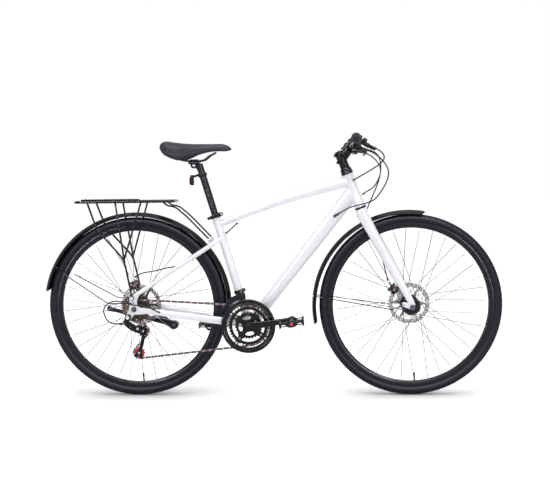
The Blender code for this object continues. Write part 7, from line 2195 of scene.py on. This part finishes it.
def build_front_mech():
    clamp = seat(0.132)
    bore = SEAT_TUBE_RADIUS + 0.0004
    shape = Shape()
    rows = band(bore, bore + 0.0032, 0.007, 0.0006, 0.0008)
    shape.ring_lathe(rows, clamp, SEAT_UP, 56)
    frame = (SEAT_FORWARD, Y_AXIS, SEAT_UP)
    low = 0.132 + 0.007 - 0.026
    block = seat(low + 0.013, 0.006, -0.025)
    shape.box(block, (0.029, 0.013, 0.025), frame, 0.0035, 4)
    shape.box(block + SEAT_FORWARD * 0.004 - Y_AXIS * 0.0024, (0.016, 0.009, 0.018), frame, 0.003,
              3)
    shape.box(clamp + SEAT_FORWARD * (bore + 0.0035) + Y_AXIS * 0.004, (0.008, 0.014, 0.012), frame,
              0.0022, 3)
    shape.make("front_mech_clamp", "frame_body", "gloss_black", "black_alloy", ["fd_clamp"])
    bolts = Shape()
    hex_head(bolts, clamp + SEAT_FORWARD * (bore + 0.0035) + Y_AXIS * 0.0108, Y_AXIS, 0.0036, 0.002)
    for offset, forward, up in ((0.0066, 0.004, 0.004), (0.0062, -0.009, -0.006)):
        spot = block + SEAT_FORWARD * forward - Y_AXIS * offset + SEAT_UP * up
        hex_head(bolts, spot, -Y_AXIS, 0.0026, 0.0008)
    bolts.make("front_mech_bolts", "frame_body", "steel", "steel")
    cage = Shape()
    base = GUARD_RADIUS + 0.002
    low_table = [(0.0, base), (0.5, base - 0.0002), (1.0, base + 0.001)]
    outer_high = [(0.0, base + 0.015), (0.12, base + 0.0186), (0.5, base + 0.0188),
                  (0.85, base + 0.015), (1.0, base + 0.009)]
    cage.plate([arc_loop(97.0, 148.0, low_table, outer_high)], 0.0012,
               with_y(BB, CHAIN_LINE - 0.0064), bevel=0.0003, resolution=1)
    inner_low = [(0.0, base - 0.0028), (1.0, base - 0.002)]
    inner_high = [(0.0, base + 0.018), (0.15, base + 0.0208), (0.85, base + 0.018),
                  (1.0, base + 0.011)]
    cage.plate([arc_loop(95.0, 146.0, inner_low, inner_high)], 0.0012,
               with_y(BB, CHAIN_LINE + 0.0064), bevel=0.0003, resolution=1)
    for first, last, radius in ((98.0, 107.0, base + 0.0176), (142.5, 145.5, base + 0.006)):
        arc = [around(BB, radius, first + (last - first) * k / 6, CHAIN_LINE) for k in range(7)]
        cage.sweep(arc, (0.0062, 0.0008), 12, Y_AXIS, power=0.5)
    for radius, y in ((base + 0.013, -0.0072), (base + 0.0052, -0.0072)):
        bead = [around(BB, radius, 101.0 + 40.0 * k / 24, CHAIN_LINE + y) for k in range(25)]
        cage.tube(bead, 0.0007, 8, dome=0.0004)
    mount = seat(low - 0.0083, 0.004, CHAIN_LINE + 0.0115)
    cage.box(mount, (0.0192, 0.0096, 0.0152), frame, 0.0028, 3)
    cage.make("front_mech_cage", "fd_body", "anodised", "steel", ["fd_cage"])


KICK_PIVOT = REAR + vec(0.124, 0.0, -0.089)
KICK_FOOT = REAR + vec(-0.146, 0.0, -0.022)


def build_stand():
    out_y = STAY_FOOT_Y + STAY_FOOT_HALF + GAP + 0.0042
    seat_y = out_y - 0.0018
    mount = REAR + vec(0.036, 0.0, -0.008)
    points = [vec(mount.x - 0.004, seat_y, mount.z), vec(mount.x + 0.012, seat_y, mount.z - 0.018),
              vec(KICK_PIVOT.x - 0.03, out_y, KICK_PIVOT.z + 0.018), with_y(KICK_PIVOT, out_y)]
    path = rounded_path(points, 0.016, 8)
    last = len(path) - 1
    thick = ((0.0, 0.0038), (0.3, 0.004), (0.75, 0.0056), (1.0, 0.0066))
    wide = ((0.0, 0.0098), (0.3, 0.0108), (0.75, 0.012), (1.0, 0.014))
    radii = table_radii(thick, wide, last)
    shape = Shape().sweep(path, radii, 32, Y_AXIS, power=0.7, dome=0.003)
    leg_y = out_y + 0.007 + GAP
    rows = [(0.0056, out_y - 0.007), (0.0158, out_y - 0.007), (0.0168, out_y - 0.006),
            (0.0168, leg_y - 0.001), (0.0158, leg_y), (0.0056, leg_y)]
    shape.ring_lathe(rows, with_y(KICK_PIVOT, 0.0), Y_AXIS, 56)
    shape.make("stand_bracket", "frame_body", "satin_black", "black_alloy", ["kickstand_bracket"])
    bolts = Shape()
    for share in (2, 9):
        spot = path[min(share, last)]
        hex_head(bolts, with_y(spot, spot.y + 0.0038), Y_AXIS, 0.0044, 0.002)
    hex_head(bolts, with_y(KICK_PIVOT, out_y - 0.0069), -Y_AXIS, 0.0056, 0.0018)
    bolts.make("stand_bolts", "frame_body", "steel", "steel")
    head_y = leg_y + GAP
    leg = Shape()
    rows = [(0.0, head_y), (0.017, head_y), (0.018, head_y + 0.001), (0.018, head_y + 0.0092),
            (0.0168, head_y + 0.0108), (0.01, head_y + 0.011), (0.0, head_y + 0.011)]
    leg.solid_lathe(rows, with_y(KICK_PIVOT, 0.0), Y_AXIS, 56)
    leg.across(KICK_PIVOT, 0.005, out_y - 0.01, head_y + 0.002, 28)
    run = KICK_FOOT - KICK_PIVOT
    points = [with_y(KICK_PIVOT, head_y + 0.0055),
              vec(KICK_PIVOT.x + run.x * 0.1, head_y + 0.006, KICK_PIVOT.z + run.z * 0.1),
              vec(KICK_PIVOT.x + run.x * 0.22, 0.0955, KICK_PIVOT.z + run.z * 0.22),
              vec(KICK_PIVOT.x + run.x * 0.93, 0.0955, KICK_PIVOT.z + run.z * 0.93)]
    path = smooth_points(points, 44)
    thick = ((0.0, 0.0054), (0.34, 0.0056), (0.62, 0.007), (1.0, 0.0066))
    wide = ((0.0, 0.015), (0.34, 0.014), (0.62, 0.01), (1.0, 0.0078))
    radii = table_radii(thick, wide, 44)
    leg.sweep(path, radii, 32, Y_AXIS, power=0.85)
    leg.make("stand_leg", "stand_body", "satin_black", "black_metal", ["kickstand_leg"])
    foot = Shape()
    start = KICK_PIVOT + run * 0.9
    points = [with_y(start, 0.0955), with_y(KICK_FOOT, 0.0955)]
    steps = straight(points[0], points[1], 10)
    grow = ((0.0, 0.0088), (0.5, 0.0094), (0.8, 0.0108), (1.0, 0.0106))
    foot.sweep(steps, table_radii(grow, grow, 10), 32, Y_AXIS, dome=0.003)
    foot.make("stand_foot", "stand_body", "rubber", "rubber")
    pin = Shape()
    hex_head(pin, with_y(KICK_PIVOT, head_y + 0.0108), Y_AXIS, 0.0062, 0.0026)
    coil = []
    for step in range(6 * 16 + 1):
        angle = 2.0 * math.pi * step / 16
        spot = path[12].lerp(path[24], step / 96.0)
        coil.append(spot + vec(0.002 * math.cos(angle), 0.0078, 0.0042 * math.sin(angle)))
    pin.tube(coil, 0.0007, 6)
    pin.make("stand_pin", "stand_body", "steel", "steel")


def caliper_axes(tag):
    axle, angle = (FRONT, 137.0) if tag == "front" else (REAR, 107.0)
    center = around(axle, 0.078, angle, ROTOR_Y[tag])
    out = (center - with_y(axle, ROTOR_Y[tag])).normalized()
    return center, out, Y_AXIS.cross(out)


def caliper_pull(tag):
    center, out, along = caliper_axes(tag)
    tip = center + out * 0.03 + along * 0.006
    return with_y(tip, center.y + 0.0145 + GAP + 0.0015)


def build_calipers():
    for tag, outer, body in (("front", 0.0065, "steer_body"), ("rear", 0.0085, "frame_body")):
        center, out, along = caliper_axes(tag)
        frame = (out, Y_AXIS, along)
        shape = Shape()
        inner = 0.007
        for side, reach in ((1.0, outer), (-1.0, inner)):
            half = (reach - 0.0018) / 2.0
            middle = center + out * 0.002 + Y_AXIS * side * (0.0018 + half)
            shape.box(middle, (0.027, half * 2.0, 0.034), frame, min(0.0024, half * 0.8), 3)
            face = center + out * 0.001 + Y_AXIS * side * reach
            shape.solid_lathe([(0.015, -0.002), (0.015, 0.0004), (0.0138, 0.0013), (0.009, 0.0013),
                               (0.0086, 0.0006), (0.0, 0.0006)], face, Y_AXIS * side, 40)
        shape.box(center + out * 0.0155 + Y_AXIS * (outer - inner) / 2.0,
                  (0.007, outer + inner - 0.0006, 0.04), frame, 0.0018, 3)
        if tag == "rear":
            arm_y = STAY_FOOT_Y - STAY_FOOT_HALF - GAP - 0.0028
            mount = around(REAR, 0.04, 96.0, arm_y)
            end = center + out * 0.01
            run = [mount, with_y(end, arm_y)]
            shape.sweep(straight(run[0], run[1], 8),
                        [(0.0028, 0.008 + 0.002 * k / 8) for k in range(9)], 24, Y_AXIS, power=0.5,
                        dome=0.002)
        else:
            shape.box(center + vec(0.02, 0.0045, 0.006), (0.0352, 0.005, 0.0192), None, 0.0016, 3)
        drum_y = center.y + 0.0145
        rows = [(0.0, 0.002), (0.0124, 0.002), (0.0124, 0.01), (0.0112, 0.0106), (0.0112, 0.0122),
                (0.0122, 0.0128), (0.0116, 0.0145), (0.0, 0.0145)]
        shape.solid_lathe(rows, center, Y_AXIS, 48)
        for step in range(20):
            angle = math.radians(step * 18.0)
            rim = center + (out * math.cos(angle) + along * math.sin(angle)) * 0.0124
            shape.tube([rim + Y_AXIS * 0.004, rim + Y_AXIS * 0.0096], 0.0005, 5)
        shape.make("caliper_" + tag, body, "satin_black", "black_alloy", [tag + "_caliper"])
        pads = Shape()
        for side in SIDES:
            dot = center + along * side * 0.0112 + out * 0.004 - Y_AXIS * (inner + 0.0016)
            pads.solid_lathe([(0.0027, 0.0), (0.0027, 0.0018), (0.002, 0.0022)], dot, Y_AXIS, 20)
        pads.make("caliper_red_" + tag, body, "red", "red_plastic")
        bolts = Shape()
        for side in SIDES:
            at = center + out * 0.008 + along * side * 0.0145 - Y_AXIS * (inner - 0.0002)
            hex_head(bolts, at, -Y_AXIS, 0.0036, 0.0018)
        hex_head(bolts, center + out * 0.001 - Y_AXIS * (inner + 0.0005), -Y_AXIS, 0.0052, 0.0016)
        if tag == "front":
            for side in SIDES:
                spot = center + vec(0.026 + side * 0.006, 0.0072, 0.006)
                hex_head(bolts, spot, Y_AXIS, 0.0034, 0.0018)
        bolts.make("caliper_bolts_" + tag, body, "steel", "steel")
        build_arm(tag, center, drum_y + GAP)


def build_arm(tag, center, arm_y):
    body = tag + "_arm_body"
    arm = Shape()
    arm.across(center, 0.0084, arm_y, arm_y + 0.003, 36, 0.0005)
    hub = with_y(center, arm_y + 0.0015)
    pull = caliper_pull(tag)
    run = straight(hub, pull, 10)
    arm.sweep(run, [(0.0012, 0.0056 - 0.0014 * k / 10) for k in range(11)], 20, Y_AXIS, power=0.6,
              dome=0.003)
    arm.make("caliper_arm_" + tag, body, "steel", "steel", [tag + "_caliper_arm"])
    nut = Shape()
    hex_head(nut, with_y(center, arm_y + 0.0029), Y_AXIS, 0.0056, 0.0022)
    hex_head(nut, with_y(pull, arm_y + 0.0026), Y_AXIS, 0.0034, 0.002)
    nut.make("caliper_nut_" + tag, body, "steel", "steel")


def relaxed(path, rounds):
    """The same path with its corners eased; the ends and the parts next to them stay."""
    held = 5
    for _ in range(rounds):
        eased = list(path)
        for index in range(held, len(path) - held):
            eased[index] = path[index].lerp((path[index - 1] + path[index + 1]) * 0.5, 0.8)
        path = eased
    return path


def run_cable(name, body, points, lead=(), blend=None, rounds=8):
    path = list(lead) + relaxed(smooth_points(points, 72), rounds)
    shape = Shape().tube(path, CABLE_RADIUS, 14, dome=0.0006)
    for end, inward in ((path[0], path[2]), (path[-1], path[-3])):
        way = (inward - end).normalized()
        ferrule = [(0.0022, 0.0), (0.0031, 0.0004), (0.0032, 0.008), (0.0026, 0.0092),
                   (0.0022, 0.0092)]
        shape.ring_lathe(ferrule, end, way, 24)
    if lead:
        barrel = [(0.005, 0.0004), (0.0056, 0.0012), (0.0056, 0.017), (0.0047, 0.019),
                  (0.0047, 0.029), (0.0036, 0.031), (0.0034, 0.035), (0.0024, 0.036)]
        shape.solid_lathe(barrel, path[0], (path[9] - path[0]).normalized(), 24)
    nodes = [] if name == "seat_tube_link" else ["cable_" + name]
    cable = shape.make("housing_" + name, None if blend else body, "cable", "cable_cover", nodes)
    if blend:
        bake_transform(cable)
    return cable


def cable_starts(side):
    """Where the brake cable and the gear cable leave a lever, and their first step outwards."""
    axis, _, body, pod = pod_points(side)
    brake = body + HOOD_FORWARD * 0.006 - axis * (0.012 + 0.022 + GAP)
    shift = pod - axis * (0.008 + 0.018 + GAP) + HOOD_FORWARD * 0.004
    return brake, shift, -axis * 0.008


def build_cables():
    head = steer(HEAD_TUBE_LENGTH)
    port = vec(FRONT.x - 0.288, 0.0, REAR.z + 0.345)
    entry = steer(HEAD_TUBE_LENGTH - 0.03, 0.004, -HEAD_TUBE_RADIUS)
    brake, shift, inward = cable_starts(-1.0)
    points = [brake + inward, brake + vec(0.04, 0.04, -0.008), head + vec(0.1428, -0.07, 0.0625),
              head + vec(0.1228, -0.048, 0.0355), entry + vec(0.05, -0.01, 0.028),
              entry + vec(0.004, -0.004, 0.002)]
    run_cable("brake_rear", "frame_body", points, [brake], (points[1], points[5]), 90)
    points = [shift + inward, shift + vec(0.062, 0.04, -0.02), head + vec(0.1558, -0.06, 0.0055),
              head + vec(0.1138, -0.046, -0.0805), head + vec(0.0768, -0.04, -0.1085),
              vec(port.x + 0.058, -0.034, port.z + 0.034), with_y(port, -0.027)]
    run_cable("shift_rear", "frame_body", points, [shift], (points[1], points[6]), 16)
    boot = Shape()
    back = (points[5] - points[6]).normalized()
    boot.solid_lathe([(0.0048, -0.004), (0.005, 0.001), (0.0044, 0.01), (0.0036, 0.02),
                      (0.0028, 0.0225)], points[6], back, 24)
    boot.make("cable_boot", "frame_body", "rubber", "rubber")
    start = vec(REAR.x + 0.397, -0.012, REAR.z + 0.3236)
    end = vec(REAR.x + 0.3504, -0.011, REAR.z + 0.2829)
    short = [start, start.lerp(end, 0.35) + vec(0.0, -0.008, -0.001),
             start.lerp(end, 0.75) + vec(0.0, -0.008, -0.001), end]
    run_cable("seat_tube_link", "frame_body", short)
    brake, shift, inward = cable_starts(1.0)
    nose = steer(0.04, HEAD_TUBE_RADIUS + CABLE_RADIUS + 0.001)
    points = [shift + inward, shift + vec(0.058, -0.04, -0.02), head + vec(0.1328, 0.05, 0.0175),
              head + vec(0.1048, 0.022, -0.0465), nose + vec(0.016, 0.006, 0.012), nose]
    run_cable("shift_front", "frame_body", points, [shift], (points[1], points[5]), 16)
    points = [brake + inward, brake + vec(0.058, -0.05, -0.026), head + vec(0.1308, 0.06, -0.0025),
              head + vec(0.0968, 0.0625, -0.0925), head + vec(0.0718, 0.0625, -0.1725),
              FRONT + vec(-0.11, 0.0655, 0.201), FRONT + vec(-0.09, 0.063, 0.131),
              caliper_pull("front") + vec(-0.005, 0.0, 0.007)]
    run_cable("brake_front", "steer_body", points, [brake])
    out_y = -DROPOUT_OUT - 0.0052 - CABLE_RADIUS - 0.002
    rear_out = caliper_axes("rear")[1]
    points = [REAR + vec(0.1, -0.0724, -0.013), REAR + vec(0.05, -0.0815, 0.012),
              REAR + vec(-0.005, out_y - 0.004, 0.02), REAR + vec(-0.07, out_y - 0.004, 0.036),
              REAR + vec(-0.114, out_y - 0.002, 0.006), REAR + vec(-0.098, out_y + 0.003, -0.046),
              HANGER + vec(-0.03, 0.0, -0.026) + Y_AXIS * (out_y + 0.004)]
    run_cable("rear_shift_loop", "frame_body", points)
    points = [REAR + vec(0.212, 0.058, 0.176), REAR + vec(0.15, 0.065, 0.152),
              REAR + vec(0.1, 0.065, 0.142), REAR + vec(0.05, 0.0655, 0.131),
              REAR + vec(0.004, 0.067, 0.123),
              caliper_pull("rear") + rear_out * (CABLE_RADIUS + GAP)]
    run_cable("rear_brake_end", "frame_body", points)


def place_camera():
    yaw = math.radians(-2.7)
    pitch = math.radians(4.2)
    roll = math.radians(0.81)
    forward = vec(math.sin(yaw) * math.cos(pitch), math.cos(yaw) * math.cos(pitch),
                  -math.sin(pitch))
    right = vec(math.cos(yaw), -math.sin(yaw), 0.0)
    down = forward.cross(right)
    right_turned = right * math.cos(roll) + down * math.sin(roll)
    down_turned = -right * math.sin(roll) + down * math.cos(roll)
    camera = bpy.data.cameras.new("camera")
    camera.sensor_width = 36.0
    camera.lens = 49.77
    obj = bpy.data.objects.new("camera", camera)
    bpy.context.collection.objects.link(obj)
    turn = Matrix((right_turned, -down_turned, -forward)).transposed()
    obj.matrix_world = Matrix.Translation((0.1557, -2.9171, 0.8182)) @ turn.to_4x4()
    bpy.context.scene.camera = obj


def area_lamp(name, at, aim, size, watts, color, strip=False):
    data = bpy.data.lights.new(name, "AREA")
    data.shape = "RECTANGLE"
    data.size = size[0]
    data.size_y = size[1]
    data.energy = watts
    data.color = color
    obj = bpy.data.objects.new(name, data)
    bpy.context.collection.objects.link(obj)
    obj.location = at
    direction = Vector(aim) - Vector(at)
    obj.rotation_euler = direction.to_track_quat("-Z", "Y").to_euler()
    obj.visible_camera = False
    obj.visible_diffuse = not strip


def math_node(nodes, links, operation, *values):
    """A maths node whose inputs are numbers or the outputs of other nodes."""
    node = nodes.new("ShaderNodeMath")
    node.operation = operation
    for index, value in enumerate(values):
        if isinstance(value, float):
            node.inputs[index].default_value = value
        else:
            links.new(value, node.inputs[index])
    return node.outputs["Value"]


def white_rays(nodes, links):
    """One for the rays that see the white studio, and nothing for those that carry its light."""
    rays = nodes.new("ShaderNodeLightPath").outputs
    seen = math_node(nodes, links, "MAXIMUM", rays["Is Camera Ray"], rays["Is Transmission Ray"])
    return math_node(nodes, links, "MAXIMUM", seen, rays["Is Glossy Ray"])


def white_world():
    world = bpy.data.worlds.new("studio")
    bpy.context.scene.world = world
    world.use_nodes = True
    nodes = world.node_tree.nodes
    links = world.node_tree.links
    nodes.clear()
    white = nodes.new("ShaderNodeBackground")
    white.inputs["Color"].default_value = (1.0, 1.0, 1.0, 1.0)
    white.inputs["Strength"].default_value = 1.0
    glow = nodes.new("ShaderNodeBackground")
    glow.inputs["Color"].default_value = (0.975, 0.96, 1.0, 1.0)
    glow.inputs["Strength"].default_value = 0.72
    mix = nodes.new("ShaderNodeMixShader")
    out = nodes.new("ShaderNodeOutputWorld")
    links.new(white_rays(nodes, links), mix.inputs["Fac"])
    links.new(glow.outputs["Background"], mix.inputs[1])
    links.new(white.outputs["Background"], mix.inputs[2])
    links.new(mix.outputs["Shader"], out.inputs["Surface"])


def white_floor_with_painted_shadow():
    mesh = bpy.data.meshes.new("floor")
    side = 30.0
    mesh.from_pydata([(-side, -side, 0.0), (side, -side, 0.0), (side, side, 0.0),
                      (-side, side, 0.0)], [], [(0, 1, 2, 3)])
    floor = bpy.data.objects.new("floor", mesh)
    bpy.context.collection.objects.link(floor)
    material = bpy.data.materials.new("floor_white_painted_shadow")
    material.use_nodes = True
    nodes = material.node_tree.nodes
    links = material.node_tree.links
    nodes.clear()
    diffuse = nodes.new("ShaderNodeBsdfDiffuse")
    diffuse.inputs["Color"].default_value = (0.9, 0.9, 0.9, 1.0)
    glow = nodes.new("ShaderNodeEmission")
    # Painted shadow: ambient occlusion dims the floor's glow near the bike, painting a dark contact
    # shadow under the tyres and other low parts on top of the real shadow in the diffuse part.
    near = nodes.new("ShaderNodeAmbientOcclusion")
    near.samples = 12
    near.inputs["Distance"].default_value = 0.2
    painted_contact_shadow = math_node(nodes, links, "POWER", near.outputs["AO"], 6.0)
    level = math_node(nodes, links, "MULTIPLY", painted_contact_shadow, 0.44)
    strength = math_node(nodes, links, "MULTIPLY", white_rays(nodes, links), level)
    links.new(strength, glow.inputs["Strength"])
    both = nodes.new("ShaderNodeAddShader")
    out = nodes.new("ShaderNodeOutputMaterial")
    links.new(diffuse.outputs["BSDF"], both.inputs[0])
    links.new(glow.outputs["Emission"], both.inputs[1])
    links.new(both.outputs["Shader"], out.inputs["Surface"])
    mesh.materials.append(material)


def build_stage():
    bpy.context.scene.view_settings.view_transform = "Standard"
    place_camera()
    white_world()
    white_floor_with_painted_shadow()
    area_lamp("overhead", (0.0, -0.4, 3.2), (0.0, 0.0, 0.3), (3.2, 2.4), 45.0, (1.0, 1.0, 1.0))
    area_lamp("front_fill", (0.6, -3.0, 1.6), (0.0, 0.0, 0.5), (2.2, 1.4), 12.0, (1.0, 1.0, 1.0))
    cool = (0.92, 0.93, 1.0)
    area_lamp("strip_high", (0.0, -1.5, 2.6), (0.0, 0.0, 0.5), (3.4, 0.08), 150.0, cool, True)
    area_lamp("strip_low", (0.0, -1.9, 1.75), (0.0, 0.0, 0.4), (3.4, 0.05), 55.0, cool, True)
    area_lamp("strip_left", (-1.7, -2.6, 1.2), (-0.4, 0.0, 0.4), (0.07, 2.4), 50.0, cool, True)
    area_lamp("strip_right", (1.7, -2.6, 1.2), (0.4, 0.0, 0.4), (0.07, 2.4), 60.0, cool, True)


build_wheels()
build_frame()
build_frame_fittings()
build_headset()
build_fork()
build_fender("rear_fender", REAR, -6.0, 170.5, "frame_body", "rear_fender")
build_fender("front_fender", FRONT_FENDER_CENTER, 79.5, 191.5, "steer_body", "front_fender")
build_fender_stays()
build_rack()
# This builds the carrier's clip a second time, in the same place as build_rack does.
build_rack_clip(REAR.x + RACK_BACK + RACK_ROD)
build_post()
build_collar()
build_saddle()
build_tail_light()
build_stem()
build_bar()
build_crank()
build_cassette()
build_chain()
build_pulleys()
build_cage()
build_rear_mech()
build_front_mech()
build_stand()
build_calipers()
build_cables()
build_stage()
